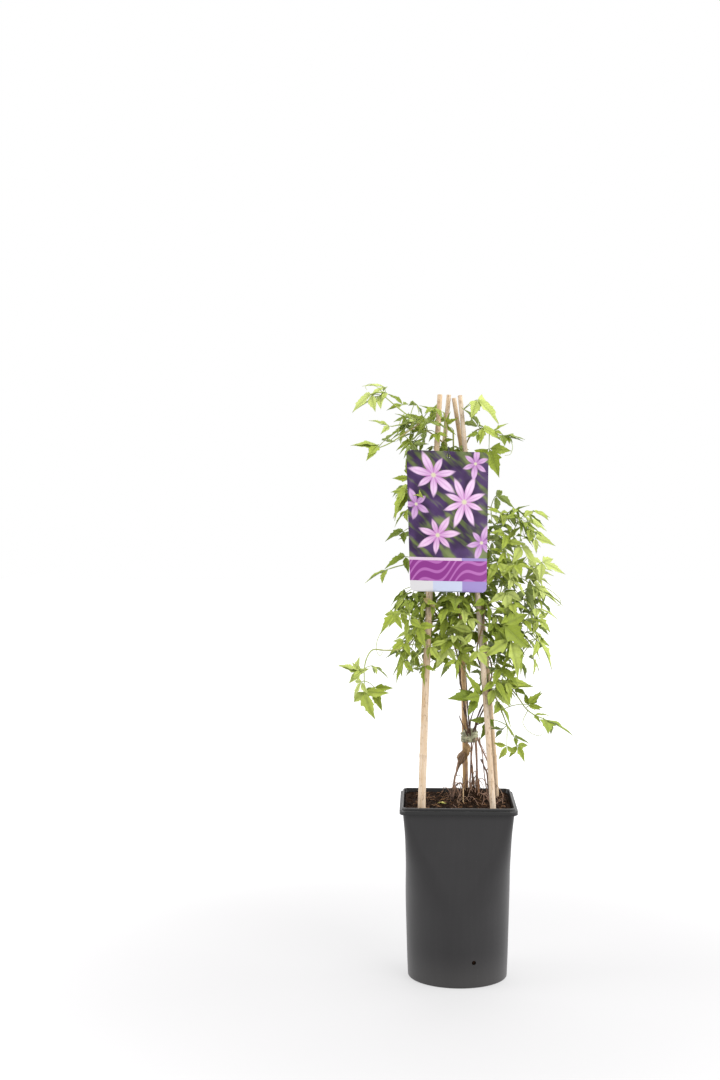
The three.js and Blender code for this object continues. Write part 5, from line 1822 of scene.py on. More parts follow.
class LeafletTree(GrowthTree):
    """Bends a flat blade onto each point, along the directions that the point holds."""

    # What only the tree reads, which its mesh doesn't keep
    HELD = ("hub", "run", "across", "up", "reach", "arch", "fold", "phase", "kind", "slim")
    WAVES = 2.2

    def __init__(self) -> None:
        """Builds the tree."""
        numbers = dict.fromkeys(("Half Thickness", "Ripple"), "number")
        super().__init__("leaflets", {"Blades": "collection", **numbers, "Material": "material"})
        sockets = {
            "Points": self.input("Geometry"),
            "Instance": self.children("Blades"),
            "Pick Instance": True,
            "Instance Index": self.named("kind", "INT"),
        }
        copies = self.get("GeometryNodeInstanceOnPoints", 0, None, sockets)
        real = self.get("GeometryNodeRealizeInstances", 0, None, {"Geometry": copies})
        u, v, w = self.parts(self.named("flat", "FLOAT_VECTOR"))
        length = self.named("reach")
        wave = ((u * self.WAVES + self.named("phase")) * TURN).sin() * abs(v) * self.input("Ripple")
        lift = (self.named("fold") * abs(v) - self.named("arch") * u * u + wave) * length
        lift = lift + w * self.input("Half Thickness")
        vector = "FLOAT_VECTOR"
        place = self.named("hub", vector) + self.named("run", vector) * (u * length)
        aside = v * length * self.named("slim")
        place = place + self.named("across", vector) * aside + self.named("up", vector) * lift
        bent = self.get("GeometryNodeSetPosition", 0, None, {"Geometry": real, "Position": place})
        self.end(self.get("GeometryNodeSetShadeSmooth", 0, None, {"Geometry": bent, "Shade Smooth": True}))

    def bend(self, thing: bpy.types.Object, **values: Any) -> bpy.types.Object:
        """Runs the tree on leaflets' points, and drops what only it reads.

        Args:
            thing: the points.
            values: the tree's inputs.

        Returns:
            The same object.
        """
        self.run(thing, **values)
        for name in self.HELD:
            thing.data.attributes.remove(thing.data.attributes[name])
        return thing


class ScatterTree(GrowthTree):
    """Strews small things over a surface, each turned and sized by seeded draws."""

    MOST_KINDS = 50

    def __init__(self) -> None:
        """Builds the tree."""
        numbers = dict.fromkeys(("Density", "Smallest", "Largest", "Tilt"), "number")
        inputs = {"Things": "collection", **numbers, "Seed": "whole", "Material": "material"}
        super().__init__("scatter", inputs)
        seed = self.input("Seed")
        sockets = {"Mesh": self.input("Geometry"), "Density": self.input("Density"), "Seed": seed}
        spots = self.get("GeometryNodeDistributePointsOnFaces", 0, {"distribute_method": "RANDOM"}, sockets)
        tilt = self.input("Tilt")
        turns = {0: self.join(0.0 - tilt, 0.0 - tilt, -math.pi), 1: self.join(tilt, tilt, math.pi), 8: seed}
        turn = self.get("FunctionNodeRandomValue", 0, {"data_type": "FLOAT_VECTOR"}, turns)
        sizes = {2: self.input("Smallest"), 3: self.input("Largest"), 8: seed + 1}
        size = self.get("FunctionNodeRandomValue", 1, {"data_type": "FLOAT"}, sizes)
        kinds = {4: 0, 5: self.MOST_KINDS, 8: seed + 2}
        pick = self.get("FunctionNodeRandomValue", 2, {"data_type": "INT"}, kinds)
        sockets = {
            "Points": spots,
            "Instance": self.children("Things"),
            "Pick Instance": True,
            "Instance Index": pick,
            "Rotation": turn,
            "Scale": size,
        }
        self.end(self.get("GeometryNodeInstanceOnPoints", 0, None, sockets))


# Pieces


class Slot(Enum):
    """The material slots of the part."""

    POT = "pot_plastic"
    SOIL = "soil"
    BAMBOO = "bamboo"
    TIE = "tie_tape"
    BAND = "band_rubber"
    CARD = "label_card"
    LOOP = "loop_plastic"
    LEAF = "leaf"
    DRY = "dry_stem"
    FALLEN = "fallen_leaf"


def hand_in(piece: bpy.types.Object, slot: Slot, *nodes: str) -> bpy.types.Object:
    """Says what a piece rides on and stands for.

    Args:
        piece: the finished object.
        slot: not used.
        nodes: the nodes it stands for.

    Returns:
        The piece.
    """
    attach(piece, "root")
    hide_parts(*nodes)
    LOG.info("%s: %d faces", piece.name, len(piece.data.polygons))
    return piece


@dataclass
class Pot:
    """The pot: a square with rounded corners at the rim, which turns into a circle lower down."""

    height: float = 214.5
    wall: float = 1.6
    floor: float = 2.6
    per_corner: int = 24
    wall_top: float = 205.2
    rim_reach: float = 4.1
    rim_bottom: float = 205.9
    rim_top: float = 211.4
    rim_round: float = 0.8
    lip_reach: float = 1.1
    mouth_inset: float = 0.5
    foot_inner: float = 52.4
    foot_recess: float = 1.0
    pad: float = 18
    drain_holes: int = 8
    drain_radius: float = 4.2
    drain_circle: float = 36
    side_radius: float = 2.6
    side_height: float = 30.5
    side_turn: float = 17.5
    sharp_from: float = 38

    # Heights with the wall's half width and corner radius
    WALL = (
        (0, 58.2, 58.2), (1.6, 59.8, 59.8), (21, 60.7, 60.7), (57, 61.7, 61.7), (94, 62.7, 62.7),
        (120, 62.6, 50), (136, 62.1, 40), (154, 62.5, 27), (178, 62.9, 15), (205.2, 65.3, 7),
    )
    OUTER_HEIGHTS = (2.2, 5, 10, 18, 27, *np.arange(36, 200, 6.5), 200)
    INNER_HEIGHTS = (196, 187, 178, 166, 154, 145, 136, 128, 120, 107, 94, 60, 30)
    # The foot ring's outer edge: half widths with heights
    FOOT = ((58.2, 0), (59.2, 0.45), (59.7, 1.1))
    # Between these heights the bends are softened over steps up and down
    SOFT_BETWEEN = (12, 190)
    SOFT_STEPS = (-10.5, -5.25, 0, 5.25, 10.5)
    ROD_SIDES = 24
    BASE_ROD = (-3, 4)
    SIDE_ROD = (54, 65)

    def plan_at(self, z: float) -> tuple[float, float]:
        """The wall's plan at a height.

        Args:
            z: the height.

        Returns:
            The half width and the corner radius.
        """
        heights = [row[0] for row in self.WALL]
        half = float(np.interp(z, heights, [row[1] for row in self.WALL]))
        corner = float(np.interp(z, heights, [row[2] for row in self.WALL]))
        return half, corner

    def smooth_plan(self, z: float) -> tuple[float, float]:
        """The same with the bends between the given heights softened.

        Args:
            z: the height.

        Returns:
            The half width and the corner radius.
        """
        low, high = self.SOFT_BETWEEN
        if z < low or z > high:
            return self.plan_at(z)
        rows = [self.plan_at(z + step) for step in self.SOFT_STEPS]
        return float(np.mean([r[0] for r in rows])), float(np.mean([r[1] for r in rows]))

    def ring(self, half: float, corner: float, z: float) -> Array:
        """One ring of the plan.

        Args:
            half: its half width.
            corner: the radius of its corners.
            z: its height.

        Returns:
            Rows of x, y, z, counterclockwise from above.
        """
        corner = min(corner, half)
        c = half - corner
        out = []
        for q, (sx, sy) in enumerate(((1, 1), (-1, 1), (-1, -1), (1, -1))):
            for i in range(self.per_corner):
                a = math.pi / 2 * (q + (i + 0.5) / self.per_corner)
                out.append((sx * c + corner * math.cos(a), sy * c + corner * math.sin(a), z))
        return np.array(out)

    def inner(self, z: float, inset: float) -> Array:
        """A ring inside the wall."""
        half, corner = self.smooth_plan(z)
        return self.ring(half - inset, max(corner - inset, 3), z)

    def _rings(self) -> list[Array]:
        """The rings from under the base up the outside, over the rim and down to the floor.

        Returns:
            The rings, all with as many points.
        """
        pad, foot, recess = self.pad, self.foot_inner, self.foot_recess
        under = ((pad - 0.6, 0), (pad, 0.2), (pad, recess), (foot, recess), (foot, 0.2), (foot + 0.5, 0))
        rings = [self.ring(half, max(half, pad), z) for half, z in (*under, *self.FOOT)]
        for z in (*self.OUTER_HEIGHTS, self.wall_top - 1.2):
            rings.append(self.ring(*self.smooth_plan(float(z)), float(z)))
        half, corner = self.plan_at(self.wall_top)
        out, soft, lip = self.rim_reach, self.rim_round, self.lip_reach
        low, high, top = self.rim_bottom, self.rim_top, self.height
        # How far each ring stands out from the wall, and its height
        over = (
            (0.25, self.wall_top - 0.2), (0.9, low - 0.15), (out - soft, low),
            (out - soft * 0.3, low + soft * 0.3), (out, low + soft), (out, high - soft),
            (out - soft * 0.3, high - soft * 0.3), (out - soft, high), (lip + 0.5, high + 0.05),
            (lip, high + 0.5), (lip, top - 0.55), (lip - 0.16, top - 0.16), (lip - 0.55, top),
            (0.1 - self.mouth_inset, top), (-self.mouth_inset, top - 0.4),
        )
        for reach, z in over:
            rings.append(self.ring(half + reach, corner + reach, z))
        rings.append(self.ring(half - self.wall, corner - self.wall, self.wall_top))
        for z in (*self.INNER_HEIGHTS, self.floor):
            rings.append(self.inner(float(z), self.wall))
        return rings

    def _cutters(self) -> bpy.types.Object:
        """The drain holes as separate rods.

        Returns:
            One object with all the rods.
        """
        points: list[Array] = []
        faces: list[tuple[int, ...]] = []
        sides = self.ROD_SIDES

        def rod(start: Array, end: Array, radius: float) -> None:
            """Adds one rod.

            Args:
                start: the middle of one end.
                end: that of the other.
                radius: its own.
            """
            run = unit(end - start)
            side = unit(np.cross(run, arr(0.3, 0.2, 1) if abs(run[2]) < 0.9 else arr(1, 0, 0)))
            other = np.cross(run, side)
            base = len(points)
            for end_point in (start, end):
                for i in range(sides):
                    a = TURN * i / sides
                    points.append(end_point + side * radius * math.cos(a) + other * radius * math.sin(a))
            points.extend([start, end])
            faces.extend(tuple(base + i for i in face) for face in rings_to_faces(2, sides))

        for i in range(self.drain_holes):
            a = TURN * (i + 0.5) / self.drain_holes
            x, y = self.drain_circle * math.cos(a), self.drain_circle * math.sin(a)
            rod(arr(x, y, self.BASE_ROD[0]), arr(x, y, self.floor + self.BASE_ROD[1]), self.drain_radius)
        a = math.radians(self.side_turn)
        out = arr(math.sin(a), -math.cos(a), 0)
        level = arr(0, 0, self.side_height)
        rod(out * self.SIDE_ROD[0] + level, out * self.SIDE_ROD[1] + level, self.side_radius)
        return mesh_object("cutters", np.array(points), faces)

    def build(self) -> None:
        """Makes the pot."""
        rings = self._rings()
        thing = loft("pot_shell", rings, (arr(0, 0, 0), arr(0, 0, self.floor)))
        cutters = self._cutters()
        cut = thing.modifiers.new("holes", "BOOLEAN")
        cut.operation = "DIFFERENCE"
        cut.solver = "EXACT"
        cut.object = cutters
        plain(thing)
        bpy.data.objects.remove(cutters)
        thing.data.set_sharp_from_angle(angle=math.radians(self.sharp_from))
        hand_in(dress(smooth(thing), PotPlastic().make()), Slot.POT, "pot")


@dataclass(frozen=True)
class Strewn:
    """What lies strewn over the soil.

    name is its piece's, density how many lie on a square metre, smallest and largest its sizes in
    millimetres, tilt how far it leans in radians, and from_ring the first ring of the surface that it covers.
    """

    name: str
    density: float
    smallest: float
    largest: float
    tilt: float
    seed: int
    from_ring: int


@dataclass
class Soil:
    """The filling: rough compost, heaped round the crown, with crumbs and root fibres on it."""

    pot: Pot
    level: float = 209.5
    mound: tuple[float, float] = (18, 18)
    mound_height: float = 14.5
    mound_spread: tuple[float, float] = (22, 17)
    lump: float = 0.8
    rough: float = 1.5
    gap: float = 0.3

    CRUMBS = Strewn("soil_crumbs", 62000, 0.9, 3.6, 3.1, 11, 2)
    FIBRES = Strewn("root_fibres", 9000, 3.5, 9.0, 0.32, 5, 6)
    SIDE_HEIGHTS = (94, 120, 136, 154, 178)
    RINGS = 52
    # The size, the seed and the share of the surface's coarse and fine lumps
    LUMPS = ((6.5, 3.1, 1.0), (2.6, 7.7, 0.6))
    CRUMB_KINDS = 4
    FIBRE_KINDS = 5
    FIBRE_STEPS = 6
    FIBRE_SIDES = 4
    FIBRE_GIRTH = 0.045

    def height_at(self, x: Array, y: Array) -> Array:
        """The surface's height, without its roughness.

        Args:
            x: places across.
            y: places in depth.

        Returns:
            The heights.
        """
        mx, my = self.mound
        sx, sy = self.mound_spread
        heap = np.exp(-(((x - mx) / sx) ** 2) - ((y - my) / sy) ** 2)
        lumps = np.sin(0.21 * x + 1.3) * np.cos(0.17 * y) + 0.6 * np.sin(0.43 * x - 0.37 * y)
        return self.level + self.mound_height * heap + self.lump * lumps

    def _surface(self, shares: Sequence[float]) -> list[Array]:
        """Rings of the surface, from the wall to the top of the heap.

        Args:
            shares: of the way from the top of the heap to the wall.

        Returns:
            A ring for each share.
        """
        edge = self.pot.inner(self.level, self.pot.wall + self.gap)
        mx, my = self.mound
        rings = []
        for share in shares:
            x = mx * (1 - share) + edge[:, 0] * share
            y = my * (1 - share) + edge[:, 1] * share
            p = np.stack([x, y, self.height_at(x, y)], axis=1)
            lumps = sum(part * lumpy(p, size, seed) for size, seed, part in self.LUMPS)
            # The roughness is less at the top and along the wall
            near = np.clip(0.35 + share, 0, 1) if share < 0.99 else 0.3
            p[:, 2] += self.rough * near * lumps
            rings.append(p)
        return rings

    def build(self) -> None:
        """Makes the soil and what lies on it."""
        inset = self.pot.wall + self.gap
        sides = [self.pot.inner(z, inset) for z in (self.pot.floor + self.gap, *self.SIDE_HEIGHTS)]
        shares = [1 - i / self.RINGS for i in range(self.RINGS)]
        top = self._surface(shares)
        mx, my = self.mound
        peak = arr(mx, my, float(self.height_at(np.array(mx), np.array(my))))
        thing = loft("soil_body", sides + top, (arr(0, 0, self.pot.floor + self.gap), peak))
        compost = Compost()
        hand_in(dress(thing, compost.make("compost")), Slot.SOIL, "soil")
        crumb = compost.make("compost_crumbs", 0.5)
        fibre = DryBark((0.36, 0.20, 0.10), (0.08, 0.035, 0.018)).make("root_fibre")
        self._strew(self.CRUMBS, self._crumbs(), shares, crumb)
        smooth(self._strew(self.FIBRES, self._fibres(), shares, fibre))

    def _strew(
        self,
        plan: Strewn,
        things: bpy.types.Collection,
        shares: Sequence[float],
        material: bpy.types.Material,
    ) -> bpy.types.Object:
        """Strews small things over the surface.

        Args:
            plan: how they lie.
            things: what is strewn, made 1 mm in size, which is removed at the end.
            shares: the rings of the whole surface.
            material: its finish.

        Returns:
            The piece.
        """
        rings = self._surface(shares[plan.from_ring :])
        points = np.vstack([*rings, rings[-1].mean(axis=0)])
        around = len(rings[0])
        faces = rings_to_faces(len(rings), around)[: (len(rings) - 1) * around]
        thing = mesh_object(plan.name, points, faces)
        ScatterTree().run(
            thing,
            Things=things,
            Density=plan.density,
            Smallest=plan.smallest,
            Largest=plan.largest,
            Tilt=plan.tilt,
            Seed=plan.seed,
            Material=material,
        )
        discard(things)
        return hand_in(thing, Slot.SOIL, "soil")

    def _crumbs(self) -> bpy.types.Collection:
        """The crumbs, each a dented ball of few faces.

        Returns:
            A collection of them.
        """
        made = bpy.data.collections.new("crumbs")
        rng = Draws(41)
        for k in range(self.CRUMB_KINDS):
            mesh = bmesh.new()
            bmesh.ops.create_icosphere(mesh, subdivisions=1, radius=0.5)
            for vertex in mesh.verts:
                vertex.co *= rng.between(0.65, 1.15)
                vertex.co.z *= 0.75
            item = mesh_object(f"crumb_{k}", np.zeros((0, 3)), (), (), made)
            mesh.to_mesh(item.data)
            item.data.transform(Matrix.Scale(MM, 4))
            mesh.free()
        return made

    def _fibres(self) -> bpy.types.Collection:
        """The bent fibres, each a thin tube.

        Returns:
            A collection of them.
        """
        made = bpy.data.collections.new("fibres")
        rng = Draws(43)
        steps, sides = self.FIBRE_STEPS, self.FIBRE_SIDES
        turns = [TURN * j / sides for j in range(sides)]
        for k in range(self.FIBRE_KINDS):
            bends = [arr(-0.5, 0, 0)]
            bends.append(arr(-0.15, rng.between(-0.16, 0.16), 0.10))
            bends.append(arr(0.2, rng.between(-0.2, 0.2), 0.16))
            bends.append(arr(0.55, rng.between(-0.3, 0.3), rng.between(-0.05, 0.16)))
            path = smooth_path(bends, steps)
            rings = []
            for i, p in enumerate(path):
                girth = self.FIBRE_GIRTH * (1 - 0.5 * i / steps)
                rings.append(p + np.array([(0, girth * math.cos(a), girth * math.sin(a)) for a in turns]))
            points = np.vstack([*rings, path[0], path[-1]])
            mesh_object(f"fibre_{k}", points, rings_to_faces(len(rings), sides), (), made)
        return made


class Canes:
    """The five bamboo canes."""

    SIDES = 20
    STEP = 13.0
    HOLLOW_DEEP = 7.0
    TONES = {"front_left": 0.12, "front_right": -0.3, "back_left": 0.3, "back_right": 0.45, "middle": 1.2}
    RING_SWELL = 0.4
    RING_CLEAR = 6
    # Above and below a ring's middle: how far, the share of its swell, and how dark it is there
    RING = (
        (-5, -0.04, 0.0), (-2.4, 0.12, 0.1), (-1.0, 0.55, 0.35), (-0.35, 1.0, 0.5), (0.1, 0.45, 1.0),
        (0.6, 0.5, 1.0), (1.1, 0.95, 0.3), (2.2, 0.4, 0.05), (4.5, 0.0, 0.0),
    )
    # The sawn head with its hollow: how far down, the share of the radius, and how dark it is, the sawn end's
    # own darker colour on the end and painted shade down the hollow
    HEAD = ((0.0, 0.93, 0.15), (0.0, 0.5, 0.5), (0.8, 0.42, 1), (HOLLOW_DEEP, 0.36, 1))
    OVAL = 0.035
    WOBBLE = 0.02
    WOBBLE_TURN = 0.071

    def _stops(self, cane: CanePlan, seed: int) -> list[tuple[float, float, float]]:
        """Where the rings of a cane's mesh lie.

        Args:
            cane: the cane.
            seed: its number.

        Returns:
            Heights up the cane, each with how much it swells there and how dark its ring is.
        """
        rng = Draws(900 + seed)
        stops = {z: (0.0, 0.0) for z in np.arange(cane.foot, cane.head[2] - 3, self.STEP)}
        for joint in cane.joints:
            for z in [z for z in stops if abs(z - joint) < self.RING_CLEAR]:
                del stops[z]
            swell = self.RING_SWELL * rng.between(0.8, 1.2)
            for off, share, dark in self.RING:
                stops[joint + off] = (swell * share, dark)
        stops[cane.head[2] - 0.5] = (0.0, 0.0)
        return [(z, *stops[z]) for z in sorted(stops)]

    def _cane(self, seed: int, name: str, cane: CanePlan) -> bpy.types.Object:
        """Makes one cane.

        Args:
            seed: its number.
            name: its own.
            cane: its plan.

        Returns:
            The object, with the attributes that its finish reads.
        """
        head = np.array(cane.head, float)
        lean = unit(head - np.array(cane.soil, float))
        side = unit(np.cross(arr(0, 1, 0), lean))
        other = np.cross(lean, side)
        turns = [TURN * i / self.SIDES for i in range(self.SIDES)]
        circle = np.array([side * math.cos(a) + other * math.sin(a) for a in turns])
        oval = 1 + self.OVAL * np.array([math.cos(2 * a + seed) for a in turns])
        rings, ring_marks, head_cut_and_hollow_shade = [], [], []
        for z, swell, dark in self._stops(cane, seed):
            wobble = 1 + self.WOBBLE * math.sin(z * self.WOBBLE_TURN + seed)
            radius = (cane.radius_at(z) + swell) * wobble
            rings.append(cane.at(z) + circle * (radius * oval)[:, None])
            ring_marks.append(dark)
            head_cut_and_hollow_shade.append(0.0)
        for down, share, cut in self.HEAD:
            rings.append(head - lean * down + circle * cane.radius[1] * share)
            ring_marks.append(0.0)
            head_cut_and_hollow_shade.append(cut)
        thing = loft(f"bamboo_{name}", rings, (cane.at(cane.foot), head - lean * self.HOLLOW_DEEP))
        mark(thing, "ring", np.concatenate([np.repeat(ring_marks, self.SIDES), [0, 0]]))
        # cut holds the sawn end's darker colour and the painted shade down the hollow
        mark(thing, "cut", np.concatenate([np.repeat(head_cut_and_hollow_shade, self.SIDES), [0, 1]]))
        mark(thing, "tone", np.full(len(thing.data.vertices), self.TONES[name]))
        return thing

    def build(self) -> None:
        """Makes the canes."""
        bamboo = Bamboo().make()
        for seed, (name, cane) in enumerate(CANES.items()):
            hand_in(dress(self._cane(seed, name, cane), bamboo), Slot.BAMBOO, f"cane_{name}")


@dataclass
class Tie:
    """The tape that is wound round the middle cane and the stems."""

    x: float = 15.2
    y: float = 33
    low: float = 277.2
    high: float = TIE_TOP + 1.6
    half_x: float = 9.7
    half_y: float = 9.0
    groove: float = 1.0
    around: int = 96
    rings: int = 26
    turns: float = 3.5
    pinch: float = 2.4
    slope: float = 1.8

    # How far the tape bulges, how many times round, and from which turn
    BULGES = ((0.9, 2, 0.9), (0.7, 3, 2.2))
    BULGE_TWIST = 2.5
    # The depth of the creases, how flat they lie, their size and their seed
    CREASES = ((1.7, 0.7, 6.0, 1.7), (0.8, 1.5, 2.6, 5.3), (0.35, 2.4, 1.3, 8.1))

    def _ring(self, share: float) -> Array:
        """One ring of the tape.

        Args:
            share: of the way up.

        Returns:
            Its points.
        """
        a = TURN * np.arange(self.around) / self.around
        grooves = self.groove * (0.5 + 0.5 * math.cos(TURN * self.turns * share)) ** 3
        belly = -self.pinch * abs(2 * share - 1) ** 5 - grooves
        (first, times, start), (second, more, begin) = self.BULGES
        twist = self.BULGE_TWIST * share
        bulge = first * np.sin(times * a + start) + second * np.sin(more * a + begin + twist)
        z = mix(self.low, self.high, share) + self.slope * np.sin(a + 0.6) * math.sin(math.pi * share)
        out = np.stack([np.cos(a), np.sin(a), 0 * a], axis=1)
        reach = arr(self.half_x, self.half_y, 0) + (belly + bulge)[:, None]
        ring = arr(self.x, self.y, 0) + out * reach + z[:, None] * UP
        crease = 0
        for deep, flat, size, seed in self.CREASES:
            crease = crease + deep * lumpy(ring * arr(1, 1, flat), size, seed)
        return ring + out * crease[:, None]

    def build(self) -> None:
        """Makes the wound tape, with the edges of its turns and its creases."""
        thing = loft("stem_tape", [self._ring(share) for share in np.linspace(0, 1, self.rings)])
        hand_in(dress(thing, TieTape().make()), Slot.TIE, "tie_stems")


@dataclass
class Band:
    """The black band round the four canes: three turns that cross a little."""

    height: float = BAND_HEIGHT
    wire: float = 0.95
    turns: int = 3
    slack: float = 0.35
    spread: float = 2.0

    ORDER = ("front_left", "back_left", "back_right", "front_right")
    # Round each cane, as turns from the way out
    STEPS = (0.72, 0.24, -0.24, -0.72)

    def build(self, tubes: TubeTree) -> None:
        """Makes the band.

        Args:
            tubes: the tree that makes tubes.
        """
        around = [CANES[name] for name in self.ORDER]
        places = [cane.at(self.height) for cane in around]
        middle = np.mean(places, axis=0)
        path = []
        for turn in range(self.turns):
            for i, (cane, p) in enumerate(zip(around, places)):
                share = (turn + i / len(around)) / self.turns
                z = self.height + mix(-self.spread, self.spread, share)
                reach = cane.radius_at(self.height) + self.wire + self.slack
                out = math.atan2(p[1] - middle[1], p[0] - middle[0])
                for angle in (out + step for step in self.STEPS):
                    path.append(arr(p[0] + reach * math.cos(angle), p[1] + reach * math.sin(angle), z))
        thing = chains("cane_band", [(np.array(path), np.full(len(path), self.wire), np.zeros(len(path)))])
        rubber = BlackRubber().make("band_rubber", 0.55)
        tubes.run(thing, Sides=8, Lump=0.0, Lump_Size=100.0, Material=rubber)
        hand_in(thing, Slot.BAND, "band_canes")


def chains(name: str, paths: Sequence[tuple[Array, Array, Array]]) -> bpy.types.Object:
    """An object of chains of points, which tubes are made along.

    Args:
        name: of the object.
        paths: for each chain its points, its radii and how woody it is.

    Returns:
        The object.
    """
    points, edges, girth, wood = [], [], [], []
    start = 0
    for path, radii, woody in paths:
        points.append(path)
        edges += [(start + i, start + i + 1) for i in range(len(path) - 1)]
        girth.append(np.asarray(radii) * MM)
        wood.append(woody)
        start += len(path)
    thing = mesh_object(name, np.vstack(points), (), edges)
    mark(thing, "girth", np.concatenate(girth))
    mark(thing, "wood", np.concatenate(wood))
    return thing


class LabelCard:
    """The picture card and its loop."""

    CELL = 3.2
    EDGE_CLEAR = 1.5
    POINT_CLEAR = 0.8
    HOLE_SIDES = 28
    CORNER_STEPS = 8
    SHARP_FROM = 50
    LOOP_WIRE = 0.75
    LOOP_STEPS = 44
    BAND_WIRE = 1.0
    BAND_SLACK = 0.35
    # The loop's points in depth and height, from the hole, the card's top edge and the band
    LOOP_IN_HOLE = ((-2.4, 0.4), (2.6, -1.2))
    LOOP_OVER_EDGE = ((-2.6, 0.4), (-0.6, 2.8), (6, 2))
    LOOP_ROUND_BAND = ((-0.5, 7), (3.2, 3.6), (3.6, -2), (0.5, -4.6), (-3.2, -2.4))

    def _flat(self) -> tuple[list[Vector], list[tuple[int, int]]]:
        """The card's flat outline, hole and inside.

        Returns:
            Points in millimetres across and down, and the edges that its faces keep.
        """
        wide, tall, corner = CardPrint.wide, CardPrint.tall, LABEL.corner
        outline: list[Vector] = []
        right, foot = wide - corner, tall - corner
        for q, (cx, cy) in enumerate(((corner, corner), (corner, foot), (right, foot), (right, corner))):
            for i in range(self.CORNER_STEPS + 1):
                a = math.pi * (1.5 - q / 2) - (math.pi / 2) * i / self.CORNER_STEPS
                outline.append(Vector((cx + corner * math.cos(a), cy + corner * math.sin(a))))
        hole_at = Vector((LABEL.hole[0] * wide, LABEL.hole[1] * tall))
        sides = self.HOLE_SIDES
        turns = [TURN * i / sides for i in range(sides)]
        hole = [hole_at + LABEL.hole_radius * Vector((math.cos(a), math.sin(a))) for a in turns]
        edges = [(i, (i + 1) % len(outline)) for i in range(len(outline))]
        start = len(outline)
        edges += [(start + i, start + (i + 1) % sides) for i in range(sides)]
        inside: list[Vector] = []
        edge, clear = self.EDGE_CLEAR, self.POINT_CLEAR
        for x in np.linspace(edge, wide - edge, rounded(wide / self.CELL)):
            for y in np.linspace(edge, tall - edge, rounded(tall / self.CELL)):
                p = Vector((float(x), float(y)))
                gap = Vector((max(corner - x, x - wide + corner, 0), max(corner - y, y - tall + corner, 0)))
                if gap.length < corner - clear and (p - hole_at).length > LABEL.hole_radius + clear:
                    inside.append(p)
        return outline + hole + inside, edges

    def build(self, tubes: TubeTree) -> None:
        """Makes the card and the loop.

        Args:
            tubes: the tree that makes tubes.
        """
        wide, tall = CardPrint.wide, CardPrint.tall
        flat, edges = self._flat()
        points, _, faces, *_ = delaunay_2d_cdt(flat, edges, [], 0, 1e-5)
        hole_at = Vector((LABEL.hole[0] * wide, LABEL.hole[1] * tall))
        kept = []
        for face in faces:
            middle = sum((points[i] for i in face), Vector((0, 0))) / len(face)
            if (middle - hole_at).length > LABEL.hole_radius * 0.98:
                kept.append(tuple(face))
        across = np.array([p.x / wide for p in points])
        down = np.array([p.y / tall for p in points])
        base = LABEL.point(across, down)
        half = LABEL.thick / 2
        n = len(points)
        front, back = base - arr(0, half, 0), base + arr(0, half, 0)
        a, b, c = (front[kept[0][k]] for k in range(3))
        if np.cross(b - a, c - a)[1] > 0:
            kept = [tuple(reversed(face)) for face in kept]
        used: dict[tuple[int, int], int] = {}
        for face in kept:
            for i, j in zip(face, face[1:] + face[:1]):
                used[(i, j)] = used.get((i, j), 0) + 1
        rim = [(j, i, i + n, j + n) for (i, j) in used if (j, i) not in used]
        backs = [tuple(i + n for i in reversed(face)) for face in kept]
        thing = mesh_object("label_card", np.vstack([front, back]), [*kept, *backs, *rim])
        layer = thing.data.uv_layers.new(name="card")
        place = np.stack([np.tile(across, 2), np.tile(down, 2)], axis=1)
        loops = np.empty(len(thing.data.loops), dtype=np.int32)
        thing.data.loops.foreach_get("vertex_index", loops)
        layer.data.foreach_set("uv", place[loops].ravel())
        smooth(thing)
        card = CardPrint()
        dress(thing, card.make(), card.back())
        slots = [0] * len(kept) + [1] * (len(backs) + len(rim))
        thing.data.polygons.foreach_set("material_index", slots)
        thing.data.set_sharp_from_angle(angle=math.radians(self.SHARP_FROM))
        hand_in(thing, Slot.CARD, "label")
        self._loop(tubes)

    def _loop(self, tubes: TubeTree) -> None:
        """Makes the loop that hangs the card from the band.

        Args:
            tubes: the tree that makes tubes.
        """
        hole = LABEL.point(*LABEL.hole)[0]
        cane = CANES["front_left"]
        band_y = cane.at(BAND_HEIGHT)[1] - cane.radius[1] - self.BAND_WIRE - self.BAND_SLACK
        top = LABEL.top_left[2]
        (fy, fz), (by, bz) = self.LOOP_IN_HOLE
        path = [arr(hole[0], hole[1] + fy, hole[2] + fz)]
        path += [arr(hole[0], hole[1] + y, top + z) for y, z in self.LOOP_OVER_EDGE]
        path += [arr(hole[0], band_y + y, BAND_HEIGHT + z) for y, z in self.LOOP_ROUND_BAND]
        path.append(arr(hole[0], hole[1] + by, hole[2] + bz))
        path.append(path[0])
        fine = smooth_path(path, self.LOOP_STEPS)
        thing = chains("hanging_loop", [(fine, np.full(len(fine), self.LOOP_WIRE), np.zeros(len(fine)))])
        plastic = BlackRubber().make("loop_plastic", 0.35)
        tubes.run(thing, Sides=10, Lump=0.0, Lump_Size=100.0, Material=plastic)
        hand_in(thing, Slot.LOOP, "label_loop")


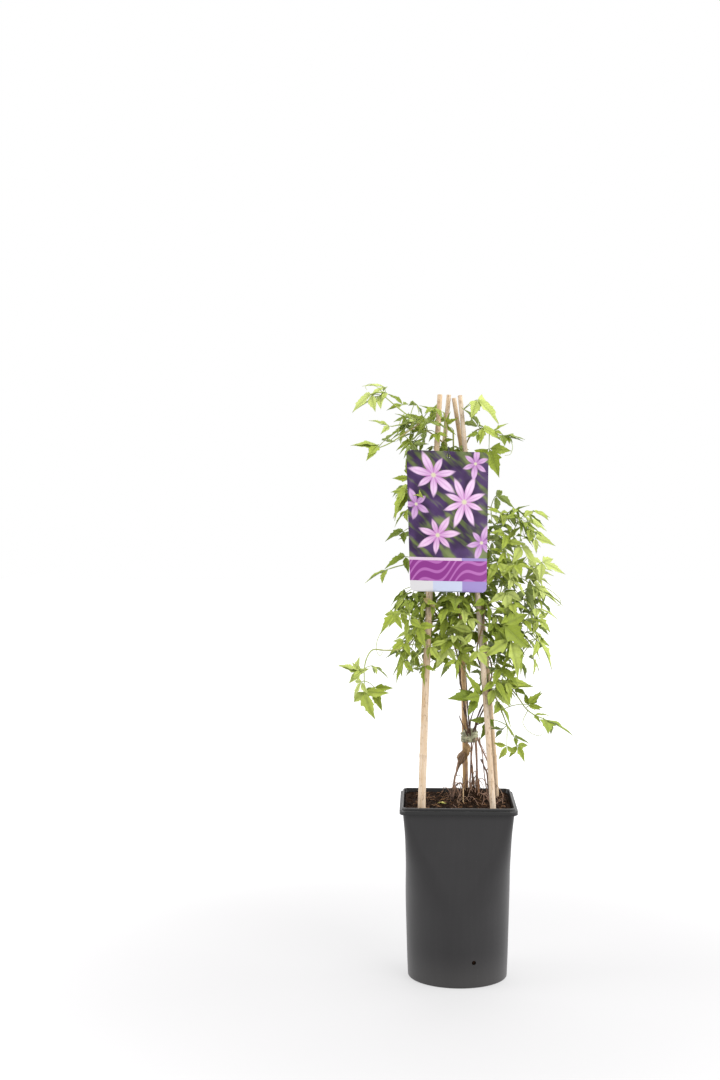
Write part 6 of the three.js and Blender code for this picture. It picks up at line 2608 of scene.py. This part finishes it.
class Blades:
    """Flat leaflet blades with cut edges, which the leaflets are bent from."""

    # How far along and across a half blade each point of its edge lies
    EDGES = (
        (
            (0.08, 0.030), (0.13, 0.085), (0.20, 0.140), (0.28, 0.180), (0.36, 0.212), (0.375, 0.186),
            (0.44, 0.205), (0.51, 0.218), (0.525, 0.170), (0.60, 0.163), (0.68, 0.145), (0.695, 0.106),
            (0.80, 0.068), (0.91, 0.026),
        ),
        (
            (0.08, 0.026), (0.13, 0.080), (0.20, 0.138), (0.27, 0.188), (0.35, 0.232), (0.43, 0.262),
            (0.445, 0.188), (0.50, 0.160), (0.56, 0.155), (0.63, 0.163), (0.645, 0.118), (0.73, 0.098),
            (0.83, 0.056), (0.92, 0.022),
        ),
        (
            (0.08, 0.028), (0.14, 0.090), (0.21, 0.140), (0.29, 0.172), (0.31, 0.150), (0.38, 0.178),
            (0.46, 0.190), (0.475, 0.152), (0.54, 0.158), (0.62, 0.152), (0.632, 0.114), (0.72, 0.096),
            (0.82, 0.058), (0.92, 0.022),
        ),
        (
            (0.08, 0.030), (0.13, 0.085), (0.20, 0.135), (0.27, 0.170), (0.35, 0.192), (0.43, 0.205),
            (0.50, 0.206), (0.515, 0.170), (0.58, 0.158), (0.65, 0.140), (0.72, 0.116), (0.79, 0.086),
            (0.86, 0.054), (0.93, 0.024),
        ),
    )
    # Which edge each blade has on its left and on its right
    PAIRS = ((0, 1), (1, 0), (2, 0), (0, 3), (3, 1), (1, 2), (2, 3), (1, 1))
    # The shares of a half blade's width that its points lie at, and how far the rib's point lies back
    COLUMNS = (1.0, 0.5)
    SLANT = 0.35
    # How much a half blade's width, one point's width and its place along vary
    WIDTHS = (0.88, 1.12)
    WIDTH = (0.96, 1.04)
    ALONG = (-0.006, 0.006)
    THIN = 0.01

    def _rows(self, rng: Draws, left: Sequence, right: Sequence) -> Array:
        """The rows of one blade.

        Args:
            rng: the blade's draws.
            left: its left edge.
            right: its right edge.

        Returns:
            For each row its points from the left edge over the rib to the right one.
        """
        stretch = [rng.between(*self.WIDTHS) for _ in range(2)]
        rows = []
        for at_left, at_right in zip(left, right):
            ends = []
            for side, (u, v), wide in ((-1, at_left, stretch[0]), (1, at_right, stretch[1])):
                ends.append((u + rng.between(*self.ALONG), side * v * wide * rng.between(*self.WIDTH)))
            rib = (ends[0][0] + ends[1][0]) / 2 - self.SLANT * (ends[1][1] - ends[0][1]) / 2
            row = [(mix(rib, ends[0][0], share), ends[0][1] * share) for share in self.COLUMNS]
            row.append((rib, 0.0))
            row += [(mix(rib, ends[1][0], share), ends[1][1] * share) for share in reversed(self.COLUMNS)]
            rows.append(row)
        return np.array(rows)

    def make(self) -> bpy.types.Collection:
        """Makes the blades, as closed flat solids whose attribute flat is their place along, across and up.

        Returns:
            A collection of them.
        """
        made = bpy.data.collections.new("blades")
        for number, (left, right) in enumerate(self.PAIRS):
            rows = self._rows(Draws(600 + number), self.EDGES[left], self.EDGES[right])
            self._blade(made, number, rows)
        return made

    def _blade(self, made: bpy.types.Collection, number: int, rows: Array) -> None:
        """Makes one blade.

        Args:
            made: the collection it goes into.
            number: its own.
            rows: its points.
        """
        count, wide, _ = rows.shape
        flat = np.vstack([rows.reshape(-1, 2), [(0.0, 0.0)], [(1.0, 0.0)]])
        n = len(flat)
        start, tip = n - 2, n - 1
        faces = []
        for r in range(count - 1):
            for i in range(wide - 1):
                a = r * wide + i
                faces.append((a, a + 1, a + wide + 1, a + wide))
        for i in range(wide - 1):
            faces.append((start, i + 1, i))
            faces.append((tip, (count - 1) * wide + i, (count - 1) * wide + i + 1))
        over = [tuple(reversed(face)) for face in faces]
        under = [tuple(i + n for i in face) for face in faces]
        left = [r * wide for r in range(count)]
        right = [r * wide + wide - 1 for r in reversed(range(count))]
        loop = [start, *left, tip, *right]
        pairs = list(zip(loop, loop[1:] + loop[:1]))
        rim = [(b, a, a + n, b + n) for a, b in pairs]
        place = np.column_stack([np.tile(flat, (2, 1)), np.repeat([1.0, -1.0], n)])
        name = f"blade_{number:02d}"
        thing = mesh_object(name, place * arr(1, 1, self.THIN), [*over, *under, *rim], (), made)
        mesh = bmesh.new()
        mesh.from_mesh(thing.data)
        bmesh.ops.recalc_face_normals(mesh, faces=mesh.faces)
        mesh.to_mesh(thing.data)
        mesh.free()
        mark(thing, "flat", place, "FLOAT_VECTOR")
        outline = {frozenset(pair) for pair in pairs}
        outline |= {frozenset(i + n for i in pair) for pair in outline}
        for edge in thing.data.edges:
            edge.use_edge_sharp = frozenset(edge.vertices) in outline


@dataclass
class Foliage:
    """The five stems with their shoots, leaf stalks and leaves."""

    rule: LeafRule
    half_thick: float = 0.17
    ripple: float = 0.12
    slimness: tuple[float, float] = (0.68, 1.1)
    tone: float = 0.58
    tone_vary: float = 0.25
    tone_leaflet: float = 0.06

    # Painted light and shade on the foliage, lighter on the outer leaves and darker inside and at the back: a
    # place, a radius and the change of tone there
    TONES = (
        ((-115, -52, 364), 40, 0.30), ((-115, -38, 694), 44, 0.38), ((112, -30, 482), 50, 0.30),
        ((108, -42, 404), 34, 0.30), ((38, -10, 692), 34, 0.30), ((-14, -34, 412), 46, 0.16),
        ((-64, -20, 590), 36, 0.16), ((-12, -28, 445), 34, 0.12), ((70, -24, 500), 52, 0.26),
        ((84, -30, 440), 40, 0.14), ((0, 0, 484), 40, -0.20), ((50, 8, 444), 36, -0.16),
        ((-20, 10, 644), 34, -0.20), ((30, 34, 404), 50, -0.26), ((-30, 42, 484), 60, -0.20),
        ((90, -36, 316), 40, -0.06),
    )
    # How woody a stem is at heights up it, the old stem first
    WOOD_OLD = ((270, 300, 333, 423, 523), (1.0, 0.6, 0.55, 0.36, 0.12))
    WOOD = ((282, 292, 333, 423, 523), (0.78, 0.55, 0.52, 0.36, 0.12))
    # The radii of shoots, tendrils and leaf stalks at their start and end, and their steps
    SHOOT = (0.95, 0.6)
    SHOOT_WOOD = 0.25
    TENDRIL = (0.45, 0.22)
    TENDRIL_STEPS = 30
    STALK = (0.55, 0.40)
    STALK_STEPS = 7
    STALK_WOOD = 0.05
    # A stem's joints: how far apart, how much thicker, and how short they are
    JOINT_EACH = 34
    JOINT_SWELL = 0.22
    JOINT_SHORT = 0.004

    def _tone(self, hub: Array, rng: Draws) -> float:
        """How light a leaf is: its own tone, with painted light on the outer leaves and painted shade inside
        the foliage.

        Args:
            hub: where it grows.
            rng: its draws.

        Returns:
            A tone from dark at 0 to pale at 1.
        """
        tone = self.tone + rng.between(-self.tone_vary, self.tone_vary)
        for place, reach, change in self.TONES:
            off = np.linalg.norm(hub - np.array(place, float)) / reach
            tone += change * math.exp(-off * off)
        return float(np.clip(tone, 0.05, 0.98))

    def _stems(self, own: int, stem: StemPlan) -> list[tuple[Array, Array, Array]]:
        """The chains of a stem, its shoots, its tendrils and its leaf stalks.

        Args:
            own: the stem's number.
            stem: the stem.

        Returns:
            For each chain its points, its radii and how woody it is.
        """
        out = []
        for k, coarse in enumerate(self.rule.paths[own]):
            steps = (len(coarse) - 1) * 4
            path = smooth_path(coarse, steps)
            t = np.linspace(0, 1, steps + 1)
            if k == 0:
                radii = mix(stem.radius[0], stem.radius[1], t**0.7)
                if stem.swell:
                    off = (path[:, 2] - stem.swell.height) / stem.swell.spread
                    radii = radii + (stem.swell.radius - radii) * np.exp(-off * off * 2)
                wood = np.interp(path[:, 2], *(self.WOOD_OLD if stem.swell else self.WOOD))
            else:
                radii = mix(*self.SHOOT, t)
                wood = mix(self.SHOOT_WOOD, 0.0, t)
            along = (t * path_length(path) / self.JOINT_EACH) % 1 - 0.5
            joints = 1 + self.JOINT_SWELL * np.exp(-(along**2) / self.JOINT_SHORT)
            out.append((path, radii * joints, wood))
        for route in stem.tendrils:
            path = smooth_path(route, self.TENDRIL_STEPS)
            out.append((path, np.linspace(*self.TENDRIL, len(path)), np.zeros(len(path))))
        t = np.linspace(0, 1, self.STALK_STEPS + 1)
        for leaf in self.rule.leaves[own]:
            out.append((leaf.stalk(t), mix(*self.STALK, t), np.full(len(t), self.STALK_WOOD)))
        return out

    def build(self, tubes: TubeTree) -> None:
        """Makes the stems and the leaves.

        Args:
            tubes: the tree that makes tubes.
        """
        blades = Blades()
        kinds = blades.make()
        leaflets = LeafletTree()
        leaf_skin, stem_skin = LeafSkin().make(), StemSkin().make()
        for own, stem in enumerate(STEMS):
            node = f"stem_{stem.name}"
            thing = chains(f"stems_{stem.name}", self._stems(own, stem))
            lump = 0.0022 if stem.swell else 0.0003
            tubes.run(thing, Sides=8, Lump=lump, Lump_Size=170.0, Material=stem_skin)
            hand_in(thing, Slot.LEAF, node)
            points = self._points(f"leaves_{stem.name}", own, len(blades.PAIRS) // 2)
            thick = self.half_thick * MM
            leaflets.bend(points, Blades=kinds, Half_Thickness=thick, Ripple=self.ripple, Material=leaf_skin)
            hand_in(points, Slot.LEAF, node)
        discard(kinds)

    def _points(self, name: str, own: int, shapes: int) -> bpy.types.Object:
        """A point for each leaflet, which holds where it runs, how it bends and what it looks like.

        Args:
            name: of the object.
            own: the stem's number.
            shapes: how many pairs of blades there are.

        Returns:
            The object.
        """
        rows = []
        for number, leaf in enumerate(self.rule.leaves[own]):
            rng = Draws(5000 * (own + 1) + number)
            tone = self._tone(leaf.hub, rng)
            shape = int(rng() * shapes)
            slim = rng.between(*self.slimness)
            for part in leaf.leaflets:
                kind = shape * 2 + int(rng() * 2)
                shade = float(np.clip(tone + rng.between(-self.tone_leaflet, self.tone_leaflet), 0, 1))
                rows.append((leaf.hub, part, kind, shade, rng(), slim))
        return leaflet_points(name, rows)


def leaflet_points(name: str, rows: Sequence[tuple], age: float = 0.0) -> bpy.types.Object:
    """An object with one point for each leaflet.

    Args:
        name: of the object.
        rows: for each leaflet its hub, itself, its blade, its tone, its phase and how slim it is.
        age: how dry all of them are.

    Returns:
        The object.
    """
    hubs = np.array([row[0] for row in rows])
    thing = mesh_object(name, hubs)
    vector = "FLOAT_VECTOR"
    mark(thing, "hub", hubs * MM, vector)
    for label in ("run", "across", "up"):
        mark(thing, label, np.array([getattr(row[1], label) for row in rows]), vector)
    mark(thing, "reach", np.array([row[1].length for row in rows]) * MM)
    for label in ("arch", "fold"):
        mark(thing, label, np.array([getattr(row[1], label) for row in rows]))
    mark(thing, "kind", np.array([row[2] for row in rows]), "INT")
    for column, label in ((3, "tone"), (4, "phase"), (5, "slim")):
        mark(thing, label, np.array([row[column] for row in rows]))
    mark(thing, "age", np.full(len(rows), age))
    return thing


class Crown:
    """Fine twigs round the tie, and the tangle of roots on the heap."""

    # Each twig's points, its radius at both ends, and how woody it is
    TWIGS = (
        (((24, 25, 284), (30, 22, 274), (35, 20, 264.8)), (0.5, 0.3), 0.7),
        (((20.5, 18, 214), (19.2, 18, 233.2), (16.8, 20, 251.2)), (1.2, 0.9), 0.55),
        (((37.5, 6, 206), (36.4, 9, 238), (34.7, 10, 246.9), (27.5, 14, 259.6)), (0.9, 0.5), 0.56),
        (((34.9, 10, 246), (38, 8, 251), (37.4, 7, 256)), (0.8, 0.5), 0.6),
        (((15, 28, 286), (12.5, 25, 302), (6.9, 20, 322)), (1.1, 0.6), 0.54),
        (((18, 28, 286), (22, 26, 298), (31.4, 24, 303)), (1.1, 0.7), 0.5),
        (((16, 26, 286), (16, 22, 304), (21, 15, 322)), (1.0, 0.5), 0.52),
        (((13, 26, 286), (7, 23, 299), (2, 20, 312)), (0.9, 0.5), 0.56),
        (((23.1, 23, 284), (23.8, 20, 270), (24.7, 18, 233), (25.4, 18, 212)), (0.7, 0.9), 0.8),
        (((21, 27, 284), (17.5, 22, 262), (19, 19, 240), (15, 17, 210)), (0.55, 0.7), 0.86),
        (((3.5, 23, 257), (0.4, 22, 252), (-3.3, 18, 227), (-4.4, 17, 206)), (0.8, 0.5), 0.84),
        (((8, 24, 256), (11.5, 20, 240), (9.8, 17, 226), (12, 14, 210)), (0.9, 0.5), 0.9),
        (((27, 30, 284), (31, 24, 262), (33, 20, 240), (38, 18, 206)), (0.6, 0.7), 0.8),
    )
    TWIG_STEPS = 24
    TWIG_NODE_EACH = 19
    ROOTS = 46
    ROOT_CENTRE = (20, 10)
    ROOT_REACH = (30, 22)
    ROOT_STEPS = 28
    ROOT_INSIDE = 54
    # Along a root: the share of its length, the share of its rise, and how far it goes down
    ROOT_ARCH = ((0.0, 0.0, -2.0), (0.25, 0.75, 0.0), (0.55, 1.0, 0.0), (0.8, 0.5, 0.0), (1.0, 0.0, -2.0))

    def _twigs(self) -> list[tuple[Array, Array, Array]]:
        """The twigs' chains.

        Returns:
            For each its points, its radii and how woody it is.
        """
        paths = []
        for route, (thick, thin), wood in self.TWIGS:
            path = smooth_path(route, self.TWIG_STEPS)
            t = np.linspace(0, 1, len(path))
            along = (t * path_length(path) / self.TWIG_NODE_EACH + 0.3) % 1 - 0.5
            nodes = 1 + 0.5 * np.exp(-(along**2) / Foliage.JOINT_SHORT)
            paths.append((path, mix(thick, thin, t) * nodes, np.full(len(path), wood)))
        return paths

    def _roots(self, soil: Soil) -> list[tuple[Array, Array, Array]]:
        """The roots' chains.

        Args:
            soil: what they lie on.

        Returns:
            For each its points, its radii and how woody it is.
        """
        paths = []
        for number in range(self.ROOTS):
            rng = Draws(3300 + number)
            start = rng.scatter(1) * arr(*self.ROOT_REACH, 0) + arr(*self.ROOT_CENTRE, 0)
            run = rng.scatter(1) * arr(1, 1, 0) * rng.between(10, 34)
            rise = rng.between(2, 22) * (1 if number % 3 else 0.4)
            route = []
            for share, up, down in self.ROOT_ARCH:
                p = start + run * share + rng.scatter(2.4) * arr(1, 1, 0)
                p[:2] = np.clip(p[:2], -self.ROOT_INSIDE, self.ROOT_INSIDE)
                ground = float(soil.height_at(p[0], p[1]))
                route.append(arr(p[0], p[1], ground + (up * rise + down)))
            path = smooth_path(route, self.ROOT_STEPS)
            radius = rng.between(0.22, 0.62)
            radii = mix(radius, radius * 0.5, np.linspace(0, 1, len(path)))
            paths.append((path, radii, np.full(len(path), rng.between(0.5, 0.98))))
        return paths

    def build(self, tubes: TubeTree, soil: Soil) -> None:
        """Makes the twigs and the roots.

        Args:
            tubes: the tree that makes tubes.
            soil: what the roots lie on.
        """
        skin = StemSkin().make("twig_skin")
        twigs = chains("crown_twigs", self._twigs())
        tubes.run(twigs, Sides=8, Lump=0.0005, Lump_Size=240.0, Material=skin)
        hand_in(twigs, Slot.DRY, "stem_middle")
        roots = chains("crown_roots", self._roots(soil))
        tubes.run(roots, Sides=5, Lump=0.0002, Lump_Size=240.0, Material=skin)
        hand_in(roots, Slot.DRY, "stem_middle")


@dataclass(frozen=True)
class DryStem:
    """A dry stem: its name, its radius at both ends, its route and its colour."""

    name: str
    radius: tuple[float, float]
    route: Sequence[Point]
    colour: Colour


@dataclass(frozen=True)
class Withered:
    """A withered leaflet: where it runs from and to, how its upper side looks, its colours, slot and node."""

    name: str
    start: Point
    end: Point
    face: Point
    light: Colour
    dark: Colour
    slot: Slot
    node: str


class DryBits:
    """The dry stems round the crown, the yellowed leaflet on the soil and three withered ones."""

    STEMS = (
        DryStem(
            "cut", (1.2, 0.8), ((21.5, 16, 193.5), (20.6, 18, 227.5), (17.4, 19, 247.5)), (0.20, 0.11, 0.06)
        ),
        DryStem(
            "bark", (2.2, 0.5), ((25, 5, 193.5), (25.5, 7, 215.5), (26.3, 11, 236.5)), (0.30, 0.15, 0.075)
        ),
        DryStem(
            "dark", (1.3, 0.7), ((39, 17, 191.5), (37, 19, 236.5), (33, 20, 248.5), (29.6, 21, 258.5)),
            (0.10, 0.055, 0.035),
        ),
        DryStem("pale", (0.9, 0.7), ((6.6, -11, 191.5), (6.7, -8, 209.5), (7, 3, 225.5)), (0.55, 0.38, 0.22)),
        DryStem(
            "bent", (1.1, 0.9),
            ((-6, 20, 195.5), (-4, 21, 219.5), (1.5, 21, 228.3), (6.5, 14, 225.5), (9, 10, 193.5)),
            (0.22, 0.13, 0.08),
        ),
    )
    STEPS = 24
    SHADE = 0.3
    FALLEN_ENDS = ((-24, -8), (-13.5, -14.5))
    FALLEN_ABOVE = 0.9
    FALLEN_AGE = 0.35
    WITHERED_AGE = 0.45
    WITHERED = (
        Withered(
            "withered_leaflet", (-42, -33, 459), (-27, -39, 447), (0, -1, 0.6),
            (0.52, 0.44, 0.20), (0.36, 0.26, 0.10), Slot.LEAF, "stem_front_left",
        ),
        Withered(
            "dried_leaflet", (12.5, 21.5, 280), (9.5, 15.5, 256), (-0.3, -1, 0.2),
            (0.42, 0.27, 0.12), (0.09, 0.050, 0.026), Slot.DRY, "stem_middle",
        ),
        Withered(
            "curled_leaflet", (9.5, 17.5, 268), (1.5, 15.5, 252), (-0.8, -0.6, 0.3),
            (0.24, 0.14, 0.070), (0.035, 0.02, 0.013), Slot.DRY, "stem_middle",
        ),
    )
    # A dead leaflet's blade, tone, phase and slimness, its arch and fold, half its thickness and its ripple
    LOOK = (2, 0.9, 0.3, 1.0)
    BEND = (0.05, 0.3)
    HALF_THICK = 0.25
    RIPPLE = 0.16

    def _stem(self, stem: DryStem, tubes: TubeTree) -> None:
        """Makes one dry stem.

        Args:
            stem: its plan.
            tubes: the tree that makes tubes.
        """
        path = smooth_path(stem.route, self.STEPS)
        radii = mix(*stem.radius, np.linspace(0, 1, len(path)))
        thing = chains(f"dry_{stem.name}", [(path, radii, np.ones(len(path)))])
        dark = tuple(c * self.SHADE for c in stem.colour)
        bark = DryBark(stem.colour, dark).make(f"dry_bark_{stem.name}")
        tubes.run(thing, Sides=8, Lump=0.0006, Lump_Size=260.0, Material=bark)
        hand_in(thing, Slot.DRY, f"dry_stem_{stem.name}")

    def _leaflet(
        self, name: str, start: Array, end: Array, face: Array, skin: LeafSkin, age: float
    ) -> bpy.types.Object:
        """Makes one dead leaflet.

        Args:
            name: of the piece.
            start: where it runs from.
            end: its tip.
            face: the way that its upper side looks.
            skin: its finish.
            age: how dry it is.

        Returns:
            The object.
        """
        run = unit(end - start)
        across = unit(np.cross(face, run))
        part = Leaflet(run, np.cross(run, across), across, float(np.linalg.norm(end - start)), *self.BEND)
        thing = leaflet_points(name, [(start, part, *self.LOOK)], age)
        kinds = Blades().make()
        material = skin.make(f"{name}_skin")
        thick = self.HALF_THICK * MM
        LeafletTree().bend(thing, Blades=kinds, Half_Thickness=thick, Ripple=self.RIPPLE, Material=material)
        discard(kinds)
        return thing

    def build(self, tubes: TubeTree, soil: Soil) -> None:
        """Makes the dry stems and the dead leaflets.

        Args:
            tubes: the tree that makes tubes.
            soil: what the yellowed leaflet lies on.
        """
        for stem in self.STEMS:
            self._stem(stem, tubes)
        ends = []
        for x, y in self.FALLEN_ENDS:
            ends.append(arr(x, y, float(soil.height_at(np.array(x), np.array(y))) + self.FALLEN_ABOVE))
        yellow = LeafSkin(
            green=(0.36, 0.38, 0.06),
            bright=(0.46, 0.46, 0.08),
            pale=(0.56, 0.54, 0.16),
            dry=(0.38, 0.25, 0.07),
        )
        fallen = self._leaflet("fallen_leaflet", *ends, UP, yellow, self.FALLEN_AGE)
        hand_in(fallen, Slot.FALLEN, "fallen_leaf")
        for bit in self.WITHERED:
            light, dark = bit.light, bit.dark
            skin = LeafSkin(
                green=light, bright=light, pale=light, deep=dark, under=light, dry=dark, through=light
            )
            start, end = np.array(bit.start, float), np.array(bit.end, float)
            thing = self._leaflet(bit.name, start, end, arr(*bit.face), skin, self.WITHERED_AGE)
            hand_in(thing, bit.slot, bit.node)


# The studio


@dataclass
class Studio:
    """The camera of the photograph, its pale floor and its soft light.

    The camera's numbers come from a pinhole fitted to the pot's rim and base: how far it stands, how high,
    and how many pixels of a picture 1080 tall the pot's middle lies beside and under the picture's middle.
    """

    distance: float = 1950
    turn: float = -1.27
    height: float = 580.5
    focal_pixels: float = 1618
    picture_tall: float = 1080
    aside_pixels: float = 98
    under_pixels: float = 45
    sensor: float = 36
    floor_half: float = 9000
    floor_under: float = 0.2
    see_to: float = 50

    # Each lamp's name, its place and what it is aimed at in metres, its size and its power
    LAMPS = (
        ("key_lamp", (1.7, -2.0, 2.0), (0, 0, 0.4), 1.8, 70),
        ("right_lamp", (2.3, 0.1, 1.3), (0, 0, 0.3), 2.2, 44),
        ("left_lamp", (-2.3, -0.3, 1.2), (0, 0, 0.3), 1.6, 42),
        ("top_lamp", (0.2, 1.0, 2.5), (0, 0, 0.4), 1.8, 36),
    )

    def _camera(self) -> None:
        """Sets the camera."""
        data = bpy.data.cameras.new("camera")
        data.sensor_width = self.sensor
        data.sensor_fit = "AUTO"
        data.lens = self.focal_pixels / self.picture_tall * self.sensor
        data.clip_end = self.see_to
        camera = bpy.data.objects.new("camera", data)
        bpy.context.scene.collection.objects.link(camera)
        a = math.radians(self.turn)
        place = arr(math.sin(a) * self.distance, -math.cos(a) * self.distance, self.height) * MM
        yaw = math.atan2(-place[1], -place[0]) + math.atan(self.aside_pixels / self.focal_pixels)
        pitch = -math.atan(self.under_pixels / self.focal_pixels)
        ahead = Vector((math.cos(yaw) * math.cos(pitch), math.sin(yaw) * math.cos(pitch), math.sin(pitch)))
        camera.location = place
        camera.rotation_euler = ahead.to_track_quat("-Z", "Y").to_euler()
        bpy.context.scene.camera = camera

    def _lamp(self, name: str, place: Point, aim: Point, size: float, power: float) -> None:
        """Hangs one soft lamp.

        Args:
            name: of the lamp.
            place: where it hangs, in metres.
            aim: what it is aimed at.
            size: the side of its square.
            power: in watts.
        """
        data = bpy.data.lights.new(name, "AREA")
        data.shape = "SQUARE"
        data.size = size
        data.energy = power
        lamp = bpy.data.objects.new(name, data)
        bpy.context.scene.collection.objects.link(lamp)
        lamp.location = place
        lamp.rotation_euler = (Vector(aim) - Vector(place)).to_track_quat("-Z", "Y").to_euler()

    def build(self) -> None:
        """Sets the stage."""
        self._camera()
        half = self.floor_half
        corners = np.array([(-half, -half, 0), (half, -half, 0), (half, half, 0), (-half, half, 0)], float)
        floor = mesh_object("studio_floor", corners - arr(0, 0, self.floor_under), [(0, 1, 2, 3)])
        dress(floor, StudioFloor().make())
        world = bpy.data.worlds.new("studio")
        bpy.context.scene.world = world
        world.use_nodes = True
        sky = world.node_tree.nodes["Background"]
        sky.inputs[0].default_value = (1.0, 1.0, 1.0, 1.0)
        sky.inputs[1].default_value = 1.0
        for lamp in self.LAMPS:
            self._lamp(*lamp)
        view = bpy.context.scene.view_settings
        view.view_transform = "Standard"
        view.look = "None"


def main() -> None:
    """Builds the plant piece by piece, and notes its size."""
    logging.basicConfig(level=logging.INFO, format="%(message)s")
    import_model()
    Studio().build()
    tubes = TubeTree()
    pot = Pot()
    pot.build()
    soil = Soil(pot)
    soil.build()
    Canes().build()
    Tie().build()
    Band().build(tubes)
    LabelCard().build(tubes)
    rule = LeafRule()
    rule.grow()
    LOG.info("leaves: %s", [len(leaves) for leaves in rule.leaves])
    Foliage(rule).build(tubes)
    Crown().build(tubes, soil)
    DryBits().build(tubes, soil)


if __name__ == "__main__":
    main()
